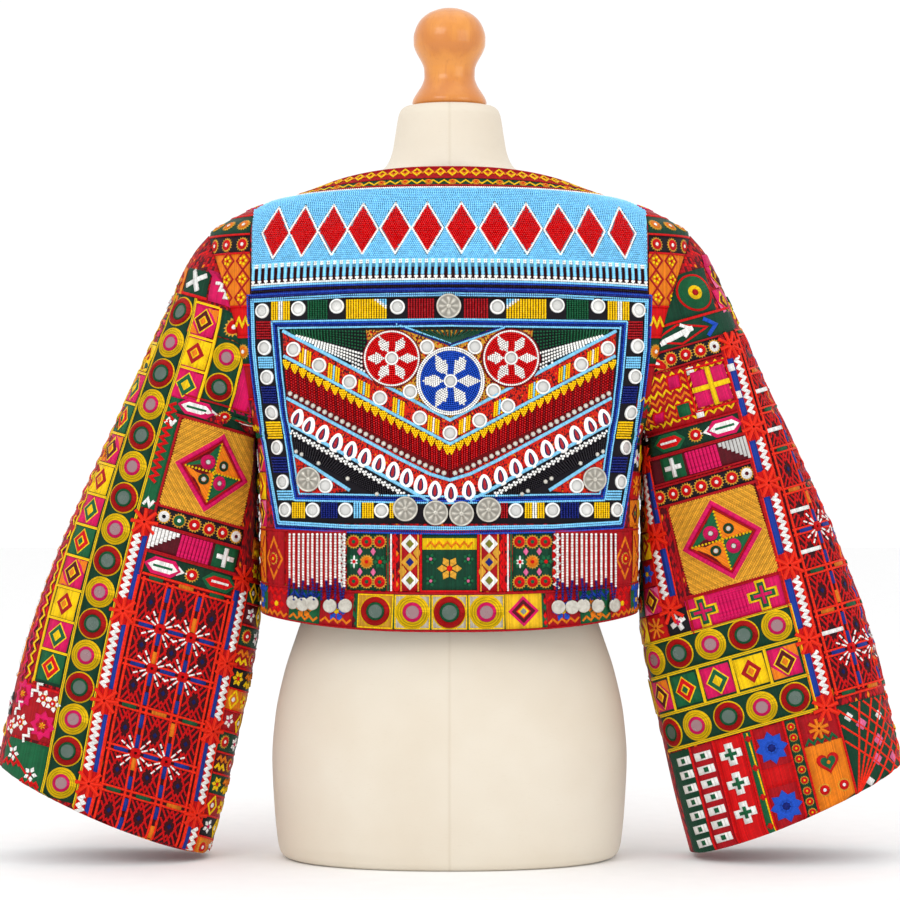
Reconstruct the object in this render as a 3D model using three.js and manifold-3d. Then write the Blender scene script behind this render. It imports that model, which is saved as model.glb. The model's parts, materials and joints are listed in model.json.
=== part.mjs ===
// A cropped embroidered top with wide bell sleeves, worn by a limbless dress form.
// Millimetres, +Z up. The garment's back, with its beadwork, faces -Y, and its plain front faces +Y.
// The origin lies under the middle of the form's base, on the surface that the form stands on.
import * as THREE from "three";
import Module from "manifold-3d";
import { mergeVertices } from "three/addons/utils/BufferGeometryUtils.js";

const wasm = await Module();
wasm.setup();

// ---------- driving sizes ----------
const WALL = 2.0; // layered, embroidered cloth
const GAP = 0.3; // between two pieces at a seam, or between a panel and what lies on it
const PANEL = 1.6; // beaded panel, backing and beads together
const BORDER = 0.9; // how far the beaded frame stands above the panel
const SIDE_SHIFT = GAP / 2; // each half of the body stays this far from the plane of the side seams

const ARMHOLE = { low: 414, high: 618, lowX: 190.6, highX: 238, scoop: 9, gap: 0.6 };
const ARMHOLE_LEVELS = [414, 420, 437, 465, 499, 533, 557, 586.5, 606, 618]; // rows shared with the sleeve
const SEAMS = { hem: 246, lowerStrip: 276, waist: 328, band: 653.5, neck: 664 }; // levels of the seams
const RISE_POWER = 2.5; // how a ring's height runs from its side to its middle

// The body's rings. level is the height at the side seam, and the rises are how much higher
// the middle of the back and of the front lie. back and front are the depths there.
const BODY = [
  { level: 246, halfWidth: 185, back: 121, front: 119, backRise: -15, frontRise: -12, square: 3.6 },
  { level: 276, halfWidth: 185.3, back: 120, front: 119, backRise: -8, frontRise: -7, square: 3.7 },
  { level: 328, halfWidth: 186, back: 118.5, front: 120, backRise: 0, frontRise: -1, square: 3.8 },
  { level: 370, halfWidth: 187.5, back: 117.5, front: 123, backRise: 0, frontRise: 0, square: 3.8 },
  { level: 414, halfWidth: 190, back: 117.5, front: 126, backRise: 0, frontRise: 0, square: 3.7 },
  { level: 450, halfWidth: 209, back: 118, front: 126, backRise: 0, frontRise: 0, square: 3.4 },
  { level: 484, halfWidth: 226, back: 118, front: 123, backRise: 0, frontRise: -2, square: 3.1 },
  { level: 516, halfWidth: 233, back: 117, front: 119.5, backRise: 0, frontRise: -6, square: 3.0 },
  { level: 550, halfWidth: 237, back: 114.5, front: 115, backRise: 0, frontRise: -13, square: 2.9 },
  { level: 590, halfWidth: 239.5, back: 109, front: 110, backRise: 0, frontRise: -23, square: 2.8 },
  { level: 618, halfWidth: 240, back: 103, front: 106, backRise: 1.5, frontRise: -29, square: 2.7 },
  { level: 631, halfWidth: 222, back: 99, front: 104, backRise: 3, frontRise: -31, square: 2.6 },
  { level: 645.5, halfWidth: 193, back: 92.5, front: 101, backRise: 5.5, frontRise: -34, square: 2.5 },
  { level: 653.5, halfWidth: 165, back: 86, front: 97, backRise: 8, frontRise: -34, square: 2.4 },
  { level: 664, halfWidth: 132, back: 66, front: 84, backRise: 18, frontRise: -24, square: 2.25 },
];

// The sleeve's sections. outerX, outerZ follow the line over the arm, innerX, innerZ the line
// under it, and depth is half the section's thickness from front to back.
const SLEEVE = [
  { at: 0, outerX: 238, outerZ: 618, innerX: 190.6, innerZ: 414, depth: 70, middleY: -1 },
  { at: 0.06, outerX: 254, outerZ: 600, innerX: 191.6, innerZ: 411, depth: 72, middleY: -1 },
  { at: 0.12, outerX: 265, outerZ: 580, innerX: 192, innerZ: 408, depth: 73, middleY: -2 },
  { at: 0.2, outerX: 280, outerZ: 547, innerX: 192.2, innerZ: 403, depth: 74, middleY: -3 },
  { at: 0.29, outerX: 300, outerZ: 503, innerX: 192.2, innerZ: 394, depth: 74, middleY: -4 },
  { at: 0.39, outerX: 324, outerZ: 450, innerX: 192, innerZ: 366, depth: 73, middleY: -5 },
  { at: 0.5, outerX: 352, outerZ: 390, innerX: 191, innerZ: 306, depth: 72, middleY: -6 },
  { at: 0.61, outerX: 379, outerZ: 330, innerX: 190, innerZ: 247, depth: 71, middleY: -6 },
  { at: 0.72, outerX: 403, outerZ: 270, innerX: 198, innerZ: 185, depth: 70, middleY: -6 },
  { at: 0.82, outerX: 423, outerZ: 210, innerX: 210.5, innerZ: 127, depth: 70, middleY: -5 },
  { at: 0.91, outerX: 437, outerZ: 152, innerX: 225, innerZ: 62, depth: 70, middleY: -5 },
  { at: 1, outerX: 449.5, outerZ: 97, innerX: 240, innerZ: 5.5, depth: 70, middleY: -5 },
];
const SLEEVE_SQUARE = 2.3;
const SLEEVE_BLEND = 0.16; // the armhole's outline turns into the sleeve's section over this share
const CUFF_SAG = 5; // the cuff's edge bows down this far between its corners
// Soft folds of the sleeve. angle runs round the section from the line over the arm, through the
// back; depth is how far a fold sinks, and a negative one stands out.
const SLEEVE_FOLDS = [
  { angle: 128, spread: 16, from: 0.1, to: 0.62, depth: 4.5 },
  { angle: 152, spread: 12, from: 0.16, to: 0.5, depth: -3.5 },
  { angle: 62, spread: 20, from: 0.05, to: 0.34, depth: 2.5 },
  { angle: 84, spread: 18, from: 0.5, to: 1.2, depth: -2.0 },
  { angle: 232, spread: 16, from: 0.12, to: 0.6, depth: 4.0 },
  { angle: 208, spread: 12, from: 0.18, to: 0.52, depth: -3.0 },
  { angle: 292, spread: 20, from: 0.06, to: 0.4, depth: 2.5 },
  { angle: 262, spread: 22, from: 0.55, to: 1.2, depth: 2.5 },
];

// The form's rings, in the body's columns. Between its two parts run the garment's own
// shoulder rings, moved in by the wall, so that the form carries the garment there.
const FORM_BELOW = [
  { level: 0, halfWidth: 159, back: 108, front: 104, square: 2.15 },
  { level: 2, halfWidth: 165, back: 111.5, front: 107.5, square: 2.15 },
  { level: 7, halfWidth: 169, back: 114, front: 110, square: 2.15 },
  { level: 18, halfWidth: 171.5, back: 116, front: 111.5, square: 2.2 },
  { level: 55, halfWidth: 175, back: 118.5, front: 112, square: 2.2 },
  { level: 100, halfWidth: 177, back: 119, front: 111, square: 2.2 },
  { level: 140, halfWidth: 174, back: 115.5, front: 107, square: 2.2 },
  { level: 182, halfWidth: 165.5, back: 108, front: 101, square: 2.2 },
  { level: 225, halfWidth: 151.5, back: 98, front: 95, square: 2.2 },
  { level: 268, halfWidth: 137, back: 90, front: 91, square: 2.2 },
  { level: 310, halfWidth: 131, back: 87, front: 92, square: 2.2 },
  { level: 360, halfWidth: 137, back: 91, front: 102, square: 2.2 },
  { level: 420, halfWidth: 152, back: 99, front: 114, square: 2.25 },
  { level: 490, halfWidth: 166, back: 106, front: 113, square: 2.3 },
  { level: 560, halfWidth: 172, back: 104, front: 103, square: 2.4 },
  { level: 610, halfWidth: 173, back: 97, front: 96, square: 2.4 },
  { level: 635, halfWidth: 171, back: 91, front: 94, square: 2.4, backRise: 2, frontRise: -26 },
  { level: 645, halfWidth: 168, back: 87.5, front: 96, square: 2.4, backRise: 5, frontRise: -33 },
];
const BAND_LEVELS = [653.5, 658.5, 664]; // rows of the neck band and of the form beneath it
const FORM_COLUMNS = 13; // across each half of a ring
const FORM_FIT = 0.8; // the form's shoulders lie this far under the cloth
const FORM_ABOVE = [
  { level: 670, halfWidth: 102, back: 58, front: 68, square: 2.2, backRise: 14, frontRise: -15 },
  { level: 679, halfWidth: 76, back: 55, front: 59, square: 2.1, backRise: 9, frontRise: -8 },
  { level: 690, halfWidth: 62.5, back: 52, front: 53, square: 2.05, backRise: 5, frontRise: -3 },
  { level: 703, halfWidth: 57.2, back: 50.5, front: 51.5, square: 2, backRise: 2 },
  { level: 720, halfWidth: 54.2, back: 49.5, front: 50 },
  { level: 739, halfWidth: 51, back: 48, front: 48.5 },
  { level: 745, halfWidth: 48.5, back: 45, front: 45.5 },
  { level: 748, halfWidth: 44.5, back: 41.5, front: 41.5 },
  { level: 749, halfWidth: 40, back: 37.5, front: 37.5 },
];
// The turned knob: radius at each height above its foot.
const KNOB_FOOT = 749.3;
const KNOB = [
  { up: 0, radius: 36 },
  { up: 3, radius: 37.3 },
  { up: 6, radius: 36.5 },
  { up: 13, radius: 32.5 },
  { up: 21, radius: 27.5 },
  { up: 29, radius: 25.2 },
  { up: 37, radius: 25.5 },
  { up: 45, radius: 28.5 },
  { up: 53, radius: 33 },
  { up: 61, radius: 35.8 },
  { up: 69, radius: 36 },
  { up: 77, radius: 34 },
  { up: 85, radius: 29.8 },
  { up: 93, radius: 20.5 },
  { up: 97, radius: 9.5 },
];
const KNOB_HEIGHT = 98.2;

// The beaded panel's half-width at each height.
const PANEL_OUTLINE = [
  { height: 332, halfWidth: 168.5 },
  { height: 377, halfWidth: 176.5 },
  { height: 415, halfWidth: 183 },
  { height: 462, halfWidth: 189 },
  { height: 508, halfWidth: 193.5 },
  { height: 557, halfWidth: 195.5 },
];
const PANEL_LOW = 332;
const PANEL_HIGH = 557;
const FRAME_WIDTH = 7; // the frame of corded beads round the panel
const FRAME_FOOT = PANEL_LOW + FRAME_WIDTH + 1; // level at which its lower side meets the panel

// The yoke of beads above it, and the row of short bead strands under the yoke.
const YOKE = { halfWidth: 192, low: 586.5, high: 652.4, thick: 1.7, ridge: 0.985 };
const YOKE_FRINGE = { low: 563.5, end: 567, stripLow: 582.5, stripHigh: 586, strands: 44, halfWidth: 190 };

// Round pieces on the panel: x and height of each centre.
const MIRROR = { sides: 8, height: 1.7 };
const MIRRORS_ON_FRAME = [
  { x: 179.5, height: 541, radius: 8 },
  { x: 145, height: 543.5, radius: 8 },
  { x: 106.5, height: 545, radius: 8.3 },
  { x: 49, height: 543.5, radius: 8.6 },
  { x: 180.5, height: 505, radius: 7.4 },
  { x: 178.5, height: 476, radius: 7.4 },
  { x: 174, height: 441.5, radius: 7.4 },
  { x: 169, height: 408, radius: 7.4 },
  { x: 163.5, height: 374.5, radius: 7.2 },
  { x: 160, height: 347.5, radius: 6.8 },
  { x: 132, height: 347.5, radius: 7.4 },
  { x: 99.5, height: 348, radius: 7.6 },
  { x: 65, height: 348, radius: 7.6 },
];
const MIRRORS_INSIDE = [
  { x: 120.5, height: 371, radius: 6.6 },
  { x: 152, height: 502.5, radius: 7 },
  { x: 127, height: 487, radius: 7.2 },
  { x: 93.5, height: 468.5, radius: 7.6 },
  { x: 61.5, height: 452, radius: 7.5 },
  { x: 28.5, height: 435.5, radius: 7.4 },
  { x: 40, height: 462, radius: 6.8 },
];
const MIRRORS_ALONE = [
  { x: 0, height: 422.5, radius: 7.6 },
  { x: -21.5, height: 504.5, radius: 6.2 },
  { x: 24, height: 504.5, radius: 6.2 },
];
const COWRIE = {
  count: 11, // on each side of the lowest one, less one on the right
  pitchX: 13.4,
  pitchHeight: 6.55,
  lowest: 364.5,
  half: [5.8, 8, 1.85],
  raise: 0.35,
};
const COIN_THICK = 1.5;
const COINS = [
  { name: "coin_top", x: 0, height: 543.5, radius: 12 },
  { name: "coin_bottom_outer_left", x: -42, height: 349, radius: 12 },
  { name: "coin_bottom_inner_left", x: -13.2, height: 345, radius: 12.2 },
  { name: "coin_bottom_inner_right", x: 13.2, height: 344.5, radius: 12.2 },
  { name: "coin_bottom_outer_right", x: 38.5, height: 348.5, radius: 12.2 },
  { name: "coin_corner_left", x: -136, height: 377, radius: 10.6, inside: true },
  { name: "coin_corner_right", x: 139, height: 377, radius: 10.6, inside: true },
];
const ROSETTES = [
  { name: "rosette_left", x: -55.5, height: 493.5, radius: 28, thick: 2.2 },
  { name: "rosette_right", x: 59, height: 493.5, radius: 28, thick: 2.2 },
  { name: "rosette_middle", x: 1, height: 472, radius: 32.5, thick: 2.4 },
];

// The two bead fringes that hang over the hem.
const FRINGE = { strands: 13, stripTop: 326, stripHigh: 4, stripThick: 2, strandWide: 3.2, clear: 0.6 };
const FRINGE_SIDES = [
  { name: "bead_fringe_left", from: -153, to: -101 },
  { name: "bead_fringe_right", from: 104, to: 156 },
];
const FRINGE_LENGTHS = { short: 56, long: 65 }; // every third strand is long and carries a disc
const FRINGE_DISC = { radius: 6.6, thick: 1.2, sides: 8, overlap: 2.5, step: 0.5 };

const COLOURS = {
  redCloth: 0xb3121d,
  darkCloth: 0x8a1030,
  cream: 0xe9e1d4,
  wood: 0xe09a3c,
  skyBeads: 0x6fb8ea,
  blueBeads: 0x16468f,
  redBeads: 0xc01020,
  whiteBeads: 0xf0f0ee,
  silver: 0xb9b4aa,
};

// ---------- tables and surfaces ----------

// The value of a column at x: a cubic through the rows that never overshoots them.
function smooth(rows, key, column, x) {
  const last = rows.length - 1;
  const value = (i) => rows[i][column] ?? 0;
  if (x <= rows[0][key]) return value(0);
  if (x >= rows[last][key]) return value(last);
  let k = 0;
  while (x > rows[k + 1][key]) k += 1;
  const secant = (i) => (value(i + 1) - value(i)) / (rows[i + 1][key] - rows[i][key]);
  const slope = (i) => {
    if (i === 0) return secant(0);
    if (i === last) return secant(last - 1);
    const [a, b] = [secant(i - 1), secant(i)];
    return a * b <= 0 ? 0 : (2 * a * b) / (a + b);
  };
  const step = rows[k + 1][key] - rows[k][key];
  const t = (x - rows[k][key]) / step;
  const rest = 1 - t;
  return (
    value(k) * (1 + 2 * t) * rest * rest +
    slope(k) * step * t * rest * rest +
    value(k + 1) * (3 - 2 * t) * t * t -
    slope(k + 1) * step * rest * t * t
  );
}

const smoothStep = (x) => {
  const t = Math.min(1, Math.max(0, x));
  return t * t * (3 - 2 * t);
};

const spaced = (from, to, count) =>
  Array.from({ length: count + 1 }, (_, i) => from + ((to - from) * i) / count);

// The x of the armhole's edge at a level: a line from underarm to shoulder, scooped inwards.
function armholeX(level) {
  const t = (level - ARMHOLE.low) / (ARMHOLE.high - ARMHOLE.low);
  return ARMHOLE.lowX + (ARMHOLE.highX - ARMHOLE.lowX) * t - ARMHOLE.scoop * Math.sin(Math.PI * t);
}

// The share of the ring's half-width that the cloth reaches at a level.
function reach(level) {
  if (level <= ARMHOLE.low || level >= ARMHOLE.high) return 1;
  return Math.min(1, armholeX(level) / smooth(BODY, "level", "halfWidth", level));
}

// One half of a ring as a superellipse. side is -1 for the back and 1 for the front, and u runs
// from -1 to 1 across it, so that going round from back to front keeps turning the same way.
function ringPoint(row, side, u) {
  const edge = row.edge ?? 1;
  const across = Math.sin(u * Math.asin(edge));
  const depth = side < 0 ? row.back : row.front;
  const rise = (side < 0 ? row.backRise : row.frontRise) ?? 0;
  const square = row.square ?? 2;
  const out = Math.pow(Math.max(0, 1 - Math.pow(Math.abs(across), square)), 1 / square);
  return new THREE.Vector3(
    -side * row.halfWidth * across,
    side * (SIDE_SHIFT + depth * out),
    row.level + rise * (1 - Math.pow(Math.abs(across / edge), RISE_POWER)),
  );
}

function bodyRow(level) {
  const row = { level, edge: reach(level) };
  for (const column of ["halfWidth", "back", "front", "backRise", "frontRise", "square"])
    row[column] = smooth(BODY, "level", column, level);
  return row;
}

const bodyPoint = (side) => (u, level) => ringPoint(bodyRow(level), side, u);

// The body's unit normal, from small steps round the ring and straight up through its rows.
const bodyNormal = (side) => (u, level) => {
  const step = { round: 0.004, up: 3 };
  const { edge } = bodyRow(level);
  const low = Math.max(SEAMS.hem, level - step.up);
  const high = Math.min(SEAMS.neck, level + step.up);
  const round = ringPoint(bodyRow(level), side, Math.min(1, u + step.round)).sub(
    ringPoint(bodyRow(level), side, Math.max(-1, u - step.round)),
  );
  const up = ringPoint({ ...bodyRow(high), edge }, side, u).sub(
    ringPoint({ ...bodyRow(low), edge }, side, u),
  );
  return round.cross(up).normalize();
};

// ---------- solids ----------

function geometryOf(points, triangles) {
  const geometry = new THREE.BufferGeometry();
  const flat = points.flatMap((p) => [p.x, p.y, p.z]);
  geometry.setAttribute("position", new THREE.Float32BufferAttribute(flat, 3));
  geometry.setIndex(triangles.flat());
  return geometry;
}

// A closed wall between two grids of points of the same size, outer[row][column] and inner.
// A closed grid joins its last column to its first.
function wallGeometry(outer, inner, closed) {
  const rows = outer.length;
  const columns = outer[0].length;
  const points = [...outer.flat(), ...inner.flat()];
  const shift = rows * columns;
  const at = (i, j) => i * columns + (j % columns);
  const triangles = [];
  const quad = (a, b, c, d) => triangles.push([a, b, c], [a, c, d]);
  const cells = closed ? columns : columns - 1;
  for (let i = 0; i < rows - 1; i += 1)
    for (let j = 0; j < cells; j += 1) {
      quad(at(i, j), at(i, j + 1), at(i + 1, j + 1), at(i + 1, j));
      quad(shift + at(i, j), shift + at(i + 1, j), shift + at(i + 1, j + 1), shift + at(i, j + 1));
    }
  for (let j = 0; j < cells; j += 1) {
    quad(at(0, j + 1), at(0, j), shift + at(0, j), shift + at(0, j + 1));
    quad(at(rows - 1, j), at(rows - 1, j + 1), shift + at(rows - 1, j + 1), shift + at(rows - 1, j));
  }
  if (!closed)
    for (let i = 0; i < rows - 1; i += 1) {
      quad(at(i, 0), at(i + 1, 0), shift + at(i + 1, 0), shift + at(i, 0));
      quad(at(i + 1, cells), at(i, cells), shift + at(i, cells), shift + at(i + 1, cells));
    }
  return geometryOf(points, triangles);
}

// A wall on a surface. lowLift and highLift are how far its two faces stand off the surface.
function wallOn(surface, normal, us, vs, lowLift, highLift) {
  const grid = (lift) =>
    vs.map((v) =>
      us.map((u) => {
        const far = typeof lift === "function" ? lift(u, v) : lift;
        return surface(u, v).addScaledVector(normal(u, v), far);
      }),
    );
  return wallGeometry(grid(highLift), grid(lowLift), false);
}

// A solid through a stack of rings of equal size, with flat ends.
function stackedRings(rings) {
  const count = rings[0].length;
  const middle = (ring) =>
    ring.reduce((sum, p) => sum.add(p), new THREE.Vector3()).divideScalar(ring.length);
  const points = [...rings.flat(), middle(rings[0]), middle(rings.at(-1))];
  const foot = rings.length * count;
  const triangles = [];
  for (let j = 0; j < count; j += 1) {
    const next = (j + 1) % count;
    for (let i = 0; i < rings.length - 1; i += 1) {
      const [a, b] = [i * count + j, i * count + next];
      triangles.push([a, b, b + count], [a, b + count, a + count]);
    }
    const top = (rings.length - 1) * count;
    triangles.push([foot, next, j], [foot + 1, top + j, top + next]);
  }
  return geometryOf(points, triangles);
}

function manifoldOf(geometry) {
  const bare = new THREE.BufferGeometry();
  const source = geometry.index ? geometry.toNonIndexed() : geometry;
  bare.setAttribute("position", source.getAttribute("position"));
  const merged = mergeVertices(bare, 1e-4);
  return new wasm.Manifold(
    new wasm.Mesh({
      numProp: 3,
      vertProperties: merged.attributes.position.array,
      triVerts: new Uint32Array(merged.index.array),
    }),
  );
}

function joined(geometries) {
  const mesh = geometries
    .map(manifoldOf)
    .reduce((whole, piece) => whole.add(piece))
    .getMesh();
  const geometry = new THREE.BufferGeometry();
  geometry.setAttribute("position", new THREE.BufferAttribute(mesh.vertProperties, 3));
  geometry.setIndex(new THREE.BufferAttribute(mesh.triVerts, 1));
  return geometry;
}

const group = new THREE.Group();
group.name = "embroidered_top_on_form";

function addPiece(name, geometry, color, roughness = 0.85, metalness = 0) {
  const material = new THREE.MeshStandardMaterial({ color, roughness, metalness });
  const mesh = new THREE.Mesh(geometry, material);
  mesh.name = name;
  group.add(mesh);
}

// ---------- the cloth ----------

// The back's columns. s runs from -1 to 1 across the beaded panel and its yoke, and on to -2 and
// 2 at the side seam or the armhole's edge.
const panelHalf = (height) =>
  height < PANEL_HIGH ? smooth(PANEL_OUTLINE, "height", "halfWidth", height) : YOKE.halfWidth;
const FRAME_COLUMNS = [0.948, 0.957]; // foot and top of the frame's inner edge
const HALF_COLUMNS = [0.2, 0.4, 0.58, 0.72, 0.83, 0.9, ...FRAME_COLUMNS, 1, 1.25, 1.6, 2];
const BACK_COLUMNS = [...[...HALF_COLUMNS].reverse().map((s) => -s), 0, ...HALF_COLUMNS];

function backU(s, level) {
  const row = bodyRow(level);
  const half = Math.min(panelHalf(level), row.halfWidth * row.edge * YOKE.ridge);
  const side = Math.asin(half / row.halfWidth) / Math.asin(row.edge);
  if (Math.abs(s) <= 1) return s * side;
  const beyond = Math.abs(s) - 1;
  return Math.sign(s) * (side * (1 - beyond) + beyond);
}
const backPoint = (s, level) => bodyPoint(-1)(backU(s, level), level);
const backNormal = (s, level) => bodyNormal(-1)(backU(s, level), level);

const HEM_LOWER = [SEAMS.hem, SEAMS.lowerStrip];
const HEM_UPPER = [SEAMS.lowerStrip + GAP, 302, SEAMS.waist];
const SHOULDER_LEVELS = [631, 643, SEAMS.band - GAP];
const PANEL_LEVELS = [SEAMS.waist + GAP, PANEL_LOW, FRAME_FOOT, 371, ...ARMHOLE_LEVELS, ...SHOULDER_LEVELS];
const FRONT_COLUMNS = spaced(-1, 1, 16);

const backWall = (levels) => wallOn(backPoint, backNormal, BACK_COLUMNS, levels, -WALL, 0);
const frontWall = (levels) => wallOn(bodyPoint(1), bodyNormal(1), FRONT_COLUMNS, levels, -WALL, 0);
addPiece("back_panel", backWall(PANEL_LEVELS), COLOURS.redCloth);
addPiece("front_panel", frontWall(PANEL_LEVELS), COLOURS.redCloth);
addPiece("hem_upper_back", backWall(HEM_UPPER), COLOURS.darkCloth);
addPiece("hem_upper_front", frontWall(HEM_UPPER), COLOURS.darkCloth);
addPiece("hem_lower_back", backWall(HEM_LOWER), COLOURS.redCloth);
addPiece("hem_lower_front", frontWall(HEM_LOWER), COLOURS.redCloth);

// All round the neck: a closed grid of the back's points and then the front's.
function roundNeck(lift, backSteps, frontSteps) {
  const lifted = (side, steps, level) =>
    steps.map((u) => bodyPoint(side)(u, level).addScaledVector(bodyNormal(side)(u, level), lift));
  return BAND_LEVELS.map((level) => [
    ...lifted(-1, backSteps(level), level),
    ...lifted(1, frontSteps, level),
  ]);
}
const bandColumns = (level) => BACK_COLUMNS.map((s) => backU(s, level));
const bandGrid = (lift) => roundNeck(lift, bandColumns, FRONT_COLUMNS);
addPiece("neck_band", wallGeometry(bandGrid(0), bandGrid(-WALL), true), COLOURS.redCloth);

// A section of the sleeve without its folds: a superellipse round the line from inner to outer.
function sectionPoint(angle, at) {
  const value = (column) => smooth(SLEEVE, "at", column, at);
  const rounded = (x) => Math.sign(x) * Math.pow(Math.abs(x), 2 / SLEEVE_SQUARE);
  const halfX = (value("outerX") - value("innerX")) / 2;
  const halfZ = (value("outerZ") - value("innerZ")) / 2;
  const across = 1 + rounded(Math.cos(angle));
  return {
    point: new THREE.Vector3(
      value("innerX") + halfX * across,
      value("middleY") - value("depth") * rounded(Math.sin(angle)),
      value("innerZ") + halfZ * across,
    ),
    up: new THREE.Vector3(halfX, 0, halfZ).normalize(),
  };
}

// The sleeve's outer face. hand is 1 for the sleeve at +X and -1 for the other one. angle starts
// on the line over the arm and runs through the back, then under the arm, then the front.
function sleevePoint(hand) {
  return (angle, at) => {
    const { point, up } = sectionPoint(angle, at);
    const [cos, sin] = [Math.cos(angle), Math.sin(angle)];
    const sag = CUFF_SAG * sin * sin * Math.pow(at, 4);
    point.x += sag * up.z;
    point.z -= sag * up.x;
    const inward = new THREE.Vector3(-up.x * cos, sin, -up.z * cos);
    point.addScaledVector(inward, foldDepth(SLEEVE_FOLDS, (angle * 180) / Math.PI, at));
    const share = 1 - smoothStep(at / SLEEVE_BLEND);
    const edge = armholePoint(angle).sub(sectionPoint(angle, 0).point);
    point.addScaledVector(edge, share);
    point.x *= hand;
    return point;
  };
}

// The armhole's edge on the +X side, just off the body's own edge.
function armholePoint(angle) {
  const { low, high, gap } = ARMHOLE;
  const level = (low + high) / 2 + ((high - low) / 2) * Math.cos(angle);
  const side = Math.sin(angle) > 0 ? -1 : 1;
  const point = bodyPoint(side)(-side, Math.min(high, Math.max(low, level)));
  point.x += gap;
  return point;
}

// How deep the folds are at an angle and a share of the length. Each is a soft trough.
function foldDepth(folds, degrees, at) {
  return folds.reduce((sum, fold) => {
    const turn = Math.abs(((degrees - fold.angle + 540) % 360) - 180);
    const along = (at - fold.from) / (fold.to - fold.from);
    if (along <= 0 || along >= 1) return sum;
    const wide = Math.exp(-((turn / fold.spread) ** 2));
    return sum + fold.depth * wide * Math.sin(Math.PI * along) ** 1.5;
  }, 0);
}

// The angle at which each of the armhole's levels lies, down the back and up the front.
function levelAngle(level) {
  const { low, high } = ARMHOLE;
  return Math.acos((2 * level - low - high) / (high - low));
}
const SLEEVE_ANGLES = [
  ...[...ARMHOLE_LEVELS].reverse().map(levelAngle),
  ...ARMHOLE_LEVELS.slice(1, -1).map((level) => 2 * Math.PI - levelAngle(level)),
];
const SLEEVE_ROWS = [0, 0.03, 0.08, 0.14, 0.21, 0.29, 0.38, 0.47, 0.57, 0.67, 0.78, 0.89, 1];
const SEAM_TURN = 0.08; // the wall's direction turns from the seam's to the sleeve's own over this share

// The direction in which the sleeve's wall is measured. At the seam it follows the body's wall
// over the shoulder and the sleeve's own under the arm.
function sleeveNormal(hand, angle, at) {
  const point = sleevePoint(1);
  const round = point(angle + 0.02, at).sub(point(angle - 0.02, at));
  const along = point(angle, Math.min(1, at + 1e-3)).sub(point(angle, Math.max(0, at - 1e-3)));
  const own = round.cross(along).normalize();
  if (at < SEAM_TURN) {
    const side = Math.sin(angle) > 0 ? -1 : 1;
    const { low, high } = ARMHOLE;
    const level = (low + high) / 2 + ((high - low) / 2) * Math.cos(angle);
    const seam = bodyNormal(side)(-side, level);
    const share = smoothStep((Math.cos(angle) + 0.7) / 1.4) * (1 - at / SEAM_TURN);
    own.multiplyScalar(1 - share).addScaledVector(seam, share).normalize();
  }
  own.x *= hand;
  return own;
}

function sleeveWall(hand) {
  const ordered = hand > 0 ? SLEEVE_ANGLES : [...SLEEVE_ANGLES].reverse();
  const grid = (lift) =>
    SLEEVE_ROWS.map((at) =>
      ordered.map((angle) =>
        sleevePoint(hand)(angle, at).addScaledVector(sleeveNormal(hand, angle, at), lift),
      ),
    );
  return wallGeometry(grid(0), grid(-WALL), true);
}
addPiece("sleeve_right", sleeveWall(1), COLOURS.redCloth);
addPiece("sleeve_left", sleeveWall(-1), COLOURS.redCloth);

// ---------- beadwork on the back ----------

// The back as its flat facets make it, so that what lies on it never cuts through them.
const BACK_ROWS = [...HEM_LOWER, ...HEM_UPPER, ...PANEL_LEVELS];

function between(list, value) {
  let k = 0;
  while (k < list.length - 2 && value > list[k + 1]) k += 1;
  return [k, (value - list[k]) / (list[k + 1] - list[k])];
}

function backFacet(s, level) {
  const [column, across] = between(BACK_COLUMNS, s);
  const [row, along] = between(BACK_ROWS, level);
  const corner = (i, j) => backPoint(BACK_COLUMNS[column + j], BACK_ROWS[row + i]);
  const [first, last] = [corner(0, 0), corner(1, 1)];
  const turn = across > along ? corner(0, 1) : corner(1, 0);
  const [toTurn, toLast] = across > along ? [across, along] : [along, across];
  return first
    .addScaledVector(turn.clone().sub(first), toTurn)
    .addScaledVector(last.sub(turn), toLast);
}

// The column position at which the facets reach x, found by halving.
function columnAt(x, level) {
  let [low, high] = [-2, 2];
  for (let i = 0; i < 30; i += 1) {
    const middle = (low + high) / 2;
    if (backFacet(middle, level).x < x) low = middle;
    else high = middle;
  }
  return low;
}

// The facets' point at x and a level, with the back's unit normal there.
function onBack(x, level) {
  const s = columnAt(x, level);
  return { point: backFacet(s, level), normal: backNormal(s, level) };
}

function raised(x, level, lift) {
  const { point, normal } = onBack(x, level);
  return point.addScaledVector(normal, lift);
}

// The unit normal of a disc that is laid on the facets.
function discNormal({ x, height, radius }) {
  const [half, rise] = [radius / 2, radius];
  const across = onBack(x + half, height).point.sub(onBack(x - half, height).point);
  const up = onBack(x, height + rise).point.sub(onBack(x, height - rise).point);
  return across.cross(up).normalize();
}

// A wall on the back between two lifts. Its grid holds every column and row of the back that it
// crosses, and its own besides.
const wallOnBack = (columns, levels, lowLift, highLift) =>
  wallOn(backFacet, backNormal, columns, levels, lowLift, highLift);

const within = (list, low, high) => list.filter((value) => value > low && value < high);

// A round slab with parallel faces, square to the back at its middle.
function flatDisc({ x, height, radius, sides }, lowLift, highLift) {
  const normal = discNormal({ x, height, radius });
  const geometry = new THREE.CylinderGeometry(radius, radius, highLift - lowLift, sides);
  geometry.applyQuaternion(
    new THREE.Quaternion().setFromUnitVectors(new THREE.Vector3(0, 1, 0), normal),
  );
  const middle = onBack(x, height).point.addScaledVector(normal, (lowLift + highLift) / 2);
  return geometry.translate(middle.x, middle.y, middle.z);
}

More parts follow.
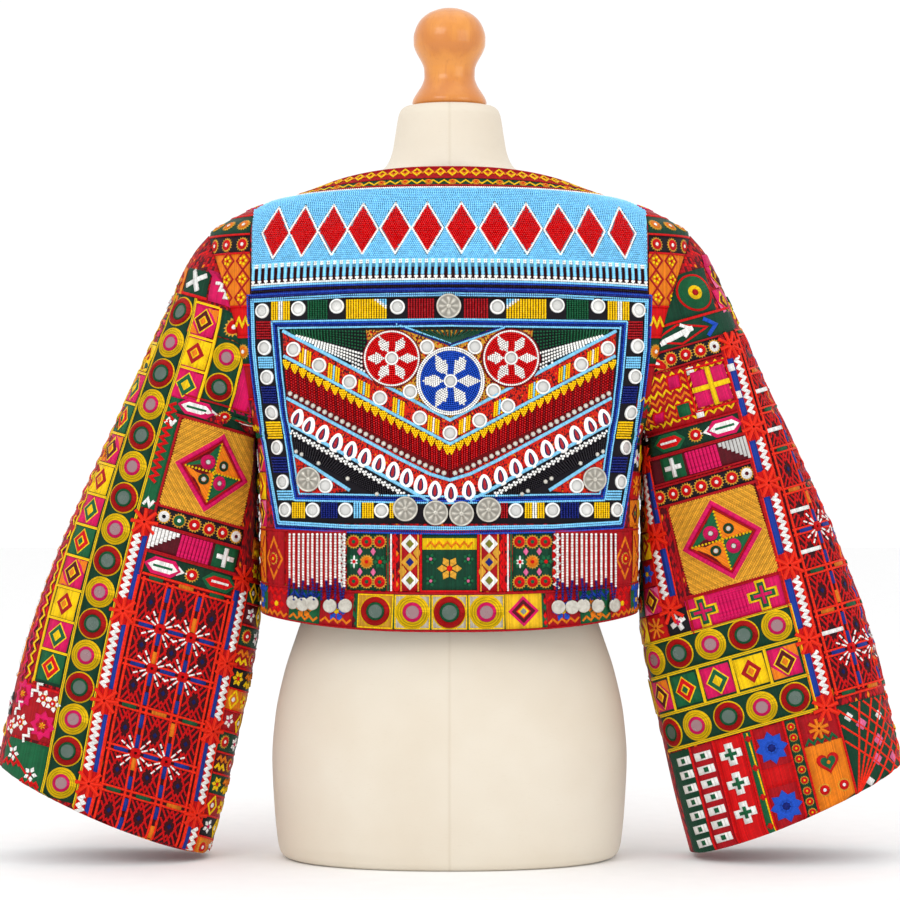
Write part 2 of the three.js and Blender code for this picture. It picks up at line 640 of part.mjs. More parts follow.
// A cowrie: a low egg, its long side up.
function cowrie(x, height) {
  const [wide, tall, deep] = COWRIE.half;
  const geometry = new THREE.SphereGeometry(1, 6, 3);
  geometry.scale(wide, deep, tall);
  const { normal } = onBack(x, height);
  geometry.rotateZ(Math.atan2(normal.x, -normal.y));
  const middle = raised(x, height, PANEL_FACE + COWRIE.raise);
  return geometry.translate(middle.x, middle.y, middle.z);
}

const PANEL_FACE = GAP + PANEL;
const bothSides = (places) => places.flatMap((p) => [p, { ...p, x: -p.x }]);

function beadedPanel() {
  const columns = BACK_COLUMNS.filter((s) => Math.abs(s) <= 1);
  const levels = [
    PANEL_LOW,
    PANEL_LOW + FRAME_WIDTH,
    ...within(BACK_ROWS, PANEL_LOW + FRAME_WIDTH, PANEL_HIGH - 20),
    PANEL_HIGH - FRAME_WIDTH - 1,
    PANEL_HIGH - FRAME_WIDTH,
    PANEL_HIGH,
  ];
  const isFrame = (s, level) =>
    Math.abs(s) > FRAME_COLUMNS[0] + 1e-6 ||
    level < PANEL_LOW + FRAME_WIDTH + 1e-6 ||
    level > PANEL_HIGH - FRAME_WIDTH - 1e-6;
  const lift = (s, level) => PANEL_FACE + (isFrame(s, level) ? BORDER : 0);
  const slab = wallOnBack(columns, levels, GAP, lift);
  const mirrors = [...bothSides([...MIRRORS_ON_FRAME, ...MIRRORS_INSIDE]), ...MIRRORS_ALONE];
  const discs = mirrors.map((m) =>
    flatDisc({ ...m, sides: MIRROR.sides }, GAP + PANEL / 2, PANEL_FACE + MIRROR.height),
  );
  const cowries = [];
  for (let i = -COWRIE.count; i < COWRIE.count; i += 1)
    cowries.push(cowrie(i * COWRIE.pitchX, COWRIE.lowest + Math.abs(i) * COWRIE.pitchHeight));
  return joined([slab, ...discs, ...cowries]);
}
addPiece("bead_panel", beadedPanel(), COLOURS.blueBeads, 0.5);

const ON_PANEL = PANEL_FACE + 0.7; // a flat-lying disc clears the panel's facets
for (const rosette of ROSETTES)
  addPiece(
    rosette.name,
    flatDisc({ ...rosette, sides: 24 }, ON_PANEL, ON_PANEL + rosette.thick),
    rosette.name === "rosette_middle" ? COLOURS.blueBeads : COLOURS.redBeads,
    0.5,
  );
// The coins at the border reach over the frame, and the two in the corners lie inside it.
for (const coin of COINS) {
  const low = ON_PANEL + (coin.inside ? 0 : BORDER);
  addPiece(coin.name, flatDisc({ ...coin, sides: 18 }, low, low + COIN_THICK), COLOURS.silver, 0.4, 1);
}

// The yoke: from its straight lower edge up to the neck band, and out to the shoulder's ridge.
function yokeWall() {
  const columns = BACK_COLUMNS.filter((s) => Math.abs(s) <= 1);
  const levels = [...BACK_ROWS.filter((level) => level >= YOKE.low && level < YOKE.high), YOKE.high];
  return wallOnBack(columns, levels, GAP, GAP + YOKE.thick);
}
addPiece("yoke_panel", yokeWall(), COLOURS.skyBeads, 0.5);

// A three-sided strand on the back, its edge outwards, through a list of heights.
function strand(x, heights, wide, lowLift, highLift) {
  const ring = (height) => [
    raised(x, height, highLift),
    raised(x + wide / 2, height, lowLift),
    raised(x - wide / 2, height, lowLift),
  ];
  return stackedRings([...heights].reverse().map(ring));
}

// A narrow strip across the back between two levels, from one x to another.
function strip(fromX, toX, low, high, lowLift, highLift) {
  const [from, to] = [columnAt(fromX, low), columnAt(toX, low)];
  const columns = [from, ...within(BACK_COLUMNS, from + 0.002, to - 0.002), to];
  return wallOnBack(columns, [low, high], lowLift, highLift);
}

function yokeFringe() {
  const { halfWidth, stripLow, stripHigh, strands, end, low } = YOKE_FRINGE;
  const head = strip(-halfWidth, halfWidth, stripLow, stripHigh, GAP, GAP + 1.7);
  const foot = strip(-halfWidth, halfWidth, low, end, GAP, GAP + 1.9);
  const rows = spaced(3 - halfWidth, halfWidth - 3, strands - 1).map((x) =>
    strand(x, [stripLow + 1, end - 1], 3.4, GAP + 0.3, GAP + 1.5),
  );
  return joined([head, foot, ...rows]);
}
addPiece("yoke_fringe", yokeFringe(), COLOURS.skyBeads, 0.5);

// A hanging fringe: a strip at the waist seam, strands of two lengths, and discs on the long ones.
function hangingFringe({ from, to }) {
  const { strands, stripTop, stripHigh, stripThick, strandWide, clear } = FRINGE;
  const { radius, thick, sides, overlap, step } = FRINGE_DISC;
  const face = clear + stripThick;
  const pieces = [strip(from - 2, to + 2, stripTop - stripHigh, stripTop, GAP, face)];
  spaced(from, to, strands - 1).forEach((x, i) => {
    const long = i % 3 === 0;
    const end = stripTop - (long ? FRINGE_LENGTHS.long : FRINGE_LENGTHS.short);
    pieces.push(strand(x, [stripTop - 1, end], strandWide, clear + 0.3, face));
    if (!long) return;
    const low = clear + 0.5 + (i % 2) * step;
    pieces.push(flatDisc({ x, height: end - radius + overlap, radius, sides }, low, low + thick));
  });
  return joined(pieces);
}
for (const fringe of FRINGE_SIDES) addPiece(fringe.name, hangingFringe(fringe), COLOURS.whiteBeads, 0.5);

// ---------- the dress form ----------

function dressForm() {
  const steps = spaced(-1, 1, FORM_COLUMNS);
  const ownRing = (row) => [-1, 1].flatMap((side) => steps.map((u) => ringPoint(row, side, u)));
  return stackedRings([
    ...FORM_BELOW.map(ownRing),
    ...roundNeck(-WALL - FORM_FIT, () => steps, steps),
    ...FORM_ABOVE.map(ownRing),
  ]);
}
addPiece("dress_form", dressForm(), COLOURS.cream, 0.9);

const knobProfile = [
  new THREE.Vector2(0, KNOB_FOOT),
  ...KNOB.map(({ up, radius }) => new THREE.Vector2(radius, KNOB_FOOT + up)),
  new THREE.Vector2(0, KNOB_FOOT + KNOB_HEIGHT),
];
addPiece("neck_knob", new THREE.LatheGeometry(knobProfile, 18).rotateX(Math.PI / 2), COLOURS.wood, 0.35);

export default group;
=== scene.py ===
"""Looks of an embroidered top on a dress form: cloth, stitching, beadwork, form and stage."""

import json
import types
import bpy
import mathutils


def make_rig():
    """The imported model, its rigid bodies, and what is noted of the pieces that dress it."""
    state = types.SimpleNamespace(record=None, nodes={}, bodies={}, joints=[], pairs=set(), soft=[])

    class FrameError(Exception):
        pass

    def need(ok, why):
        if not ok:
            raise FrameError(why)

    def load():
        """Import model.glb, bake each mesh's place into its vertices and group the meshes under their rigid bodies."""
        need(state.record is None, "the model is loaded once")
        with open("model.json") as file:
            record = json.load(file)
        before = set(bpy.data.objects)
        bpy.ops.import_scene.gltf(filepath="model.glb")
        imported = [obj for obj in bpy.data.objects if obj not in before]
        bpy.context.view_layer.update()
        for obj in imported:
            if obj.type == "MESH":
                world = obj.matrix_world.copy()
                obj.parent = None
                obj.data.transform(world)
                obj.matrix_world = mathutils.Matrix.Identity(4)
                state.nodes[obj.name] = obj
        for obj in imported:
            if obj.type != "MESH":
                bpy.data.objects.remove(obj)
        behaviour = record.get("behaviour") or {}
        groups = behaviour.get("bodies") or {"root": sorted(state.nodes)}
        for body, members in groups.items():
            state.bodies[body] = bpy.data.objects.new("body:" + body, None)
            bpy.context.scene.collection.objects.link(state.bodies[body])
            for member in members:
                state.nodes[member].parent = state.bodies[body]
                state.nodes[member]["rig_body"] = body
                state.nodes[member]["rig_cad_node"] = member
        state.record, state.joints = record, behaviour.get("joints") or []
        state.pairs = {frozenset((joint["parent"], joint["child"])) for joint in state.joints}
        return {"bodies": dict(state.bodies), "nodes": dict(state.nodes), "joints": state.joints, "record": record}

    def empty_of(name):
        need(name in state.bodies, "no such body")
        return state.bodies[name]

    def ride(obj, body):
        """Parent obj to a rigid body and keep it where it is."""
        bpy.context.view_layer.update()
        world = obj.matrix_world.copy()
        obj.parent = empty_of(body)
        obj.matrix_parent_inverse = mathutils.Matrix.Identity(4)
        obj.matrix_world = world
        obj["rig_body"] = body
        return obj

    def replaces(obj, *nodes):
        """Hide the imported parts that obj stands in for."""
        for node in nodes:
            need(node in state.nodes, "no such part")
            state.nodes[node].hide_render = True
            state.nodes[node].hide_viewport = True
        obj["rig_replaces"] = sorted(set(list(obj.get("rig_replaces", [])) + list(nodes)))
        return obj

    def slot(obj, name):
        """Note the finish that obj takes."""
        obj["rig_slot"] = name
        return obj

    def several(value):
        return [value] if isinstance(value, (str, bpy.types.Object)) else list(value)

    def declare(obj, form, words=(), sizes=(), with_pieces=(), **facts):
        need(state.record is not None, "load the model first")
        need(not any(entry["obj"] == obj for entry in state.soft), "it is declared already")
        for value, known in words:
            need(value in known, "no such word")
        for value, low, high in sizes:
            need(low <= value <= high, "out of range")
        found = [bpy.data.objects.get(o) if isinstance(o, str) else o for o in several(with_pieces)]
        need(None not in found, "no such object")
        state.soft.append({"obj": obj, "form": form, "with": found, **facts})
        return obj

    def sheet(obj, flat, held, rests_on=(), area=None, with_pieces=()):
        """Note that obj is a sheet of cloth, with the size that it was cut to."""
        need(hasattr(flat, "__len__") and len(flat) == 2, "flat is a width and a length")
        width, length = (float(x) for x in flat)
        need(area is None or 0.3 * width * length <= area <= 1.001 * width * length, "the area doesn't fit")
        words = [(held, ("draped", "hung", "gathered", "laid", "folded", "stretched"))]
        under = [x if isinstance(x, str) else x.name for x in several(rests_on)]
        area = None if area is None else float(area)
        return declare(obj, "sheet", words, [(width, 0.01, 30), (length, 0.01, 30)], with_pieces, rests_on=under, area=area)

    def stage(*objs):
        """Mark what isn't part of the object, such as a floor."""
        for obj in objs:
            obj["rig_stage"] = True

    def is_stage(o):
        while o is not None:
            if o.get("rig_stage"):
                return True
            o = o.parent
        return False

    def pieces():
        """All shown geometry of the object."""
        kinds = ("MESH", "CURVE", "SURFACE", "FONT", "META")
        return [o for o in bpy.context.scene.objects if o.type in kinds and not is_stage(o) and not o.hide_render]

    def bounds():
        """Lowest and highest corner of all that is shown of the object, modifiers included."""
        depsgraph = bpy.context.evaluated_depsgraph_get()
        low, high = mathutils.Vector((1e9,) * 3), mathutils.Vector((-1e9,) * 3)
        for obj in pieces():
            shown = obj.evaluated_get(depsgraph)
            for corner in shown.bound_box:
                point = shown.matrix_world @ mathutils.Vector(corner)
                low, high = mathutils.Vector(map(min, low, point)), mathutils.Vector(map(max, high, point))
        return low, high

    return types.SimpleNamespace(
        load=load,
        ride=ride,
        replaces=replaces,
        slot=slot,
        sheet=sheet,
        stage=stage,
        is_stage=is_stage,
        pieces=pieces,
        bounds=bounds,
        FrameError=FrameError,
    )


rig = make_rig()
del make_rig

bl_info = {
    "name": "Embroidered top on a dress form",
    "version": (1, 0, 0),
    "blender": (4, 5, 0),
    "location": "3D View > Sidebar > Embroidered top",
    "description": "Builds the cloth, stitching and beadwork of the top over its solids",
    "category": "Object",
}

import json
import sys
from functools import partial

import bpy
import numpy as np
from bpy.props import FloatProperty, FloatVectorProperty, PointerProperty

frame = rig.load()
CAD_BOX = [list(corner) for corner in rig.bounds()]

MM = 0.001
EYE = 2850.0  # distance of the sheet on which the patterns are laid out, in mm
EYE_HEIGHT = 405.5
SHEET_MIDDLE = (449.5, 450.0)  # the sheet's own millimetres: right from its edge and down from its top

# ---------------------------------------------------------------- sizes and colours

THREADS = {
    "crimson": ("b00716", "ground of the cloth"),
    "red": ("dc0208", "bright red thread"),
    "vermilion": ("f52a0c", "orange red thread"),
    "orange": ("f08010", "orange thread"),
    "gold": ("e2a430", "old gold thread"),
    "yellow": ("ffd000", "yellow thread and beads"),
    "olive": ("7f7d24", "olive outlines"),
    "green": ("12623a", "leaf green thread"),
    "forest": ("06402a", "dark green thread and beads"),
    "sky": ("8ad8ff", "light blue beads"),
    "blue": ("1a4fc4", "mid blue thread"),
    "navy": ("0c1f78", "navy beads"),
    "magenta": ("dc0c5e", "magenta thread"),
    "pink": ("ee6f9f", "pink thread"),
    "white": ("fbfaf6", "white thread and beads"),
    "black": ("17131a", "black ground and beads"),
    "maroon": ("5a0a18", "shadow red between the stitches"),
    # grey: mixed into the round mirrors' glass as a painted reflection, and also a grey thread
    "grey": ("8e9592", "glass of small mirrors"),
    "silver": ("c9c5ba", "coins and metal balls"),
    "cream": ("d8cdbb", "cover of the form"),
    "honey": ("d98a2b", "wood of the knob"),
}


def linear(hexa):
    """Linear light of a colour given as six hex digits: the usual power curve with its straight foot."""
    c = np.array([int(hexa[i : i + 2], 16) for i in (0, 2, 4)]) / 255
    return tuple(np.where(c <= 0.04045, c / 12.92, ((c + 0.055) / 1.055) ** 2.4).tolist())


class TopColours(bpy.types.PropertyGroup):
    """Colours of threads, beads and fittings."""

    __annotations__ = {
        name: FloatVectorProperty(name=name.capitalize(), description=use, subtype="COLOR", size=3, min=0,
                                  max=1, default=linear(code)) for name, (code, use) in THREADS.items()
    }


class TopSizes(bpy.types.PropertyGroup):
    """Sizes of cloth and beads."""

    wall: FloatProperty(name="Cloth", description="Thickness of the cloth", default=0.0019, unit="LENGTH")
    bead: FloatProperty(name="Bead", description="Diameter of a seed bead", default=0.0024, unit="LENGTH")
    thread: FloatProperty(name="Thread", description="Spacing of the threads in the stitching",
                          default=0.0012, unit="LENGTH")
    crease: FloatProperty(name="Crease", description="Depth of the sleeves' soft folds, 1 as worn",
                          default=1.0, min=0, max=1.5)


def sizes():
    """The sizes set in the panel."""
    return bpy.context.scene.top_sizes


def colour(name):
    """Linear light of a named thread, bead or fitting."""
    return np.array(getattr(bpy.context.scene.top_colours, name))


# ---------------------------------------------------------------- surfaces of the garment

BODY = np.array([  # level, half width, back, front, rise of the back, rise of the front, squareness
    (246, 185, 121, 119, -15, -12, 3.6), (276, 185.3, 120, 119, -8, -7, 3.7),
    (328, 186, 118.5, 120, 0, -1, 3.8), (370, 187.5, 117.5, 123, 0, 0, 3.8),
    (414, 190, 117.5, 126, 0, 0, 3.7), (450, 209, 118, 126, 0, 0, 3.4),
    (484, 226, 118, 123, 0, -2, 3.1), (516, 233, 117, 119.5, 0, -6, 3.0),
    (550, 237, 114.5, 115, 0, -13, 2.9), (590, 239.5, 109, 110, 0, -23, 2.8),
    (618, 240, 103, 106, 1.5, -29, 2.7), (631, 222, 99, 104, 3, -31, 2.6),
    (645.5, 193, 92.5, 101, 5.5, -34, 2.5), (653.5, 165, 86, 97, 8, -34, 2.4),
    (664, 132, 66, 84, 18, -24, 2.25),
], float)
SLEEVE = np.array([  # share of the length, outer x and z, inner x and z, half depth, middle y
    (0, 238, 618, 190.6, 414, 70, -1), (0.06, 254, 600, 191.6, 411, 72, -1),
    (0.12, 265, 580, 192, 408, 73, -2), (0.2, 280, 547, 192.2, 403, 74, -3),
    (0.29, 300, 503, 192.2, 394, 74, -4), (0.39, 324, 450, 192, 366, 73, -5),
    (0.5, 352, 390, 191, 306, 72, -6), (0.61, 379, 330, 190, 247, 71, -6),
    (0.72, 403, 270, 198, 185, 70, -6), (0.82, 423, 210, 210.5, 127, 70, -5),
    (0.91, 437, 152, 225, 62, 70, -5), (1, 449.5, 97, 240, 5.5, 70, -5),
], float)
FOLDS = np.array([  # angle, spread, from, to, depth of the sleeve's soft folds
    (128, 16, 0.1, 0.62, 4.5), (152, 12, 0.16, 0.5, -3.5), (62, 20, 0.05, 0.34, 2.5),
    (84, 18, 0.5, 1.2, -2.0), (232, 16, 0.12, 0.6, 4.0), (208, 12, 0.18, 0.52, -3.0),
    (292, 20, 0.06, 0.4, 2.5), (262, 22, 0.55, 1.2, 2.5),
], float)
CREASES = np.array([  # finer ones: angle, turn along the length, spread, from, to, depth
    (150, -40, 5, 0.02, 0.34, 2.4), (166, -60, 6, 0.0, 0.3, 2.0), (112, 30, 8, 0.28, 0.8, 1.6),
    (140, 24, 7, 0.5, 0.98, 1.7), (70, -16, 8, 0.1, 0.5, 1.3), (30, 10, 8, 0.02, 0.22, 1.6),
    (210, 44, 5, 0.02, 0.36, 2.3), (196, 60, 6, 0.0, 0.3, 1.9), (250, -28, 8, 0.3, 0.8, 1.6),
    (222, -24, 7, 0.5, 0.98, 1.6), (286, 16, 8, 0.1, 0.5, 1.4), (328, -10, 8, 0.02, 0.22, 1.5),
], float)
LOW, HIGH = 414.0, 618.0  # ends of the armhole
ARM_X, ARM_SPREAD, ARM_SCOOP = 190.6, 47.4, 9.0  # its lower end, how far out it rises, its hollow
SLEEVE_SQUARE = 2.3  # squareness of the sleeve's section
SET_IN = 0.16  # share of a sleeve's length over which it blends into the armhole
CUFF_SAG = 5.0
SEAMS = dict(hem=246.0, lower=276.0, waist=328.0, band=653.5, neck=664.0)
ROW_LEVELS = np.concatenate(
    [np.linspace(SEAMS["hem"], HIGH, 150), np.linspace(HIGH, SEAMS["neck"], 40)[1:]]
)


def smooth(keys, values, x):
    """A cubic through the rows that never overshoots: a slope is the harmonic mean of its neighbours'."""
    keys, values, x = np.asarray(keys, float), np.asarray(values, float), np.asarray(x, float)
    step = np.diff(keys)
    shape = (-1,) + (1,) * (values.ndim - 1)
    secant = np.diff(values, axis=0) / step.reshape(shape)
    a, b = secant[:-1], secant[1:]
    total = np.where(a * b > 0, a + b, 1)
    slope = np.concatenate([secant[:1], np.where(a * b > 0, 2 * a * b / total, 0), secant[-1:]])
    k = np.clip(np.searchsorted(keys, x, "right") - 1, 0, len(keys) - 2)
    h = step[k]
    t = np.clip((x - keys[k]) / h, 0, 1)
    if values.ndim > 1:
        t, h = t[..., None], h[..., None]
    s = 1 - t
    return (
        values[k] * (1 + 2 * t) * s * s + slope[k] * h * t * s * s
        + values[k + 1] * (3 - 2 * t) * t * t - slope[k + 1] * h * s * t * t
    )


def ease(x):
    """The S curve 3t^2 - 2t^3 of x held between 0 and 1."""
    t = np.clip(x, 0, 1)
    return t * t * (3 - 2 * t)


def rounded(x, power):
    """x to a power, with its sign kept."""
    return np.sign(x) * np.abs(x) ** power


def reach(level, half_width):
    """Share of a ring's half width that the cloth covers: less than 1 beside the armhole's scooped line."""
    t = (level - LOW) / (HIGH - LOW)
    edge = ARM_X + ARM_SPREAD * t - ARM_SCOOP * np.sin(np.pi * np.clip(t, 0, 1))
    return np.where((level <= LOW) | (level >= HIGH), 1.0, np.minimum(1, edge / half_width))


def body_ring(side, u, row, edge):
    """Half a ring, a superellipse: x = a sin(u psi), y = (1 - |sin|^n)^(1/n), raised to the middle."""
    a, back, front, rise_back, rise_front, square = np.moveaxis(row, -1, 0)[1:7]
    across = np.sin(u * np.arcsin(edge))
    depth, rise = (back, rise_back) if side < 0 else (front, rise_front)
    out = np.maximum(0, 1 - np.abs(across) ** square) ** (1 / square)
    z = row[..., 0] + rise * (1 - np.abs(across / edge) ** 2.5)
    return np.stack([a * across, side * (0.15 + depth * out), z], -1)


def body_row(level):
    """The sizes at a level, by the cubic through BODY, and the share of the width that the cloth covers."""
    row = smooth(BODY[:, 0], BODY, level)
    row[..., 0] = level
    return row, reach(level, row[..., 1])


def body_point(side, u, level):
    """A point of the body's back (-1) or front (1): u runs from -1 to 1 across the ring at a level."""
    u, level = np.broadcast_arrays(np.asarray(u, float), np.asarray(level, float))
    row, edge = body_row(level)
    return body_ring(side, u, row, edge)


def sleeve_point(angle, at):
    """A sleeve at +X: a superellipse between two lines, folded, and blended into the armhole."""
    angle, at = np.broadcast_arrays(np.asarray(angle, float), np.asarray(at, float))

    def section(share):
        """The section at a share of the length: a superellipse from the inner line to the outer."""
        ox, oz, ix, iz, depth, mid = np.moveaxis(smooth(SLEEVE[:, 0], SLEEVE[:, 1:], share), -1, 0)
        power = 2 / SLEEVE_SQUARE
        across = 1 + rounded(np.cos(angle), power)
        half_x, half_z = (ox - ix) / 2, (oz - iz) / 2
        y = mid - depth * rounded(np.sin(angle), power)
        return np.stack([ix + half_x * across, y, iz + half_z * across], -1), half_x, half_z

    point, half_x, half_z = section(at)
    length = np.hypot(half_x, half_z)
    up = np.stack([half_x / length, 0 * half_x, half_z / length], -1)
    sin, cos = np.sin(angle), np.cos(angle)
    sag = CUFF_SAG * sin * sin * at**4
    point += np.stack([sag * up[..., 2], 0 * sag, -sag * up[..., 0]], -1)
    inward = np.stack([-up[..., 0] * cos, sin, -up[..., 2] * cos], -1)
    point += inward * (fold_depth(np.degrees(angle), at))[..., None]
    share = 1 - ease(at / SET_IN)
    level = (LOW + HIGH) / 2 + (HIGH - LOW) / 2 * np.cos(angle)
    hole_back = body_point(-1, np.ones_like(level), level)
    hole_front = body_point(1, np.ones_like(level), level)
    hole = np.where((sin > 0)[..., None], hole_back, hole_front)
    hole[..., 0] += 0.6
    return point + (hole - section(0 * at)[0]) * share[..., None]


def fold_depth(degrees, at):
    """Sum of soft troughs: a bell across the angle times a half sine along the length."""
    depth = np.zeros_like(at)
    rows = [(a, 0, s, f, t, d) for a, s, f, t, d in FOLDS] + [tuple(r) for r in CREASES]
    for angle, turn, spread, start, end, deep in rows:
        along = (at - start) / (end - start)
        middle = angle + turn * along
        away = np.abs((degrees - middle + 540) % 360 - 180)
        rise = np.sin(np.pi * np.clip(along, 0, 1)) ** 1.5
        depth = depth + deep * np.exp(-((away / spread) ** 2)) * rise
    return depth * sizes().crease


def unit(v):
    """Vectors divided by their own length."""
    return v / np.maximum(np.linalg.norm(v, axis=-1, keepdims=True), 1e-9)


def even_columns(points, normals, zero):
    """Each row resampled at equal steps of arc.

    Returns points, normals, and each row's start and length of arc, counted from its column zero,
    or from its middle where zero is None."""
    count = points.shape[1]
    rows, ways, starts, lengths = [], [], [], []
    for line, way in zip(points, normals):
        arc = np.concatenate([[0], np.cumsum(np.linalg.norm(np.diff(line, axis=0), axis=1))])
        wanted = np.linspace(0, arc[-1], count)
        rows.append(np.stack([np.interp(wanted, arc, line[:, i]) for i in range(3)], -1))
        ways.append(np.stack([np.interp(wanted, arc, way[:, i]) for i in range(3)], -1))
        starts.append(-arc[-1] / 2 if zero is None else -arc[zero])
        lengths.append(arc[-1])
    return np.array(rows), unit(np.array(ways)), np.array(starts), np.array(lengths)


def grid_normals(points, outward):
    """Normals of a grid of points, turned to the outward side."""
    normal = unit(np.cross(np.gradient(points, axis=1), np.gradient(points, axis=0)))
    middle = normal[normal.shape[0] // 2, normal.shape[1] // 2]
    return normal * np.sign(middle @ np.asarray(outward, float))


class Chart:
    """Cloth coordinates of one face of the garment: xi across and eta along, in mm of cloth.

    Rows of points run along the cloth, with equal steps of arc across each row. A place is the
    bilinear blend of the four points round it, moved out along the blended normal."""

    def __init__(self, points, outward, normals=None, zero=None, eta=None):
        """Even out the columns, measure eta as arc down the middle one, and note the grid's turn."""
        normals = grid_normals(points, outward) if normals is None else normals
        self.points, self.normals, self.start, self.length = even_columns(points, normals, zero)
        line = self.points[:, self.points.shape[1] // 2]
        steps = np.linalg.norm(np.diff(line, axis=0), axis=1)
        self.eta = np.concatenate([[0], np.cumsum(steps)]) if eta is None else eta
        across, up = np.diff(self.points, axis=1), np.diff(self.points, axis=0)
        i, j = points.shape[0] // 2, points.shape[1] // 2
        self.turn = np.sign(np.cross(across[i, j], up[i, j]) @ self.normals[i, j])

    @property
    def half(self):
        """Half the width of each row."""
        return self.length / 2

    def blend(self, row, column):
        """A function that gives any grid's bilinear blend at these rows and columns."""
        rows, columns = self.points.shape[:2]
        row, column = np.clip(row, 0, rows - 1.001), np.clip(column, 0, columns - 1.001)
        i, j = row.astype(int), column.astype(int)
        f, g = (row - i)[..., None], (column - j)[..., None]
        return lambda a: (a[i, j] * (1 - g) + a[i, j + 1] * g) * (1 - f) + (a[i + 1, j] * (1 - g)
                + a[i + 1, j + 1] * g) * f

    def spot(self, xi, eta):
        """Row and column of the grid at a place, and whether it lies past the cloth's edge."""
        rows, columns = self.points.shape[:2]
        row = np.interp(eta, self.eta, np.arange(rows))
        start, length = np.interp(row, np.arange(rows), self.start), np.interp(row, np.arange(rows),
                self.length)
        share = (xi - start) / np.maximum(length, 1e-6)
        past = (share <= 0) | (share >= 1) | (eta <= self.eta[0]) | (eta >= self.eta[-1])
        return row, np.clip(share, 0, 1) * (columns - 1), past

    def place(self, xi, eta, lift):
        """Points of the chart. A place past an edge is held at the edge."""
        row, column, _ = self.spot(xi, eta)
        at = self.blend(row, column)
        return at(self.points) + np.asarray(lift)[..., None] * unit(at(self.normals))

    def find(self, u, v):
        """Chart coordinates of what shows at u, v on the sheet: nearest point, then Newton steps."""
        u, v = np.atleast_1d(np.asarray(u, float)), np.atleast_1d(np.asarray(v, float))
        shape = u.shape
        target = np.stack([u.ravel(), v.ravel()], -1)
        rows, columns = self.points.shape[:2]
        coarse = on_sheet(self.points[::4, ::4])
        flat = coarse.reshape(-1, 2)
        nearest = np.concatenate(
            [np.argmin(((part[:, None] - flat[None]) ** 2).sum(-1), 1)
             for part in np.array_split(target, 1 + len(target) // 1500)]
        )
        row, column = nearest // coarse.shape[1] * 4.0, nearest % coarse.shape[1] * 4.0
        for _ in range(12):
            here = on_sheet(self.blend(row, column)(self.points))
            r1, c1 = np.minimum(row + 1, rows - 1.01), np.minimum(column + 1, columns - 1.01)
            r0, c0 = np.maximum(row - 1, 0), np.maximum(column - 1, 0)
            dr = on_sheet(self.blend(r1, column)(self.points)) - on_sheet(self.blend(r0,
                    column)(self.points))
            dc = on_sheet(self.blend(row, c1)(self.points)) - on_sheet(self.blend(row, c0)(self.points))
            dr, dc = dr / np.maximum(r1 - r0, 1e-6)[:, None], dc / np.maximum(c1 - c0, 1e-6)[:, None]
            det = dr[:, 0] * dc[:, 1] - dr[:, 1] * dc[:, 0]
            det = np.where(np.abs(det) < 1e-6, 1e-6, det)
            miss = target - here
            row = np.clip(row + np.clip((miss[:, 0] * dc[:, 1] - miss[:, 1] * dc[:, 0]) / det, -6, 6), 0,
                          rows - 1.01)
            column = np.clip(
                column + np.clip((dr[:, 0] * miss[:, 1] - dr[:, 1] * miss[:, 0]) / det, -6, 6), 0,
                columns - 1.01
            )
        start, length = np.interp(row, np.arange(rows), self.start), np.interp(row, np.arange(rows),
                self.length)
        xi = start + column / (columns - 1) * length
        return xi.reshape(shape), np.interp(row, np.arange(rows), self.eta).reshape(shape)

    def frames(self, xi, eta, turn=0.0):
        """Origins and 2 x 2 matrices that carry a motif's mm to the chart, turned by degrees from xi."""
        xi, eta = np.atleast_1d(np.asarray(xi, float)), np.atleast_1d(np.asarray(eta, float))
        step, zero = 1.5, np.zeros_like(xi)
        jx = (self.place(xi + step, eta, zero) - self.place(xi - step, eta, zero)) / (2 * step)
        je = (self.place(xi, eta + step, zero) - self.place(xi, eta - step, zero)) / (2 * step)
        out = self.place(xi, eta, zero + 1) - self.place(xi, eta, zero)
        a = np.radians(np.broadcast_to(turn, xi.shape))[:, None]
        right = unit(jx)
        up = np.cross(out, right)
        right, up = right * np.cos(a) + up * np.sin(a), up * np.cos(a) - right * np.sin(a)
        aa, bb, cc = (jx * jx).sum(-1), (jx * je).sum(-1), (je * je).sum(-1)
        det = np.maximum(aa * cc - bb * bb, 1e-3)

        def to_chart(d):
            """A direction as steps of xi and eta: the inverse of the 2 x 2 table of dot products."""
            p, q = (jx * d).sum(-1), (je * d).sum(-1)
            return np.stack([(cc * p - bb * q) / det, (aa * q - bb * p) / det], -1)

        return np.stack([xi, eta], -1), np.clip(np.stack([to_chart(right), to_chart(up)], -1), -1.5, 1.5)

    def outward(self, xi, eta):
        """The way out of the cloth at a place: the difference of two points 1 mm apart in height."""
        zero = np.zeros_like(xi)
        return self.place(xi, eta, zero + 1) - self.place(xi, eta, zero)


def on_sheet(points):
    """Where points show on the layout sheet: each is carried from the eye to the plane y = 0."""
    scale = EYE / (EYE + points[..., 1])
    return np.stack(
        [SHEET_MIDDLE[0] + points[..., 0] * scale, SHEET_MIDDLE[1] - (points[..., 2] - EYE_HEIGHT) * scale],
        -1
    )


CHARTS = {}


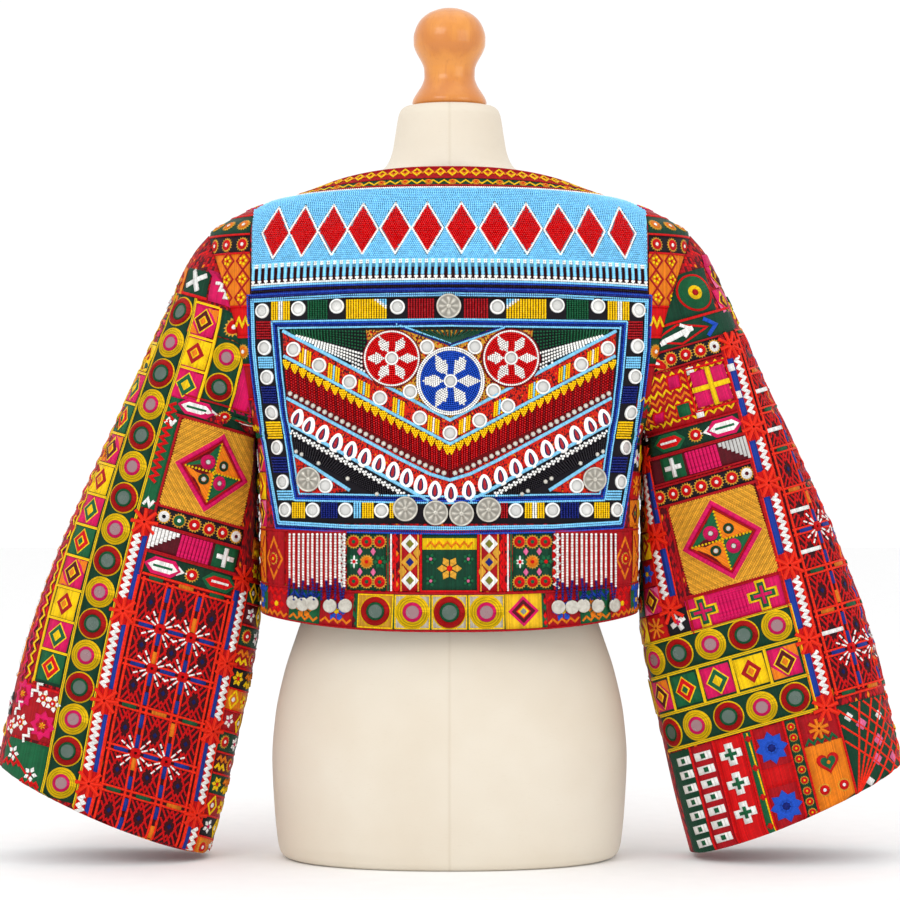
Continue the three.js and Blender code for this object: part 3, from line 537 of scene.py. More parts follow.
def body_chart(side):
    """Chart of the body's back (-1) or front (1), from the hem to the neckline, with a few soft creases."""
    if ("body", side) not in CHARTS:
        u = np.linspace(-1, 1, 321) * -side
        points = body_point(side, u[None], ROW_LEVELS[:, None])
        x, level = points[..., 0], ROW_LEVELS[:, None]
        away = np.abs(x)
        crease = 1.1 * np.sin(x / 26 + 0.6) * np.exp(-(((level - 246) / 42) ** 2))
        for middle, slope, spread, near, far, deep in (
            (452, 0.42, 6, 120, 206, 2.0), (478, 0.62, 7, 135, 215, 1.6), (432, 0.16, 6, 110, 196, 1.5),
            (560, -0.3, 8, 186, 236, 1.2),
        ):
            share = np.clip((away - near) / (far - near), 0, 1)
            line = middle + slope * (away - far)
            crease = crease + deep * np.exp(-(((level - line) / spread) ** 2)) * np.sin(np.pi * share) ** 2
        inset = crease * (1 - np.clip((away - 0.9 * away.max(1, keepdims=True)) / 16, 0, 1))
        chart = Chart(points - grid_normals(points, (0, side, 0)) * inset[..., None], (0, side, 0))
        CHARTS["body", side] = chart
    return CHARTS["body", side]


def eta_at(chart, level):
    """Where a level of the body lies along its chart: straight lines between the chart's rows."""
    return np.interp(level, ROW_LEVELS, chart.eta)


def sleeve_chart(hand, side):
    """Chart of one half of a sleeve: side -1 is its back, xi grows from the inner fold to the outer one."""
    if (hand, side) not in CHARTS:
        at = np.linspace(0, 1, 150)
        angle = np.linspace(np.pi, 0, 161)
        if side > 0:
            angle = np.linspace(np.pi, 2 * np.pi, 161)
        points = sleeve_point(angle[None] + 0 * at[:, None], at[:, None])
        points[..., 0] *= hand
        CHARTS[hand, side] = Chart(points, (0, side, 0))
    return CHARTS[hand, side]


PATTERN = {  # the sleeves' pattern axes on the sheet: origin, across, down, bow of the column
    -1: ((181, 312), (0.962, 0.272), (-0.2456, 0.969), -10.0),
    1: ((694, 291), (0.962, -0.272), (0.2456, 0.969), 0.0),
}


def pattern_chart(hand, side):
    """Chart of a sleeve by its pattern: xi is mm of cloth from the main column, eta runs down it.

    Each row follows one straight line of the sheet from fold to fold; the front repeats the back."""
    key = "pattern", hand, side
    if key not in CHARTS:
        origin, across, down, bow = PATTERN[hand]
        eta = np.arange(-104.0, 560.0, 4.0)
        p = np.arange(-190.0, 191.0, 2.5)
        lean = p[None] + bow * np.sin(np.pi * np.clip(eta, 0, 486) / 486)[:, None]
        u = origin[0] + lean * across[0] + eta[:, None] * down[0]
        v = origin[1] + lean * across[1] + eta[:, None] * down[1]
        back, here = sleeve_chart(hand, -1), sleeve_chart(hand, side)
        xi, along = back.find(u, v)
        row, column, _ = back.spot(xi, along)
        shown = on_sheet(back.blend(row, column)(back.points))
        off = np.hypot(shown[..., 0] - u, shown[..., 1] - v) > 1.5
        grid, ways, start, length, kept = [], [], [], [], []
        onward, count = np.arange(2.0, 150.0, 2.0), 121
        for i in range(len(eta)):
            cells = np.flatnonzero(~off[i])
            if len(cells) < 10:
                continue
            a, b = xi[i, cells], along[i, cells]
            first = a[:0], b[:0]
            more = []
            for end, inner in ((0, 8), (-1, -9)):
                run = a[end] - a[inner]
                if abs(run) < 0.5:
                    more.append(first)
                    continue
                slope = np.clip((b[end] - b[inner]) / run, -1.5, 1.5)
                xs = a[end] + np.sign(run) * onward
                ys = b[end] + slope * np.sign(run) * onward
                out = np.flatnonzero(back.spot(xs, ys)[2])
                stop = out[0] + 1 if len(out) else len(xs)
                more.append((xs[:stop], ys[:stop]))
            a = np.concatenate([more[0][0][::-1], a, more[1][0]])
            b = np.concatenate([more[0][1][::-1], b, more[1][1]])
            at = here.blend(*here.spot(a, b)[:2]) if side < 0 else here.blend(*back.spot(a, b)[:2])
            line, way = at(here.points), unit(at(here.normals))
            far = np.concatenate([[0], np.cumsum(np.linalg.norm(np.diff(line, axis=0), axis=1))])
            wanted = np.linspace(0, far[-1], count)
            grid.append(np.stack([np.interp(wanted, far, line[:, k]) for k in range(3)], -1))
            ways.append(np.stack([np.interp(wanted, far, way[:, k]) for k in range(3)], -1))
            middle = far[len(more[0][0]):len(more[0][0]) + len(cells)]
            low, high = p[cells[0]], p[cells[-1]]
            if low <= 0 <= high:
                start.append(-np.interp(0, p[cells], middle))
            else:
                start.append(low - middle[0] if low > 0 else high - middle[-1])
            length.append(far[-1])
            kept.append(eta[i])
        start, length = np.array(start), np.array(length)
        near = np.clip(np.arange(len(start))[:, None] + np.arange(-4, 5), 0, len(start) - 1)
        true = np.abs(start - np.median(start[near], 1)) < 6
        true &= np.abs(start + length - np.median((start + length)[near], 1)) < 6
        true[-8:] = True
        chart = Chart(np.array(grid)[true], (0, side, 0), normals=np.array(ways)[true],
                      eta=np.array(kept)[true])
        chart.start, chart.length = start[true], length[true]
        CHARTS[key] = chart
    return CHARTS[key]


# ---------------------------------------------------------------- meshes

def make_piece(name, points, faces, finishes, slot, tint=None, stitch=None, which=None):
    """One mesh object from whole arrays: points in mm, triangles, colours, thread coordinates."""
    mesh = bpy.data.meshes.new(name)
    faces = np.asarray(faces, np.int32)
    mesh.vertices.add(len(points))
    mesh.vertices.foreach_set("co", (np.asarray(points, np.float32) * MM).ravel())
    mesh.loops.add(faces.size)
    mesh.loops.foreach_set("vertex_index", faces.ravel())
    mesh.polygons.add(len(faces))
    mesh.polygons.foreach_set("loop_start", np.arange(len(faces), dtype=np.int32) * 3)
    mesh.polygons.foreach_set("use_smooth", np.ones(len(faces), bool))
    if which is not None:
        mesh.polygons.foreach_set("material_index", np.asarray(which, np.int32))
    mesh.update(calc_edges=True)
    if tint is not None:
        layer = mesh.attributes.new("tint", "FLOAT_COLOR", "POINT")
        rgba = np.concatenate([tint, np.ones((len(tint), 1))], 1).astype(np.float32)
        layer.data.foreach_set("color", rgba.ravel())
    if stitch is not None:
        layer = mesh.uv_layers.new(name="stitch")
        layer.data.foreach_set("uv", np.asarray(stitch, np.float32)[faces.ravel()].ravel())
    for finish in finishes:
        mesh.materials.append(finish)
    mesh.validate()
    piece = bpy.data.objects.new(name, mesh)
    bpy.context.scene.collection.objects.link(piece)
    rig.ride(piece, "root")
    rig.slot(piece, slot)
    return piece


def grid_faces(rows, columns, closed=False, flip=False):
    """Triangles of a grid of points, two a cell; a closed grid joins its last column to its first."""
    i, j = np.meshgrid(np.arange(rows - 1), np.arange(columns if closed else columns - 1), indexing="ij")
    k = (j + 1) % columns
    a, b, c, d = i * columns + j, i * columns + k, (i + 1) * columns + k, (i + 1) * columns + j
    faces = np.concatenate([np.stack([a, b, c], -1).reshape(-1, 3), np.stack([a, c, d], -1).reshape(-1, 3)])
    return faces[:, ::-1] if flip else faces


def shell_faces(rows, columns, closed=False):
    """Faces of a closed wall: an outer grid, an inner grid after it, and the rims between them."""
    count = rows * columns
    outer = grid_faces(rows, columns, closed)
    inner = grid_faces(rows, columns, closed, flip=True) + count
    cells = np.arange(columns if closed else columns - 1)
    nxt = (cells + 1) % columns
    top = (rows - 1) * columns

    def rim(a, b):
        """Two triangles for each cell between the outer edge a, b and the inner edge under it."""
        return np.concatenate([np.stack([b, a, a + count], -1), np.stack([b, a + count, b + count], -1)])

    parts = [outer, inner, rim(cells, nxt), rim(top + nxt, top + cells)]
    if not closed:
        i = np.arange(rows - 1) * columns
        parts += [rim(i + columns, i), rim(i + columns - 1, i + 2 * columns - 1)]
    return np.concatenate(parts)


def shell(name, outer, normals, wall, finishes, slot, tint, closed=False, flip=False):
    """A wall of cloth under a grid of points."""
    rows, columns = outer.shape[:2]
    points = np.concatenate([outer.reshape(-1, 3), (outer - normals * wall).reshape(-1, 3)])
    faces = shell_faces(rows, columns, closed)
    if flip:
        faces = faces[:, ::-1]
    tints = np.tile(tint, (len(points), 1))
    j, i = np.meshgrid(np.arange(columns) * 2.0, np.arange(rows) * 2.0)
    stitch = np.tile(np.stack([j.ravel(), i.ravel()], -1), (2, 1))
    return make_piece(name, points, faces, finishes, slot, tints, stitch)


class Shape:
    """A motif in its own mm: points (x, y, lift), triangles, colours, threads and finish numbers."""

    def __init__(self, points, faces, tint, stitch=None, finish=0):
        """Keep the arrays; one colour or finish number is repeated for every point or triangle."""
        self.points = np.asarray(points, float)
        self.faces = np.asarray(faces, int)
        tint = colour(tint) if isinstance(tint, str) else np.asarray(tint, float)
        self.tint = np.tile(tint, (len(self.points), 1)) if tint.ndim == 1 else tint
        self.stitch = self.points[:, :2].copy() if stitch is None else np.asarray(stitch, float)
        self.which = np.full(len(self.faces), finish) if np.isscalar(finish) else np.asarray(finish)

    def __add__(self, other):
        """Two motifs as one: arrays end to end, the second's triangles counted on."""
        made = Shape(
            np.concatenate([self.points, other.points]),
            np.concatenate([self.faces, other.faces + len(self.points)]),
            np.concatenate([self.tint, other.tint]),
            np.concatenate([self.stitch, other.stitch]),
            np.concatenate([self.which, other.which]),
        )
        return made

    def moved(self, x=0.0, y=0.0, lift=0.0):
        """The motif moved across, along and up."""
        return Shape(self.points + (x, y, lift), self.faces, self.tint, self.stitch, self.which)

    def turned(self, degrees):
        """The motif turned anticlockwise by degrees about its own middle."""
        a = np.radians(degrees)
        turn = np.array([[np.cos(a), np.sin(a), 0], [-np.sin(a), np.cos(a), 0], [0, 0, 1]])
        return Shape(self.points @ turn, self.faces, self.tint, self.stitch, self.which)

    def sized(self, x, y=None):
        """The motif stretched across and along, its threads with it."""
        y = x if y is None else y
        return Shape(self.points * (x, y, 1), self.faces, self.tint, self.stitch * (x + y) / 2, self.which)


def joined(shapes):
    """Many motifs as one, in their order."""
    shapes = [s for s in shapes if s is not None and len(s.points)]
    starts = np.cumsum([0] + [len(s.points) for s in shapes[:-1]])
    return Shape(
        np.concatenate([s.points for s in shapes]),
        np.concatenate([s.faces + k for s, k in zip(shapes, starts)]),
        np.concatenate([s.tint for s in shapes]),
        np.concatenate([s.stitch for s in shapes]),
        np.concatenate([s.which for s in shapes]),
    )


def stamp(shape, origins, matrices=None, lift=0.0):
    """Copies of a motif at origins, each turned and stretched by its own 2 x 2 matrix."""
    origins = np.asarray(origins, float).reshape(-1, 2)
    count, size = len(origins), len(shape.points)
    flat = np.broadcast_to(shape.points[None, :, :2], (count, size, 2))
    if matrices is not None:
        flat = np.einsum("nij,nkj->nki", np.asarray(matrices).reshape(-1, 2, 2), flat)
    points = np.concatenate(
        [flat + origins[:, None], np.broadcast_to(shape.points[None, :, 2:] + lift, (count, size, 1))], -1
    )
    order = shape.faces
    if matrices is not None and np.linalg.det(np.asarray(matrices).reshape(-1, 2, 2)[0]) < 0:
        order = order[:, ::-1]
    faces = order[None] + (np.arange(count) * size)[:, None, None]

    def tile(a):
        """The same rows once for each copy."""
        return np.tile(a, (count,) + (1,) * (a.ndim - 1))

    return Shape(points.reshape(-1, 3), faces.reshape(-1, 3), tile(shape.tint), tile(shape.stitch),
                 tile(shape.which))


def spun(radii, lifts, sides, tint, finish=0, tints=None):
    """A round shape: rings of given radius and lift, from the middle out, a radius of 0 being one point."""
    radii, lifts = np.asarray(radii, float), np.asarray(lifts, float)
    angle = np.arange(sides) / sides * 2 * np.pi
    ring = np.stack([np.cos(angle), np.sin(angle)], -1)
    points = np.concatenate(
        [np.concatenate([r * ring, np.full((sides, 1), z)], 1) for r, z in zip(radii, lifts)]
    )
    faces = grid_faces(len(radii), sides, closed=True, flip=True)
    stitch = np.concatenate([np.stack([angle * max(r, 2.0), np.full(sides, r)], -1) for r in radii])
    colours = tint if tints is None else np.repeat(np.asarray(tints, float), sides, 0)
    return Shape(points, faces, colours, stitch, finish)


def satin_ring(inner, outer, tint, high=0.9, sides=22, base=0.05):
    """A padded ring of thread laid across its width."""
    r = inner + (outer - inner) * np.array([0, 0.12, 0.5, 0.88, 1])
    return spun(r, base + high * np.array([0, 0.72, 1, 0.72, 0]), sides, tint)


def satin_disc(radius, tint, high=0.8, sides=18, base=0.05, finish=0):
    """A padded round: a low dome."""
    r = radius * np.array([0.001, 0.5, 0.86, 1])
    return spun(r, base + high * np.array([1, 0.95, 0.7, 0]), sides, tint, finish)


def plate(outline, tint, high=0.5, base=0.05, grain=0.0, finish=0, soft=0.8):
    """A padded patch: its convex outline at the foot, drawn in at the top, and a fan from its middle."""
    outline = np.asarray(outline, float)
    after = np.roll(outline, -1, 0)
    if (outline[:, 0] * after[:, 1] - outline[:, 1] * after[:, 0]).sum() < 0:
        outline = outline[::-1]
    middle = outline.mean(0)
    reach_out = np.linalg.norm(outline - middle, axis=1, keepdims=True)
    inset = np.clip(soft / np.maximum(reach_out, 1e-6), 0, 0.45)
    rings = [outline, middle + (outline - middle) * (1 - inset * 0.5), middle
             + (outline - middle) * (1 - inset)]
    rings.append(middle + (outline - middle) * (1 - inset) * 0.5)
    lifts = [base, base + high * 0.75, base + high, base + high * 1.06]
    count = len(outline)
    points = [np.concatenate([r, np.full((count, 1), z)], 1) for r, z in zip(rings, lifts)]
    points = np.concatenate(points + [np.array([[*middle, base + high * 1.1]])])
    faces = grid_faces(4, count, closed=True)
    k = np.arange(count)
    last = 3 * count
    fan = np.stack([last + k, last + (k + 1) % count, np.full(count, 4 * count)], -1)
    a = np.radians(grain)
    stitch = points[:, :2] @ np.array([[np.cos(a), -np.sin(a)], [np.sin(a), np.cos(a)]])
    return Shape(points, np.concatenate([faces, fan]), tint, stitch, finish)


def ribbon(path, width, tint, high=0.6, base=0.05, step=5.0, grain="across", closed=False, finish=0):
    """A padded line of stitches along a path: a low arch in section, mitred where the path bends."""
    path = np.asarray(path, float)
    if closed:
        path = np.concatenate([path, path[:1]])
    parts = []
    for a, b in zip(path[:-1], path[1:]):
        cuts = max(1, int(np.ceil(np.linalg.norm(b - a) / step)))
        parts.append(a + (b - a) * np.linspace(0, 1, cuts + 1)[:-1, None])
    line = np.concatenate(parts + [path[-1:]])
    ahead = unit(np.diff(line, axis=0))
    if closed:
        before, after = np.concatenate([ahead[-1:], ahead]), np.concatenate([ahead, ahead[:1]])
    else:
        before, after = np.concatenate([ahead[:1], ahead]), np.concatenate([ahead, ahead[-1:]])
    tangent = unit(before + after + 1e-9)
    turn = np.clip((before * tangent).sum(1, keepdims=True), 0.5, 1)
    side = np.stack([-tangent[:, 1], tangent[:, 0]], -1) / turn * width / 2
    arc = np.concatenate([[0], np.cumsum(np.linalg.norm(np.diff(line, axis=0), axis=1))])
    across, lifts = np.array([1, 0.62, 0, -0.62, -1]), base + high * np.array([0, 0.78, 1, 0.78, 0])
    points = np.concatenate(
        [line[:, None] + side[:, None] * across[None, :, None],
         np.broadcast_to(lifts[None, :, None], (len(line), 5, 1))], -1
    )
    along = np.broadcast_to(arc[:, None], points.shape[:2])
    over = np.broadcast_to(across[None] * width / 2, points.shape[:2])
    stitch = np.stack([along, over] if grain == "across" else [over, along], -1)
    return Shape(points.reshape(-1, 3), grid_faces(len(line), 5, flip=True), tint, stitch.reshape(-1, 2),
                 finish)


def field(corners, tint, high=0.25, base=0.02, cell=7.0, grain=0.0, finish=0):
    """A flat patch of stitching between four corners, on a grid fine enough to follow the cloth."""
    a, b, c, d = np.asarray(corners, float)
    n = max(1, int(np.ceil(max(np.linalg.norm(b - a), np.linalg.norm(c - d)) / cell)))
    m = max(1, int(np.ceil(max(np.linalg.norm(d - a), np.linalg.norm(c - b)) / cell)))
    s, t = np.linspace(0, 1, n + 1), np.linspace(0, 1, m + 1)
    s = np.concatenate([[0], s, [1]])
    t = np.concatenate([[0], t, [1]])
    s, t = s[None, :, None], t[:, None, None]
    flat = (a * (1 - s) + b * s) * (1 - t) + (d * (1 - s) + c * s) * t
    rows, columns = flat.shape[:2]
    lift = np.full((rows, columns, 1), base + high)
    lift[0], lift[-1], lift[:, 0], lift[:, -1] = base, base, base, base
    points = np.concatenate([flat, lift], -1).reshape(-1, 3)
    faces = grid_faces(rows, columns)
    u, v = b - a, d - a
    if u[0] * v[1] - u[1] * v[0] < 0:
        faces = faces[:, ::-1]
    g = np.radians(grain)
    stitch = points[:, :2] @ np.array([[np.cos(g), -np.sin(g)], [np.sin(g), np.cos(g)]])
    return Shape(points, faces, tint, stitch, finish)


BEAD_SIDES = 6


def beads(places, tints, radius, lift, finish=2, squash=0.92):
    """Seed beads: each a ring of six points with a point above and below, standing on the cloth."""
    places = np.asarray(places, float).reshape(-1, 2)
    angle = np.arange(BEAD_SIDES) / BEAD_SIDES * 2 * np.pi + 0.3
    ring = np.concatenate(
        [np.stack([np.cos(angle), np.sin(angle), 0 * angle], -1), [[0, 0, squash], [0, 0, -squash * 0.7]]]
    )
    size = np.asarray(radius, float)
    size = np.broadcast_to(size, (len(places),))[:, None, None]
    points = np.concatenate([places, np.broadcast_to(lift, (len(places),))[:, None]], 1)[:,
            None] + ring[None] * size
    k = np.arange(BEAD_SIDES)
    nxt = (k + 1) % BEAD_SIDES
    top, low = np.full(BEAD_SIDES, BEAD_SIDES), np.full(BEAD_SIDES, BEAD_SIDES + 1)
    faces = np.concatenate([np.stack([k, nxt, top], -1), np.stack([nxt, k, low], -1)])
    faces = faces[None] + (np.arange(len(places)) * (BEAD_SIDES + 2))[:, None, None]
    tints = np.broadcast_to(np.asarray(tints, float), (len(places), 3))
    return Shape(points.reshape(-1, 3), faces.reshape(-1, 3), np.repeat(tints, BEAD_SIDES + 2, 0), None,
                 finish)


def along(path, pitch, closed=False):
    """Places at equal steps along a path."""
    path = np.asarray(path, float)
    if closed:
        path = np.concatenate([path, path[:1]])
    arc = np.concatenate([[0], np.cumsum(np.linalg.norm(np.diff(path, axis=0), axis=1))])
    count = max(2, int(round(arc[-1] / pitch)) + 1)
    wanted = np.linspace(0, arc[-1], count)
    if closed:
        wanted = wanted[:-1]
    return np.stack([np.interp(wanted, arc, path[:, 0]), np.interp(wanted, arc, path[:, 1])], -1)


def sewn_piece(name, laid, slot, lift=0.1):
    """One piece from motifs laid on one or more charts: a list of (chart, shape)."""
    points, faces, tints, stitches, which, start = [], [], [], [], [], 0
    for chart, shape in laid:
        xi, eta, high = shape.points.T
        keep = ~chart.spot(xi, eta)[2][shape.faces].all(1)
        kept = shape.faces[keep]
        p = chart.place(xi, eta, high + lift)
        if chart.turn < 0:
            kept = kept[:, ::-1]
        used, again = np.unique(kept, return_inverse=True)
        points.append(p[used])
        faces.append(again.reshape(kept.shape) + start)
        tints.append(shape.tint[used])
        stitches.append(shape.stitch[used])
        which.append(shape.which[keep])
        start += len(used)
    return make_piece(
        name, np.concatenate(points), np.concatenate(faces), motif_finishes(), slot,
        np.concatenate(tints), np.concatenate(stitches), np.concatenate(which),
    )


# ---------------------------------------------------------------- finishes

class Nodes:
    """A material's nodes, added one at a time. A value is a number, a colour or another node's output."""

    def __init__(self, name):
        """A new material with an empty tree, its shader and its output."""
        self.material = bpy.data.materials.new(name)
        self.material.use_nodes = True
        self.tree = self.material.node_tree
        self.tree.nodes.clear()
        self.out = self.add("OutputMaterial")
        self.shader = self.add("BsdfPrincipled")
        self.tree.links.new(self.shader.outputs[0], self.out.inputs[0])

    def add(self, kind, values=(), **settings):
        """One node, with settings by name and values by socket."""
        node = self.tree.nodes.new("ShaderNode" + kind)
        for key, value in settings.items():
            setattr(node, key, value)
        for key, value in dict(values).items():
            self.set(node, key, value)
        return node

    def set(self, node, key, value):
        """A socket linked to another node's output, or given a plain value."""
        socket = node.inputs[key]
        if isinstance(value, bpy.types.NodeSocket):
            self.tree.links.new(value, socket)
        elif hasattr(socket.default_value,
                     "__len__") and len(socket.default_value) == 4 and len(value) == 3:
            socket.default_value = (*value, 1)
        else:
            socket.default_value = value

    def math(self, what, a, b=0.0, c=0.0):
        """A sum, product or other operation of up to three values."""
        return self.add("Math", {0: a, 1: b, 2: c}, operation=what).outputs[0]

    def mix(self, share, a, b, blend="MIX"):
        """A blend of two colours by a share."""
        node = self.add("Mix", {0: share, 6: a, 7: b}, data_type="RGBA", blend_type=blend)
        return node.outputs[2]

    def noise(self, where, scale, detail=2.0, rough=0.5):
        """Cloudy noise at a place."""
        return self.add("TexNoise", {"Vector": where, "Scale": scale, "Detail": detail,
                                     "Roughness": rough}).outputs[0]

    def bump(self, height, strength, distance):
        """Small relief from a height, its depth in metres."""
        return self.add("Bump", {"Height": height, "Strength": strength, "Distance": distance}).outputs[0]

    def ramp(self, value, low, high, to_low=0.0, to_high=1.0):
        """A value between low and high stretched to the range from to_low to to_high."""
        return self.add("MapRange", {0: value, 1: low, 2: high, 3: to_low, 4: to_high}).outputs[0]

    def tint(self):
        """Each point's own colour."""
        return self.add("Attribute", attribute_name="tint", attribute_type="GEOMETRY").outputs[0]

    def here(self):
        """The place on the object, in metres."""
        return self.add("TexCoord").outputs["Object"]

    def lit(self, base, light):
        """A colour times a light that is the same for red, green and blue."""
        grey = self.add("CombineXYZ", {0: light, 1: light, 2: light}).outputs[0]
        return self.mix(1.0, base, grey, "MULTIPLY")

    def done(self, **values):
        """The material, once the shader's own sockets are set by name."""
        for key, value in values.items():
            self.set(self.shader, key.replace("_", " "), value)
        return self.material


FINISHES = {}


def finish(name):
    """The named material, made when it is first asked for."""
    if name not in FINISHES:
        FINISHES[name] = globals()["make_" + name]()
    return FINISHES[name]


def make_thread():
    """Stranded thread: fine ridges across the stitch, each strand a little lighter or darker, with painted shade in
    the grooves between strands.
    """
    n = Nodes("embroidery thread")
    tint = n.tint()
    lie = n.add("SeparateXYZ", {0: n.add("UVMap", uv_map="stitch").outputs[0]})
    u, v = lie.outputs[0], lie.outputs[1]
    pitch = sizes().thread / MM
    wobble = n.math("SINE", n.math("MULTIPLY", v, 1.7))
    strand = n.math("DIVIDE", n.math("ADD", u, n.math("MULTIPLY", wobble, 0.12)), pitch)
    ridge = n.math("ABSOLUTE", n.math("SINE", n.math("MULTIPLY", strand, np.pi)))
    each = n.add("TexWhiteNoise", {"W": n.math("FLOOR", strand)}, noise_dimensions="1D").outputs[0]
    place = n.here()
    cloud = n.noise(place, 160.0, 3.0)
    light = n.math("ADD", n.ramp(each, 0, 1, 0.8, 1.14), n.ramp(cloud, 0.3, 0.7, -0.09, 0.09))
    # painted shade: the grooves between the strands are darkened to half their colour
    light = n.math("MULTIPLY", light, n.ramp(ridge, 0, 0.7, 0.5, 1.0))
    return n.done(
        Base_Color=n.lit(tint, light), Roughness=0.48, Specular_IOR_Level=0.16,
        Normal=n.bump(ridge, 0.7, 0.0005),
    )


def make_cloth():
    """Ground cloth covered in counted stitches: small slanting cells of red, shadow and a little gold, each cell
    painted darker towards its edge as shade between the stitches.
    """
    n = Nodes("stitched ground cloth")
    tint = n.tint()
    lie = n.add("UVMap", uv_map="stitch").outputs[0]
    turned = n.add("Mapping", {"Vector": lie, "Rotation": (0, 0, 0.78), "Scale": (0.95, 0.6, 1)}).outputs[0]
    cells = n.add("TexVoronoi", {"Vector": turned, "Scale": 1.0, "Randomness": 0.35}, distance="CHEBYCHEV")
    pick = n.add("SeparateColor", {0: cells.outputs["Color"]}).outputs[0]
    # painted shade: each cell darkens from its middle towards its edge, as shade between the stitches; the same value
    # drives the bump
    edge = n.ramp(cells.outputs["Distance"], 0.32, 0.52, 1.0, 0.35)
    warm = n.mix(n.ramp(pick, 0.80, 0.86), tint, colour("red"))
    base = n.mix(n.ramp(pick, 0.30, 0.26), warm, colour("maroon"))
    base = n.mix(n.ramp(pick, 0.965, 0.975), base, colour("orange"))
    return n.done(
        Base_Color=n.lit(base, edge), Roughness=0.72, Sheen_Weight=0.05,
        Specular_IOR_Level=0.15, Normal=n.bump(edge, 0.6, 0.0006),
    )


def make_plain():
    """Plain woven cotton: over and under threads half a millimetre apart, the raised threads painted lighter and the
    hollows painted darker, as light and shade.
    """
    n = Nodes("plain woven cotton")
    tint = n.tint()
    lie = n.add("SeparateXYZ", {0: n.add("UVMap", uv_map="stitch").outputs[0]})
    over = n.math("SINE", n.math("MULTIPLY", lie.outputs[0], 7.0))
    under = n.math("SINE", n.math("MULTIPLY", lie.outputs[1], 7.0))
    weave = n.math("MULTIPLY", over, under)
    # painted light and shade: lighter where the weave is raised, darker in its hollows
    light = n.ramp(weave, -1, 1, 0.72, 1.08)
    return n.done(
        Base_Color=n.lit(tint, light), Roughness=0.85, Specular_IOR_Level=0.2,
        Normal=n.bump(weave, 0.4, 0.0003),
    )


def make_bead():
    """Glass seed beads: clear gloss, each bead's colour a touch uneven."""
    n = Nodes("glass beads")
    tint = n.tint()
    place = n.here()
    cell = n.add("TexVoronoi", {"Vector": place, "Scale": 420.0}).outputs["Color"]
    pick = n.add("SeparateColor", {0: cell}).outputs[0]
    light = n.ramp(pick, 0, 1, 0.9, 1.14)
    return n.done(
        Base_Color=n.lit(tint, light), Roughness=n.ramp(pick, 0, 1, 0.16, 0.3),
        Specular_IOR_Level=0.32,
    )


def make_mirror():
    """Small round mirrors: old glass, faintly cloudy, over each point's tint, which is a painted reflection."""
    n = Nodes("mirror glass")
    tint = n.tint()
    place = n.here()
    cloud = n.noise(place, 90.0, 4.0, 0.6)
    return n.done(
        Base_Color=n.mix(n.ramp(cloud, 0.35, 0.7, 0.0, 0.22), tint, (0.2, 0.22, 0.21)), Metallic=0.35,
        Roughness=n.ramp(cloud, 0.3, 0.7, 0.16, 0.34), Normal=n.bump(cloud, 0.12, 0.0006),
    )


def make_metal():
    """Stamped coin metal, darker in random patches of wear; its high parts are brighter by painted light in the point
    tints.
    """
    n = Nodes("coin metal")
    tint = n.tint()
    place = n.here()
    wear = n.noise(place, 260.0, 5.0, 0.65)
    return n.done(
        Base_Color=n.mix(n.ramp(wear, 0.35, 0.7, 0.0, 0.5), tint, (0.22, 0.19, 0.15)), Metallic=0.8,
        Roughness=n.ramp(wear, 0.3, 0.7, 0.28, 0.5), Normal=n.bump(wear, 0.3, 0.0004),
    )


def make_calico():
    """Cream calico stretched over the form: fine weave, faint slubs and a soft centre seam."""
    n = Nodes("calico cover")
    place = n.here()
    axes = n.add("SeparateXYZ", {0: place})
    warp = n.math("SINE", n.math("MULTIPLY", axes.outputs[0], 5200.0))
    weft = n.math("SINE", n.math("MULTIPLY", axes.outputs[2], 5200.0))
    weave = n.math("MULTIPLY", warp, weft)
    slub = n.noise(n.add("Mapping", {"Vector": place, "Scale": (14, 14, 90)}).outputs[0], 12.0, 4.0)
    cloud = n.noise(place, 9.0, 3.0)
    seam = n.ramp(n.math("ABSOLUTE", axes.outputs[0]), 0.0, 0.0022, 0.0, 1.0)
    height = n.math("ADD", n.math("MULTIPLY", weave, 0.35), n.math("MULTIPLY", slub, 0.4))
    height = n.math("ADD", height, n.math("MULTIPLY", seam, 1.6))
    base = n.mix(n.ramp(cloud, 0.35, 0.65), colour("cream"), linear("ddd4c4"))
    base = n.mix(n.ramp(slub, 0.6, 0.8, 0.0, 0.25), base, linear("cbbda6"))
    base = n.mix(n.ramp(seam, 0, 1, 0.22, 0), base, linear("b8a88f"))
    return n.done(
        Base_Color=base, Roughness=0.86, Sheen_Weight=0.12, Specular_IOR_Level=0.22,
        Normal=n.bump(height, 0.25, 0.0004),
    )


def make_wood():
    """Turned and varnished wood: rings drawn out along the grain under a clear coat."""
    n = Nodes("varnished wood")
    place = n.here()
    drawn = n.add("Mapping", {"Vector": place, "Location": (0.03, 0.01, 0),
                              "Scale": (26, 26, 5)}).outputs[0]
    rings = n.add(
        "TexWave", {"Vector": drawn, "Scale": 1.1, "Distortion": 3.4, "Detail": 3.0, "Detail Scale": 1.6},
        wave_type="RINGS", rings_direction="X",
    ).outputs[1]
    fleck = n.noise(n.add("Mapping", {"Vector": place, "Scale": (500, 500, 40)}).outputs[0], 1.0, 3.0)
    base = n.mix(n.ramp(rings, 0.1, 0.9), colour("honey"), linear("c9771f"))
    base = n.mix(n.ramp(fleck, 0.55, 0.75, 0.0, 0.35), base, linear("b5651a"))
    return n.done(
        Base_Color=base, Roughness=0.38, Coat_Weight=0.6, Coat_Roughness=0.16,
        Normal=n.bump(n.math("ADD", rings, fleck), 0.05, 0.0004),
    )


def motif_finishes():
    """Finish numbers of every sewn piece: 0 thread, 1 cloth, 2 bead, 3 mirror, 4 metal, 5 plain cotton."""
    return [finish(name) for name in ("thread", "cloth", "bead", "mirror", "metal", "plain")]


# ---------------------------------------------------------------- cloth

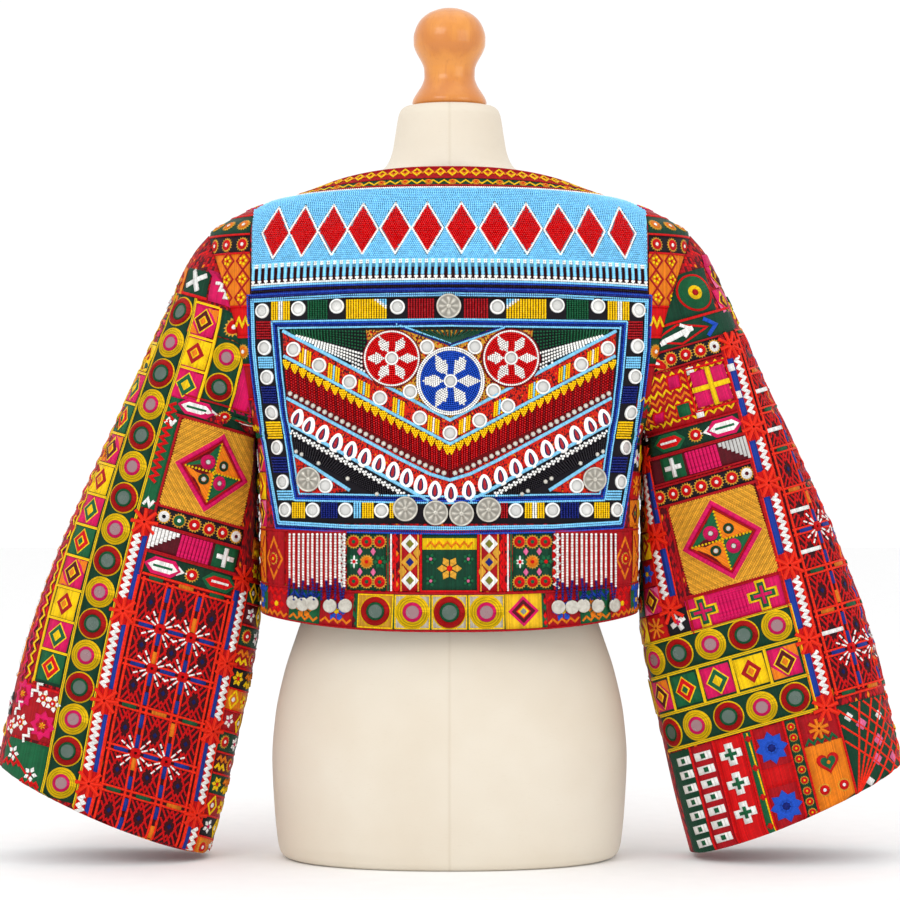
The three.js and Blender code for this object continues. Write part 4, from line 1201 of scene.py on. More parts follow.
def cloth_wall(name, side, low, high, node, slot, tint):
    """The wall of one body piece between two seams: the chart's own rows between the two levels."""
    chart = body_chart(side)
    wanted = np.linspace(low, high, max(4, int(np.ceil((high - low) / 5.5)) + 1))
    eta = eta_at(chart, wanted)
    share = np.linspace(-1, 1, 97)
    half = np.interp(eta, chart.eta, chart.half)
    xi = share[None] * half[:, None]
    points = chart.place(xi, eta[:, None] + 0 * xi, 0 * xi)
    normals = chart.outward(xi, eta[:, None] + 0 * xi)
    wall = sizes().wall / MM
    piece = shell(
        name, points, unit(normals), wall, [finish("cloth")], slot, colour(tint), flip=chart.turn < 0
    )
    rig.replaces(piece, node)
    width, length = 2 * half.max() * MM, (eta[-1] - eta[0]) * MM
    area = (half[1:] + half[:-1]) @ np.diff(eta) * MM * MM
    return piece, (width + 0.001, length + 0.001, area)


def sleeve_wall(name, hand, node):
    """A sleeve's tube as one closed wall: rows along its length, columns all round."""
    at = np.linspace(0, 1, 86)
    angle = np.linspace(0, 2 * np.pi, 97)[:-1]
    points = sleeve_point(angle[None] + 0 * at[:, None], at[:, None] + 0 * angle[None])
    points[..., 0] *= hand
    wrap = np.concatenate([points[:, -1:], points, points[:, :1]], 1)
    across = (wrap[:, 2:] - wrap[:, :-2]) / 2
    normals = unit(np.cross(across, np.gradient(points, axis=0)))
    middle = points.mean(1, keepdims=True)
    sign = np.sign(((points - middle) * normals).sum(-1).mean())
    normals = normals * sign
    piece = shell(
        name, points, normals, sizes().wall / MM, [finish("cloth")], "cloth_plum", colour("crimson"),
        closed=True, flip=sign < 0,
    )
    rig.replaces(piece, node)
    girth = np.linalg.norm(np.diff(np.concatenate([points, points[:, :1]], 1), axis=1), axis=-1).sum(1)
    length = np.linalg.norm(np.diff(points, axis=0), axis=-1).sum(0)
    area = girth.mean() * length.mean() * MM * MM
    return piece, (girth.max() * MM, length.max() * MM, area)


def lathe(name, rows, finishes, slot, node, columns=84, squareness=True):
    """A closed body from rings of level, half width, back and front depth, squareness and two rises."""
    keys = rows[:, 0]
    levels = np.unique(np.concatenate([keys, np.arange(keys[0], keys[-1], 3.0)]))
    row = smooth(keys, rows, levels)
    angle = np.linspace(0, 2 * np.pi, columns, endpoint=False)
    c, s = np.cos(angle), np.sin(angle)
    a, back, front, square, rise_back, rise_front = (row[:, i, None] for i in range(1, 7))
    power = 2 / square
    x = a * np.sign(c) * np.abs(c) ** power
    depth = np.where(s < 0, back, front)
    y = depth * np.sign(s) * np.abs(s) ** power
    lift = np.where(s < 0, rise_back, rise_front) * (1 - np.abs(x / a) ** 2.5)
    points = np.stack([x, y, levels[:, None] + lift], -1)
    count, rings = points.shape[0] * columns, points.shape[0]
    caps = np.array([[0, 0, levels[0]], [0, 0, levels[-1] + row[-1, 5]]])
    faces = grid_faces(rings, columns, closed=True)
    k = np.arange(columns)
    nxt = (k + 1) % columns
    last = (rings - 1) * columns
    foot = np.stack([nxt, k, np.full(columns, count)], -1)
    top = np.stack([last + k, last + nxt, np.full(columns, count + 1)], -1)
    piece = make_piece(
        name, np.concatenate([points.reshape(-1, 3), caps]), np.concatenate([faces, foot, top]), finishes,
        slot
    )
    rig.replaces(piece, node)
    return piece


FORM = np.array([  # level, half width, back, front, squareness, rise of the back, rise of the front
    (0, 159, 108, 104, 2.15, 0, 0), (2, 165, 111.5, 107.5, 2.15, 0, 0), (7, 169, 114, 110, 2.15, 0, 0),
    (18, 171.5, 116, 111.5, 2.2, 0, 0), (55, 175, 118.5, 112, 2.2, 0, 0), (100, 177, 119, 111, 2.2, 0, 0),
    (140, 174, 115.5, 107, 2.2, 0, 0), (182, 165.5, 108, 101, 2.2, 0, 0), (225, 151.5, 98, 95, 2.2, 0, 0),
    (268, 137, 90, 91, 2.2, 0, 0), (310, 131, 87, 92, 2.2, 0, 0), (360, 137, 91, 102, 2.2, 0, 0),
    (420, 152, 99, 114, 2.25, 0, 0), (490, 166, 106, 113, 2.3, 0, 0), (560, 172, 104, 103, 2.4, 0, 0),
    (610, 173, 97, 96, 2.4, 0, 0), (635, 168, 89, 93, 2.4, 2, -26), (645, 160, 83, 92, 2.4, 5, -33),
    (653.5, 148, 76, 88, 2.4, 8, -33), (664, 124, 60, 76, 2.3, 15, -24), (670, 102, 55, 66, 2.2, 14, -15),
    (679, 76, 54, 58, 2.1, 9, -8), (690, 62.5, 52, 53, 2.05, 5, -3), (703, 57.2, 50.5, 51.5, 2, 2, 0),
    (720, 54.2, 49.5, 50, 2, 0, 0), (739, 51, 48, 48.5, 2, 0, 0), (745, 48.5, 45, 45.5, 2, 0, 0),
    (748, 44.5, 41.5, 41.5, 2, 0, 0), (749, 40, 37.5, 37.5, 2, 0, 0),
], float)
KNOB = np.array([  # height, radius
    (0, 36), (3, 37.3), (6, 36.5), (13, 32.5), (21, 27.5), (29, 25.2), (37, 25.5), (45, 28.5), (53, 33),
    (61, 35.8), (69, 36), (77, 34), (85, 29.8), (93, 20.5), (97, 9.5), (98.2, 1.5),
], float)


# ---------------------------------------------------------------- operators

class TopOperator:
    """Shared by the operators: runs make() and reports, and stops the script when a piece can't be made."""

    bl_options = {"REGISTER"}

    def execute(self, context):
        """Make the pieces; stop the script if there are none."""
        made = self.make(context)
        if not made:
            raise RuntimeError(self.bl_label + " made no piece")
        self.report({"INFO"}, f"{self.bl_label}: {len(made)} pieces")
        return {"FINISHED"}


SHEETS = {}


class TOP_OT_body(TopOperator, bpy.types.Operator):
    """Body cloth: back, front and the two strips of the hem, each a wall between its seams"""

    bl_idname = "top.body"
    bl_label = "Body cloth"

    def make(self, context):
        """Three walls for each side, between the seams, their cut sizes noted."""
        made = []
        for side, word in ((-1, "back"), (1, "front")):
            for name, low, high, node, slot, tint in (
                (word + "_cloth", SEAMS["waist"], SEAMS["band"], word + "_panel", "cloth_red", "crimson"),
                ("hem_upper_%s_cloth" % word, SEAMS["lower"], SEAMS["waist"], "hem_upper_" + word,
                 "cloth_red", "red"),
                ("hem_lower_%s_cloth" % word, SEAMS["hem"], SEAMS["lower"], "hem_lower_" + word,
                 "cloth_red", "green"),
            ):
                piece, cut = cloth_wall(name, side, low, high, node, slot, tint)
                SHEETS[name] = (piece, cut)
                made.append(piece)
        return made


class TOP_OT_sleeves(TopOperator, bpy.types.Operator):
    """Sleeves: each one wide tube set into its armhole"""

    bl_idname = "top.sleeves"
    bl_label = "Sleeves"

    def make(self, context):
        """The right sleeve and its mirror image."""
        made = []
        for hand, word in ((1, "right"), (-1, "left")):
            piece, cut = sleeve_wall("sleeve_%s_cloth" % word, hand, "sleeve_" + word)
            SHEETS[piece.name] = (piece, cut)
            made.append(piece)
        return made


class TOP_OT_form(TopOperator, bpy.types.Operator):
    """Dress form under calico, with its turned knob"""

    bl_idname = "top.form"
    bl_label = "Dress form"

    def make(self, context):
        """The form's cover and the knob that stands in its neck."""
        cover = lathe("form_cover", FORM, [finish("calico")], "form_cover", "dress_form")
        foot = 749.3
        z, r = KNOB[:, 0] + foot, KNOB[:, 1]
        rows = np.stack([z, r, r, r, 0 * z + 2, 0 * z, 0 * z], -1)
        knob = lathe("knob", rows, [finish("wood")], "knob_wood", "neck_knob", columns=72)
        return [cover, knob]


class TOP_OT_stage(TopOperator, bpy.types.Operator):
    """Pale floor, soft studio light and the camera"""

    bl_idname = "top.stage"
    bl_label = "Stage"

    def make(self, context):
        """Floor, white surroundings, three area lights and the camera behind the top."""
        scene = context.scene
        mesh = bpy.data.meshes.new("floor")
        mesh.from_pydata([(-9, -9, 0), (9, -9, 0), (9, 9, 0), (-9, 9, 0)], [], [(0, 1, 2, 3)])
        floor = bpy.data.objects.new("floor", mesh)
        scene.collection.objects.link(floor)
        n = Nodes("pale floor")
        place = n.here()
        grain = n.noise(place, 40.0, 2.0)
        mesh.materials.append(n.done(Base_Color=n.mix(n.ramp(grain, 0.3, 0.7), (0.93, 0.93, 0.93),
                                                      (0.95, 0.95, 0.95)), Roughness=0.9,
                                     Specular_IOR_Level=0.1))
        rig.stage(floor)
        world = bpy.data.worlds.new("studio")
        world.use_nodes = True
        world.node_tree.nodes["Background"].inputs[0].default_value = (1, 1, 1, 1)
        world.node_tree.nodes["Background"].inputs[1].default_value = 1.04
        scene.world = world
        for name, place, turn, size, power in (
            ("key light", (-1.6, -2.6, 2.2), (58, 0, -32), 1.8, 26),
            ("fill light", (2.2, -2.2, 1.4), (68, 0, 45), 2.0, 13),
            ("top light", (0.0, -0.2, 2.9), (4, 0, 0), 2.4, 8),
        ):
            light = bpy.data.lights.new(name, "AREA")
            light.energy, light.size = power, size
            lamp = bpy.data.objects.new(name, light)
            lamp.location = place
            lamp.rotation_euler = np.radians(turn)
            scene.collection.objects.link(lamp)
        camera = bpy.data.cameras.new("camera")
        camera.lens, camera.sensor_width = 114.0, 36.0
        camera.clip_end = 60
        eye = bpy.data.objects.new("camera", camera)
        eye.location = (0.0005, -EYE * MM, EYE_HEIGHT * MM)
        eye.rotation_euler = (np.pi / 2, 0, 0)
        scene.collection.objects.link(eye)
        scene.camera = eye
        scene.view_settings.view_transform = "Standard"
        return [floor]


# ---------------------------------------------------------------- laying out by the pattern sheet

def across_middle(points):
    """The same places on the other half of the back, in the same order."""
    return [(2 * SHEET_MIDDLE[0] - u, v) for u, v in points]


def trace(chart, points, step=7.0):
    """A path of sheet places carried to the chart, with points enough to follow the cloth."""
    points = np.asarray(points, float)
    parts = []
    for a, b in zip(points[:-1], points[1:]):
        cuts = max(1, int(np.ceil(np.linalg.norm(b - a) / step)))
        parts.append(a + (b - a) * np.linspace(0, 1, cuts + 1)[:-1, None])
    line = np.concatenate(parts + [points[-1:]])
    return np.stack(chart.find(line[:, 0], line[:, 1]), -1)


def places(chart, points):
    """Sheet places carried to the chart."""
    points = np.asarray(points, float).reshape(-1, 2)
    return np.stack(chart.find(points[:, 0], points[:, 1]), -1)


def shifted(line, side, closed=False):
    """A path moved sideways by some mm of cloth, mitred at its corners."""
    ring = np.concatenate([line[-2:-1], line, line[1:2]]) if closed else line
    ahead = unit(np.diff(ring, axis=0))
    before = np.concatenate([ahead[:1], ahead]) if not closed else ahead[:-1]
    after = np.concatenate([ahead, ahead[-1:]]) if not closed else ahead[1:]
    tangent = unit(before + after + 1e-9)
    turn = np.clip((before * tangent).sum(1, keepdims=True), 0.5, 1)
    return line + np.stack([-tangent[:, 1], tangent[:, 0]], -1) / turn * side


def on_quad(corners, s, t):
    """Places inside a four-sided patch: the bilinear blend of its corners by shares across and down."""
    a, b, c, d = np.asarray(corners, float)
    s, t = np.asarray(s)[..., None], np.asarray(t)[..., None]
    return (a * (1 - s) + b * s) * (1 - t) + (d * (1 - s) + c * s) * t


class Beadwork:
    """Beads sewn on a chart in cords, strands and rounds, each keeping clear of those sewn before it."""

    def __init__(self, chart):
        """An empty map of half-millimetre cells over the chart, on which sewn places are marked."""
        self.chart = chart
        self.half = float(chart.half.max())
        self.taken = np.zeros((int(chart.eta[-1] * 2) + 12, int(self.half * 4) + 12), bool)
        self.sewn = []

    def cell(self, spots):
        """Row and column of the map for each place."""
        i = np.clip((spots[:, 1] * 2).astype(int), 0, self.taken.shape[0] - 1)
        j = np.clip(((spots[:, 0] + self.half) * 2).astype(int), 0, self.taken.shape[1] - 1)
        return i, j

    def claim(self, spots, radius):
        """Mark every cell within a radius of the places as taken."""
        steps = np.arange(-np.ceil(radius * 2) / 2, radius + 0.01, 0.5)
        for dx in steps:
            for dy in steps:
                if dx * dx + dy * dy <= radius * radius + 0.01:
                    i, j = self.cell(spots + (dx, dy))
                    self.taken[i, j] = True

    def put(self, spots, tints, radius=None, lift=1.3, room=0.8, finish_number=2, over=False):
        """Sew beads at the places that are still free, and take the room they need."""
        radius = sizes().bead / MM / 2 if radius is None else radius
        spots = np.asarray(spots, float).reshape(-1, 2)
        tints = np.broadcast_to(colour(tints) if isinstance(tints, str) else np.asarray(tints, float),
                                (len(spots), 3))
        if not over:
            i, j = self.cell(spots)
            keep = ~self.taken[i, j]
            spots, tints = spots[keep], tints[keep]
        if len(spots):
            self.claim(spots, room)
            self.sewn.append(beads(spots, tints, radius, lift, finish_number))

    def cord(self, path, tints, first=0.0, gap=2.0, closed=False, pitch=1.95, **how):
        """Rows of beads side by side along a chart path, the first moved sideways by first mm."""
        for k, tint in enumerate(tints):
            line = shifted(path, first + gap * k, closed)
            self.put(along(line, pitch), tint, **how)

    def strands(self, corners, tint_of, run="down", gap=2.55, pitch=1.9, **how):
        """Strands of beads that fill a four-sided patch; tint_of colours them by shares across and down."""
        a, b, c, d = np.asarray(corners, float)
        wide = (np.linalg.norm(b - a) + np.linalg.norm(c - d)) / 2
        tall = (np.linalg.norm(d - a) + np.linalg.norm(c - b)) / 2
        if run == "down":
            n, m = max(1, round(wide / gap)), max(1, round(tall / pitch))
        else:
            n, m = max(1, round(wide / pitch)), max(1, round(tall / gap))
        s, t = np.meshgrid((np.arange(n) + 0.5) / n, (np.arange(m) + 0.5) / m)
        spots = on_quad(corners, s.ravel(), t.ravel())
        tints = colour(tint_of) if isinstance(tint_of, str) else tint_of(s.ravel(), t.ravel())
        self.put(spots, tints, **how)

    def shape(self):
        """All the beads as one motif."""
        return joined(self.sewn)


def band_of(left, right, tint, high, base=0.0, columns=60, finish=5):
    """A patch between two paths of equal count, its edge turned down to the cloth."""
    s = np.concatenate([[0], np.linspace(0, 1, columns), [1]])
    left, right = np.asarray(left), np.asarray(right)
    left = np.concatenate([left[:1], left, left[-1:]])
    right = np.concatenate([right[:1], right, right[-1:]])
    flat = left[:, None] * (1 - s[None, :, None]) + right[:, None] * s[None, :, None]
    lift = np.full(flat.shape[:2], base + high)
    lift[0], lift[-1], lift[:, 0], lift[:, -1] = base, base, base, base
    points = np.concatenate([flat, lift[..., None]], -1).reshape(-1, 3)
    faces = grid_faces(*flat.shape[:2])
    turn = np.cross(right[1] - left[1], left[-2] - left[1])
    return Shape(points, faces if turn > 0 else faces[:, ::-1], tint, points[:, :2], finish)


def thinned(path, count):
    """A path of only count places, taken at even steps through its list."""
    return path[np.linspace(0, len(path) - 1, count).astype(int)]


def mixed(a, b, share):
    """Colours between two named ones."""
    return colour(a) * (1 - np.asarray(share)[..., None]) + colour(b) * np.asarray(share)[..., None]


def button_mirror(radius=7.3):
    """A round mirror in a white rim: the rim a rounded ring, the glass sunk inside it. The rim is painted lightest on
    its top and darker on its inner wall and feet, as light and shade; the glass is a painted grey reflection, painted
    darker towards the rim as shade.
    """
    # painted light and shade of the rim: dark at the inner foot, brightest on top, dimmer at the outer foot
    shades = np.array([0.35, 0.6, 0.92, 1.0, 0.7])[:, None] * colour("white")
    rim = spun(radius * np.array([0.70, 0.72, 0.83, 0.93, 1.0]), [0.8, 2.3, 3.0, 2.4, 0.6], 22, None, 2,
               shades)
    # painted reflection and shade: grey glass, darker from its middle towards the rim
    glass = spun(radius * np.array([0.001, 0.45, 0.66, 0.72]), [1.15, 1.2, 1.3, 1.3], 22, None, 3,
                 np.array([0.72, 0.66, 0.5, 0.28])[:, None] * colour("white"))
    return rim + glass


def stamped_coin(radius=12.0, base=1.6, petals=8):
    """A stamped coin: raised rim and a star of petals, height a cosine of the angle between them. Its silver is
    painted brighter on the high parts and darker on the low ones, as light and shade.
    """
    sides, r = 64, np.array([0.02, 0.12, 0.2, 0.34, 0.5, 0.66, 0.76, 0.84, 0.9, 0.97, 1.0, 1.0])
    angle = np.arange(sides) / sides * 2 * np.pi
    wave = 0.5 + 0.5 * np.cos(petals * angle)
    star = np.clip(1.1 - np.abs(r - 0.5) / 0.34, 0, 1)
    high = base + 0.9 + 1.0 * np.outer(star, wave**2)
    high[:2] = base + 1.8
    high[8:10], high[10], high[11] = base + 1.8, base + 1.3, base
    # painted light and shade: the tint follows the height, high parts lit and low parts shaded
    bright = np.clip((high - base - 0.7) / 0.9, 0, 1)[..., None] * 0.75 + 0.32
    ring = np.stack([np.cos(angle), np.sin(angle)], -1)
    points = np.concatenate([r[:, None, None] * radius * ring[None], high[..., None]], -1)
    tints = (bright * colour("silver")).reshape(-1, 3)
    return Shape(points.reshape(-1, 3), grid_faces(len(r), sides, True, flip=True), tints, None, 4)


def cowrie_shell(long=9.6, wide=6.6):
    """A cowrie: an egg-shaped dome with a dark toothed slit down its face, the slit's near black being painted shade
    inside the opening.
    """
    sides = 20
    angle = np.arange(sides) / sides * 2 * np.pi
    egg = np.stack([wide * np.cos(angle) * (1 - 0.18 * np.sin(angle)), long * np.sin(angle)], -1)
    r, high = np.array([0.02, 0.4, 0.7, 0.9, 1.0]), np.array([3.3, 3.1, 2.5, 1.7, 0.6])
    points = np.concatenate([r[:, None, None] * egg[None], np.tile(high[:, None, None], (1, sides, 1))], -1)
    dome = Shape(points.reshape(-1, 3), grid_faces(5, sides, True, flip=True), "white", None, 2)
    t = np.linspace(-1, 1, 9)
    half = 2.7 * np.sqrt(np.maximum(0, 1 - t * t)) * (1 - 0.35 * t) + 0.05
    slit = np.concatenate([np.stack([half, t * long * 0.68], -1),
                           np.stack([-half, t * long * 0.68], -1)[::-1][1:-1]])
    # painted shade: a near-black plate where the slit opens into the shell
    dark = plate(slit, colour("navy") * 0.35, high=0.35, base=3.15, soft=0.6, finish=2)
    red = plate(slit * (0.5, 0.8), colour("crimson") * 0.8, high=0.25, base=3.5, soft=0.4, finish=2)
    return dome + dark + red


# ---------------------------------------------------------------- bead panel, as laid out on the back

RIM = [(252.5, 300.5), (350, 295.5), (449.5, 293.8), (549, 295.5), (646.5, 300.5), (645, 348), (642, 377),
       (637.5, 412), (632, 447.5), (626.5, 482), (619.5, 523), (552, 527), (449.5, 528.8), (347, 527),
       (279.5, 523), (272.5, 482), (267, 447.5), (261.5, 412), (257, 377), (254, 348), (252.5, 300.5)]
INNER = [(273, 322.5), (449.5, 320), (626, 322.5), (624, 348), (621.5, 377), (617, 412), (611, 447.5),
         (606.5, 482), (603.5, 499.5), (449.5, 502.5), (295.5, 499.5), (292.5, 482), (288, 447.5),
         (282, 412), (277.5, 377), (275, 348), (273, 322.5)]
MIRRORS = [
    (262.7, 311), (298.6, 308.7), (336.9, 306.3), (397.5, 307), (497.4, 307), (557.2, 305.5),
    (597.9, 306.3), (638.2, 310.3), (265, 347.8), (267.5, 377.3), (272.3, 412.4), (277.8, 447.5),
    (283.4, 481.8), (637, 346.2), (634.6, 376.5), (630.3, 412.4), (625, 447.5), (620.2, 481.8),
    (285.8, 509.7), (313, 510), (345.6, 510), (381.5, 510.5), (515.8, 510.5), (552.4, 510), (586, 509.7),
    (616.2, 509.7), (325.7, 485.7), (576.4, 485.7), (293.8, 349.4), (319.3, 365.3), (349.6, 382),
    (380, 398), (419.8, 418), (450, 433), (479.6, 420.4), (507.8, 406), (542.9, 386.9), (581, 364.5),
    (607.5, 348.6), (427, 347), (410.2, 391.6), (475, 347), (493.4, 390.8),
]
COINS = {
    "coin_top": (448.8, 306.3), "coin_bottom_outer_left": (405.4, 508.9),
    "coin_bottom_inner_left": (435.7, 512.9), "coin_bottom_inner_right": (461.5, 513.7),
    "coin_bottom_outer_right": (488.6, 509.7), "coin_corner_left": (309, 479.4),
    "coin_corner_right": (594, 479.4),
}
COWRIES = [
    (297.8, 418), (309, 426), (323, 434), (336.5, 442.7), (350.7, 450.7), (364.8, 457.8), (379, 464),
    (393, 471.4), (406.7, 478), (420.6, 484.6), (435, 490.5), (451, 493), (468.7, 490.5), (484.7, 484),
    (500.6, 476), (515.8, 468), (531, 458.6), (547, 449.5), (561, 443.5), (575.6, 434.7), (590, 426),
    (604, 418),
]
ROSETTES = {
    "rosette_left": (391.9, 358.5, 27.6, "red"), "rosette_middle": (450.5, 381, 32.4, "blue"),
    "rosette_right": (511, 358.2, 27.9, "red"),
}
CHEVRONS = [
    [(283, 331), (450, 420), (616, 331)],
    [(284, 356), (450, 444), (615, 356)],
    [(287, 398), (400, 459), (430, 474), (450, 480), (470, 474), (500, 459), (611, 398)],
    [(290, 424), (429, 501)], [(609, 424), (470, 501)],
    [(295, 455), (350, 490.5)], [(604, 455), (549, 490.5)],
]


def leaf(s, t):
    """Leaf green for every bead of a patch."""
    return mixed("forest", "green", 0.75 + 0 * s)


class TOP_OT_bead_panel(TopOperator, bpy.types.Operator):
    """Bead panel of the back: cords, mirror band, chevrons, strands, shells, mirrors, coins and rosettes"""

    bl_idname = "top.bead_panel"
    bl_label = "Bead panel"

    def make(self, context):
        """The ground and cords first, then cells, strands and balls, and last what stands on them."""
        chart = body_chart(-1)
        work = Beadwork(chart)
        at = partial(places, chart)
        ground = []
        left_path = along(trace(chart, [(252.5, 300.5)] + RIM[19:13:-1], 6), 1.0)
        right_path = along(trace(chart, RIM[4:11], 6), 1.0)
        ground.append(band_of(thinned(left_path, 26), thinned(right_path, 26), "black", 0.6))
        spots = at(MIRRORS)
        work.claim(spots, 7.6)
        coin_spots = at(list(COINS.values()))
        work.claim(coin_spots, 11.6)
        shell_spots = at(COWRIES)
        for dy in (-4.5, 0, 4.5):
            work.claim(shell_spots + (0, dy), 4.4)
        for u, v, radius, tint in ROSETTES.values():
            work.claim(at([(u, v)]), radius + 0.4)

        rim = trace(chart, RIM, 6)
        sense = 1 if np.abs(shifted(rim, 3, True)[:, 0]).max() < np.abs(rim[:, 0]).max() else -1
        work.cord(rim, ["blue", "navy"], first=-4.9 * sense, gap=2.1 * sense, closed=True, radius=1.2)
        work.cord(rim, ["sky", "sky"], first=-0.7 * sense, gap=2.1 * sense, closed=True, radius=1.2)
        edge = shifted(rim, -3.2 * sense, True)
        ground.append(ribbon(edge, 6.6, colour("navy") * 0.12, 0.4, 0.15, closed=True, finish=5))
        inner = trace(chart, INNER, 6)
        work.cord(inner, ["sky", "blue", "navy", "sky"], first=-0.8 * sense, gap=2.15 * sense, closed=True,
                  radius=1.2)

        cords = []
        for path in CHEVRONS:
            line = trace(chart, path, 6)
            cords.append(ribbon(line, 3.4, "sky", high=1.5, base=0.6, grain="across"))
            work.claim(along(line, 0.8), 2.0)

        ground_red = [[(283, 331), (450, 420), (450, 444), (284, 356)],
                      [(287, 398), (450, 480), (450, 506), (290, 424)],
                      [(295, 455), (350, 490.5), (300, 498), (297, 497)]]
        for quad in ground_red:
            for corners in (quad, across_middle(quad)):
                ground.append(field(at(corners), colour("vermilion") * 0.8, high=0.15, base=0.62, finish=1))
        quad = [(284, 356), (450, 444), (450, 480), (287, 398)]
        for corners in (quad, across_middle(quad)):
            ground.append(field(at(corners), colour("crimson") * 0.35, high=0.15, base=0.62, finish=5))
        centre = [(366, 330), (449.5, 330), (449.5, 419), (372, 378)]
        for corners in (centre, across_middle(centre)):
            ground.append(field(at(corners), "gold", high=0.15, base=0.62, finish=1))

        def top_up(u):
            """Upper edge of the mirror band, a shallow parabola across the back."""
            return 298.6 + 3.6 * ((u - SHEET_MIDDLE[0]) / 190) ** 2

        def top_low(u):
            """Lower edge of the mirror band, flatter than the upper."""
            return 318.4 + 2.0 * ((u - SHEET_MIDDLE[0]) / 176) ** 2

        def top_block(a, b):
            """Corners of a cell of the mirror band between two sheet columns."""
            return at([(a, top_up(a)), (b, top_up(b)), (b, top_low(b)), (a, top_low(a))])

        def striped(main, other, low, high):
            """Colours of a patch with one stripe between two shares of its width."""
            return lambda s, t: np.where(((s > low) & (s < high))[:, None], colour(other), colour(main))

        def cornered(flip):
            """Colours of a yellow patch with a sky corner behind a white slanting edge."""
            def pick_tint(s, t):
                """Colour by side of the slanting line s = 0.72 + 0.6 t."""
                s = 1 - s if flip else s
                inside = s - 0.72 > t * 0.6
                edge = np.abs(s - 0.72 - t * 0.6) < 0.08
                tint = np.where(inside[:, None], colour("sky"), colour("yellow"))
                return np.where(edge[:, None], colour("white"), tint)
            return pick_tint

        for a, b, tint in (
            (271.5, 290.5, striped("yellow", "white", 0.4, 0.62)), (307.5, 328, leaf),
            (346, 387, cornered(False)), (407.5, 434.5, "crimson"), (463.5, 488.5, "crimson"),
            (506, 546.5, cornered(True)), (566, 588.5, leaf),
            (607, 629, striped("yellow", "white", 0.4, 0.62)),
        ):
            work.strands(top_block(a, b), tint)
        centre_of = partial(
            np.interp, xp=[330, 348, 377, 412, 447.5, 482, 500],
            fp=[264, 265, 267.5, 272.3, 277.8, 283.6, 286.6]
        )
        for a, b, tint in (
            (321, 339.5, "crimson"), (356.5, 368.5, "sky"), (386, 403.5, "navy"), (421, 439, "yellow"),
            (456.5, 473, "navy"), (490, 500.5, "sky"),
        ):
            quad = [(centre_of(a) - 7.2, a), (centre_of(a) + 7.4, a), (centre_of(b) + 7.4, b),
                    (centre_of(b) - 7.2, b)]
            work.strands(at(quad), tint, run="across")
            work.strands(at(across_middle(quad)), tint, run="across")
        for a, b, tint in (
            (292.5, 306, "yellow"), (321, 338, "navy"), (353.5, 361.5, "sky"), (362, 374, "yellow"),
            (389.5, 394, "yellow"), (500.5, 508, "crimson"),
            (524.5, 544.5, striped("yellow", "white", 0.4, 0.6)), (560, 579, "navy"),
            (593.5, 609, "yellow"),
        ):
            work.strands(at([(a, 502.3), (b, 502.3), (b, 518.2), (a, 518.2)]), tint)

        # green strands that end in white, then the blocks between the first two chevrons
        for side in (0, 1):
            turn = across_middle if side else (lambda pts: pts)
            green = [(290, 330), (366, 330), (366, 352), (291, 333)]
            white = [(291, 333.5), (366, 353), (366, 374), (288, 334.5)]
            work.strands(at(turn(green)), leaf, gap=3.0, radius=1.2)
            work.strands(at(turn(white)), "white", gap=3.0, pitch=2.2, radius=1.4)
            for u, v in ((306, 357.5), (334.5, 373.5), (364.5, 390), (399, 407.5), (434, 425.5)):
                (cu, cv), = turn([(u, v)])
                slope = -1 if side else 1
                block = [(cu - 6, cv - 8 - 3 * slope), (cu + 6, cv - 8 + 3 * slope),
                         (cu + 5, cv + 7 + 3 * slope), (cu - 7, cv + 7 - 3 * slope)]
                work.strands(at(block), striped("yellow", "sky" if u % 2 else "white", 0.35, 0.68))
            lobes = []
            for share in np.linspace(0.02, 0.985, 21):
                u, v = 284 + 166 * share, 356 + 88 * share
                lobes.append((u, v + 2.5))
            petals = np.array([(-3, -0.4), (-1, -0.4), (1, -0.4), (3, -0.4), (-3, -2.4), (-1, -2.4),
                               (1, -2.4), (3, -2.4), (-2.1, -4.4), (0, -4.4), (2.1, -4.4), (-1.1, -6.3),
                               (1.1, -6.3), (0, -8.1)])
            heads = at(turn(lobes))
            work.put((heads[:, None] + petals[None]).reshape(-1, 2), "yellow", radius=1.25, lift=1.7,
                     room=0.8)
            red = [(285, 364), (450, 453), (450, 471), (287, 389)]
            shades = np.array([colour("crimson"), colour("red") * 0.8, colour("crimson") * 0.55,
                               colour("red") * 0.8])
            work.strands(at(turn(red)), lambda s, t: shades[np.round(s * 71).astype(int) % 4], gap=2.6,
                         pitch=2.2, radius=1.2)
            balls = trace(chart, turn([(291, 393.5), (400, 452.5), (430, 467.5), (444, 473)]), 6)
            work.put(along(balls, 6.4), colour("silver") * 1.1, radius=2.6, lift=2.3, room=2.3)
            small = trace(chart, turn([(292, 430), (412, 497)]), 6)
            pair = np.array([(-1.3, -1.2), (1.3, -1.2), (0, -3.6)])
            work.put((along(small, 5.2)[:, None] + pair[None]).reshape(-1, 2), "white", radius=1.45,
                     lift=1.7)
            black = [(292, 437), (400, 494), (380, 497), (294, 449)]
            work.strands(at(turn(black)), "black", gap=2.5)
            balls = trace(chart, turn([(297, 451.5), (377, 494)]), 6)
            work.put(along(balls, 6.2), colour("silver") * 1.1, radius=2.3, lift=1.9, room=1.8)
            vee = trace(chart, turn([(394, 325.5), (450, 345)]), 6)
            work.cord(vee, ["navy", "sky"], first=0, gap=1.9)
        top = trace(chart, [(372, 326.5), (527, 326.5)], 6)
        work.cord(top, ["sky", "navy"], gap=2.0)
        work.strands(at([(405, 330), (494, 330), (451, 343), (448, 343)]), "forest")

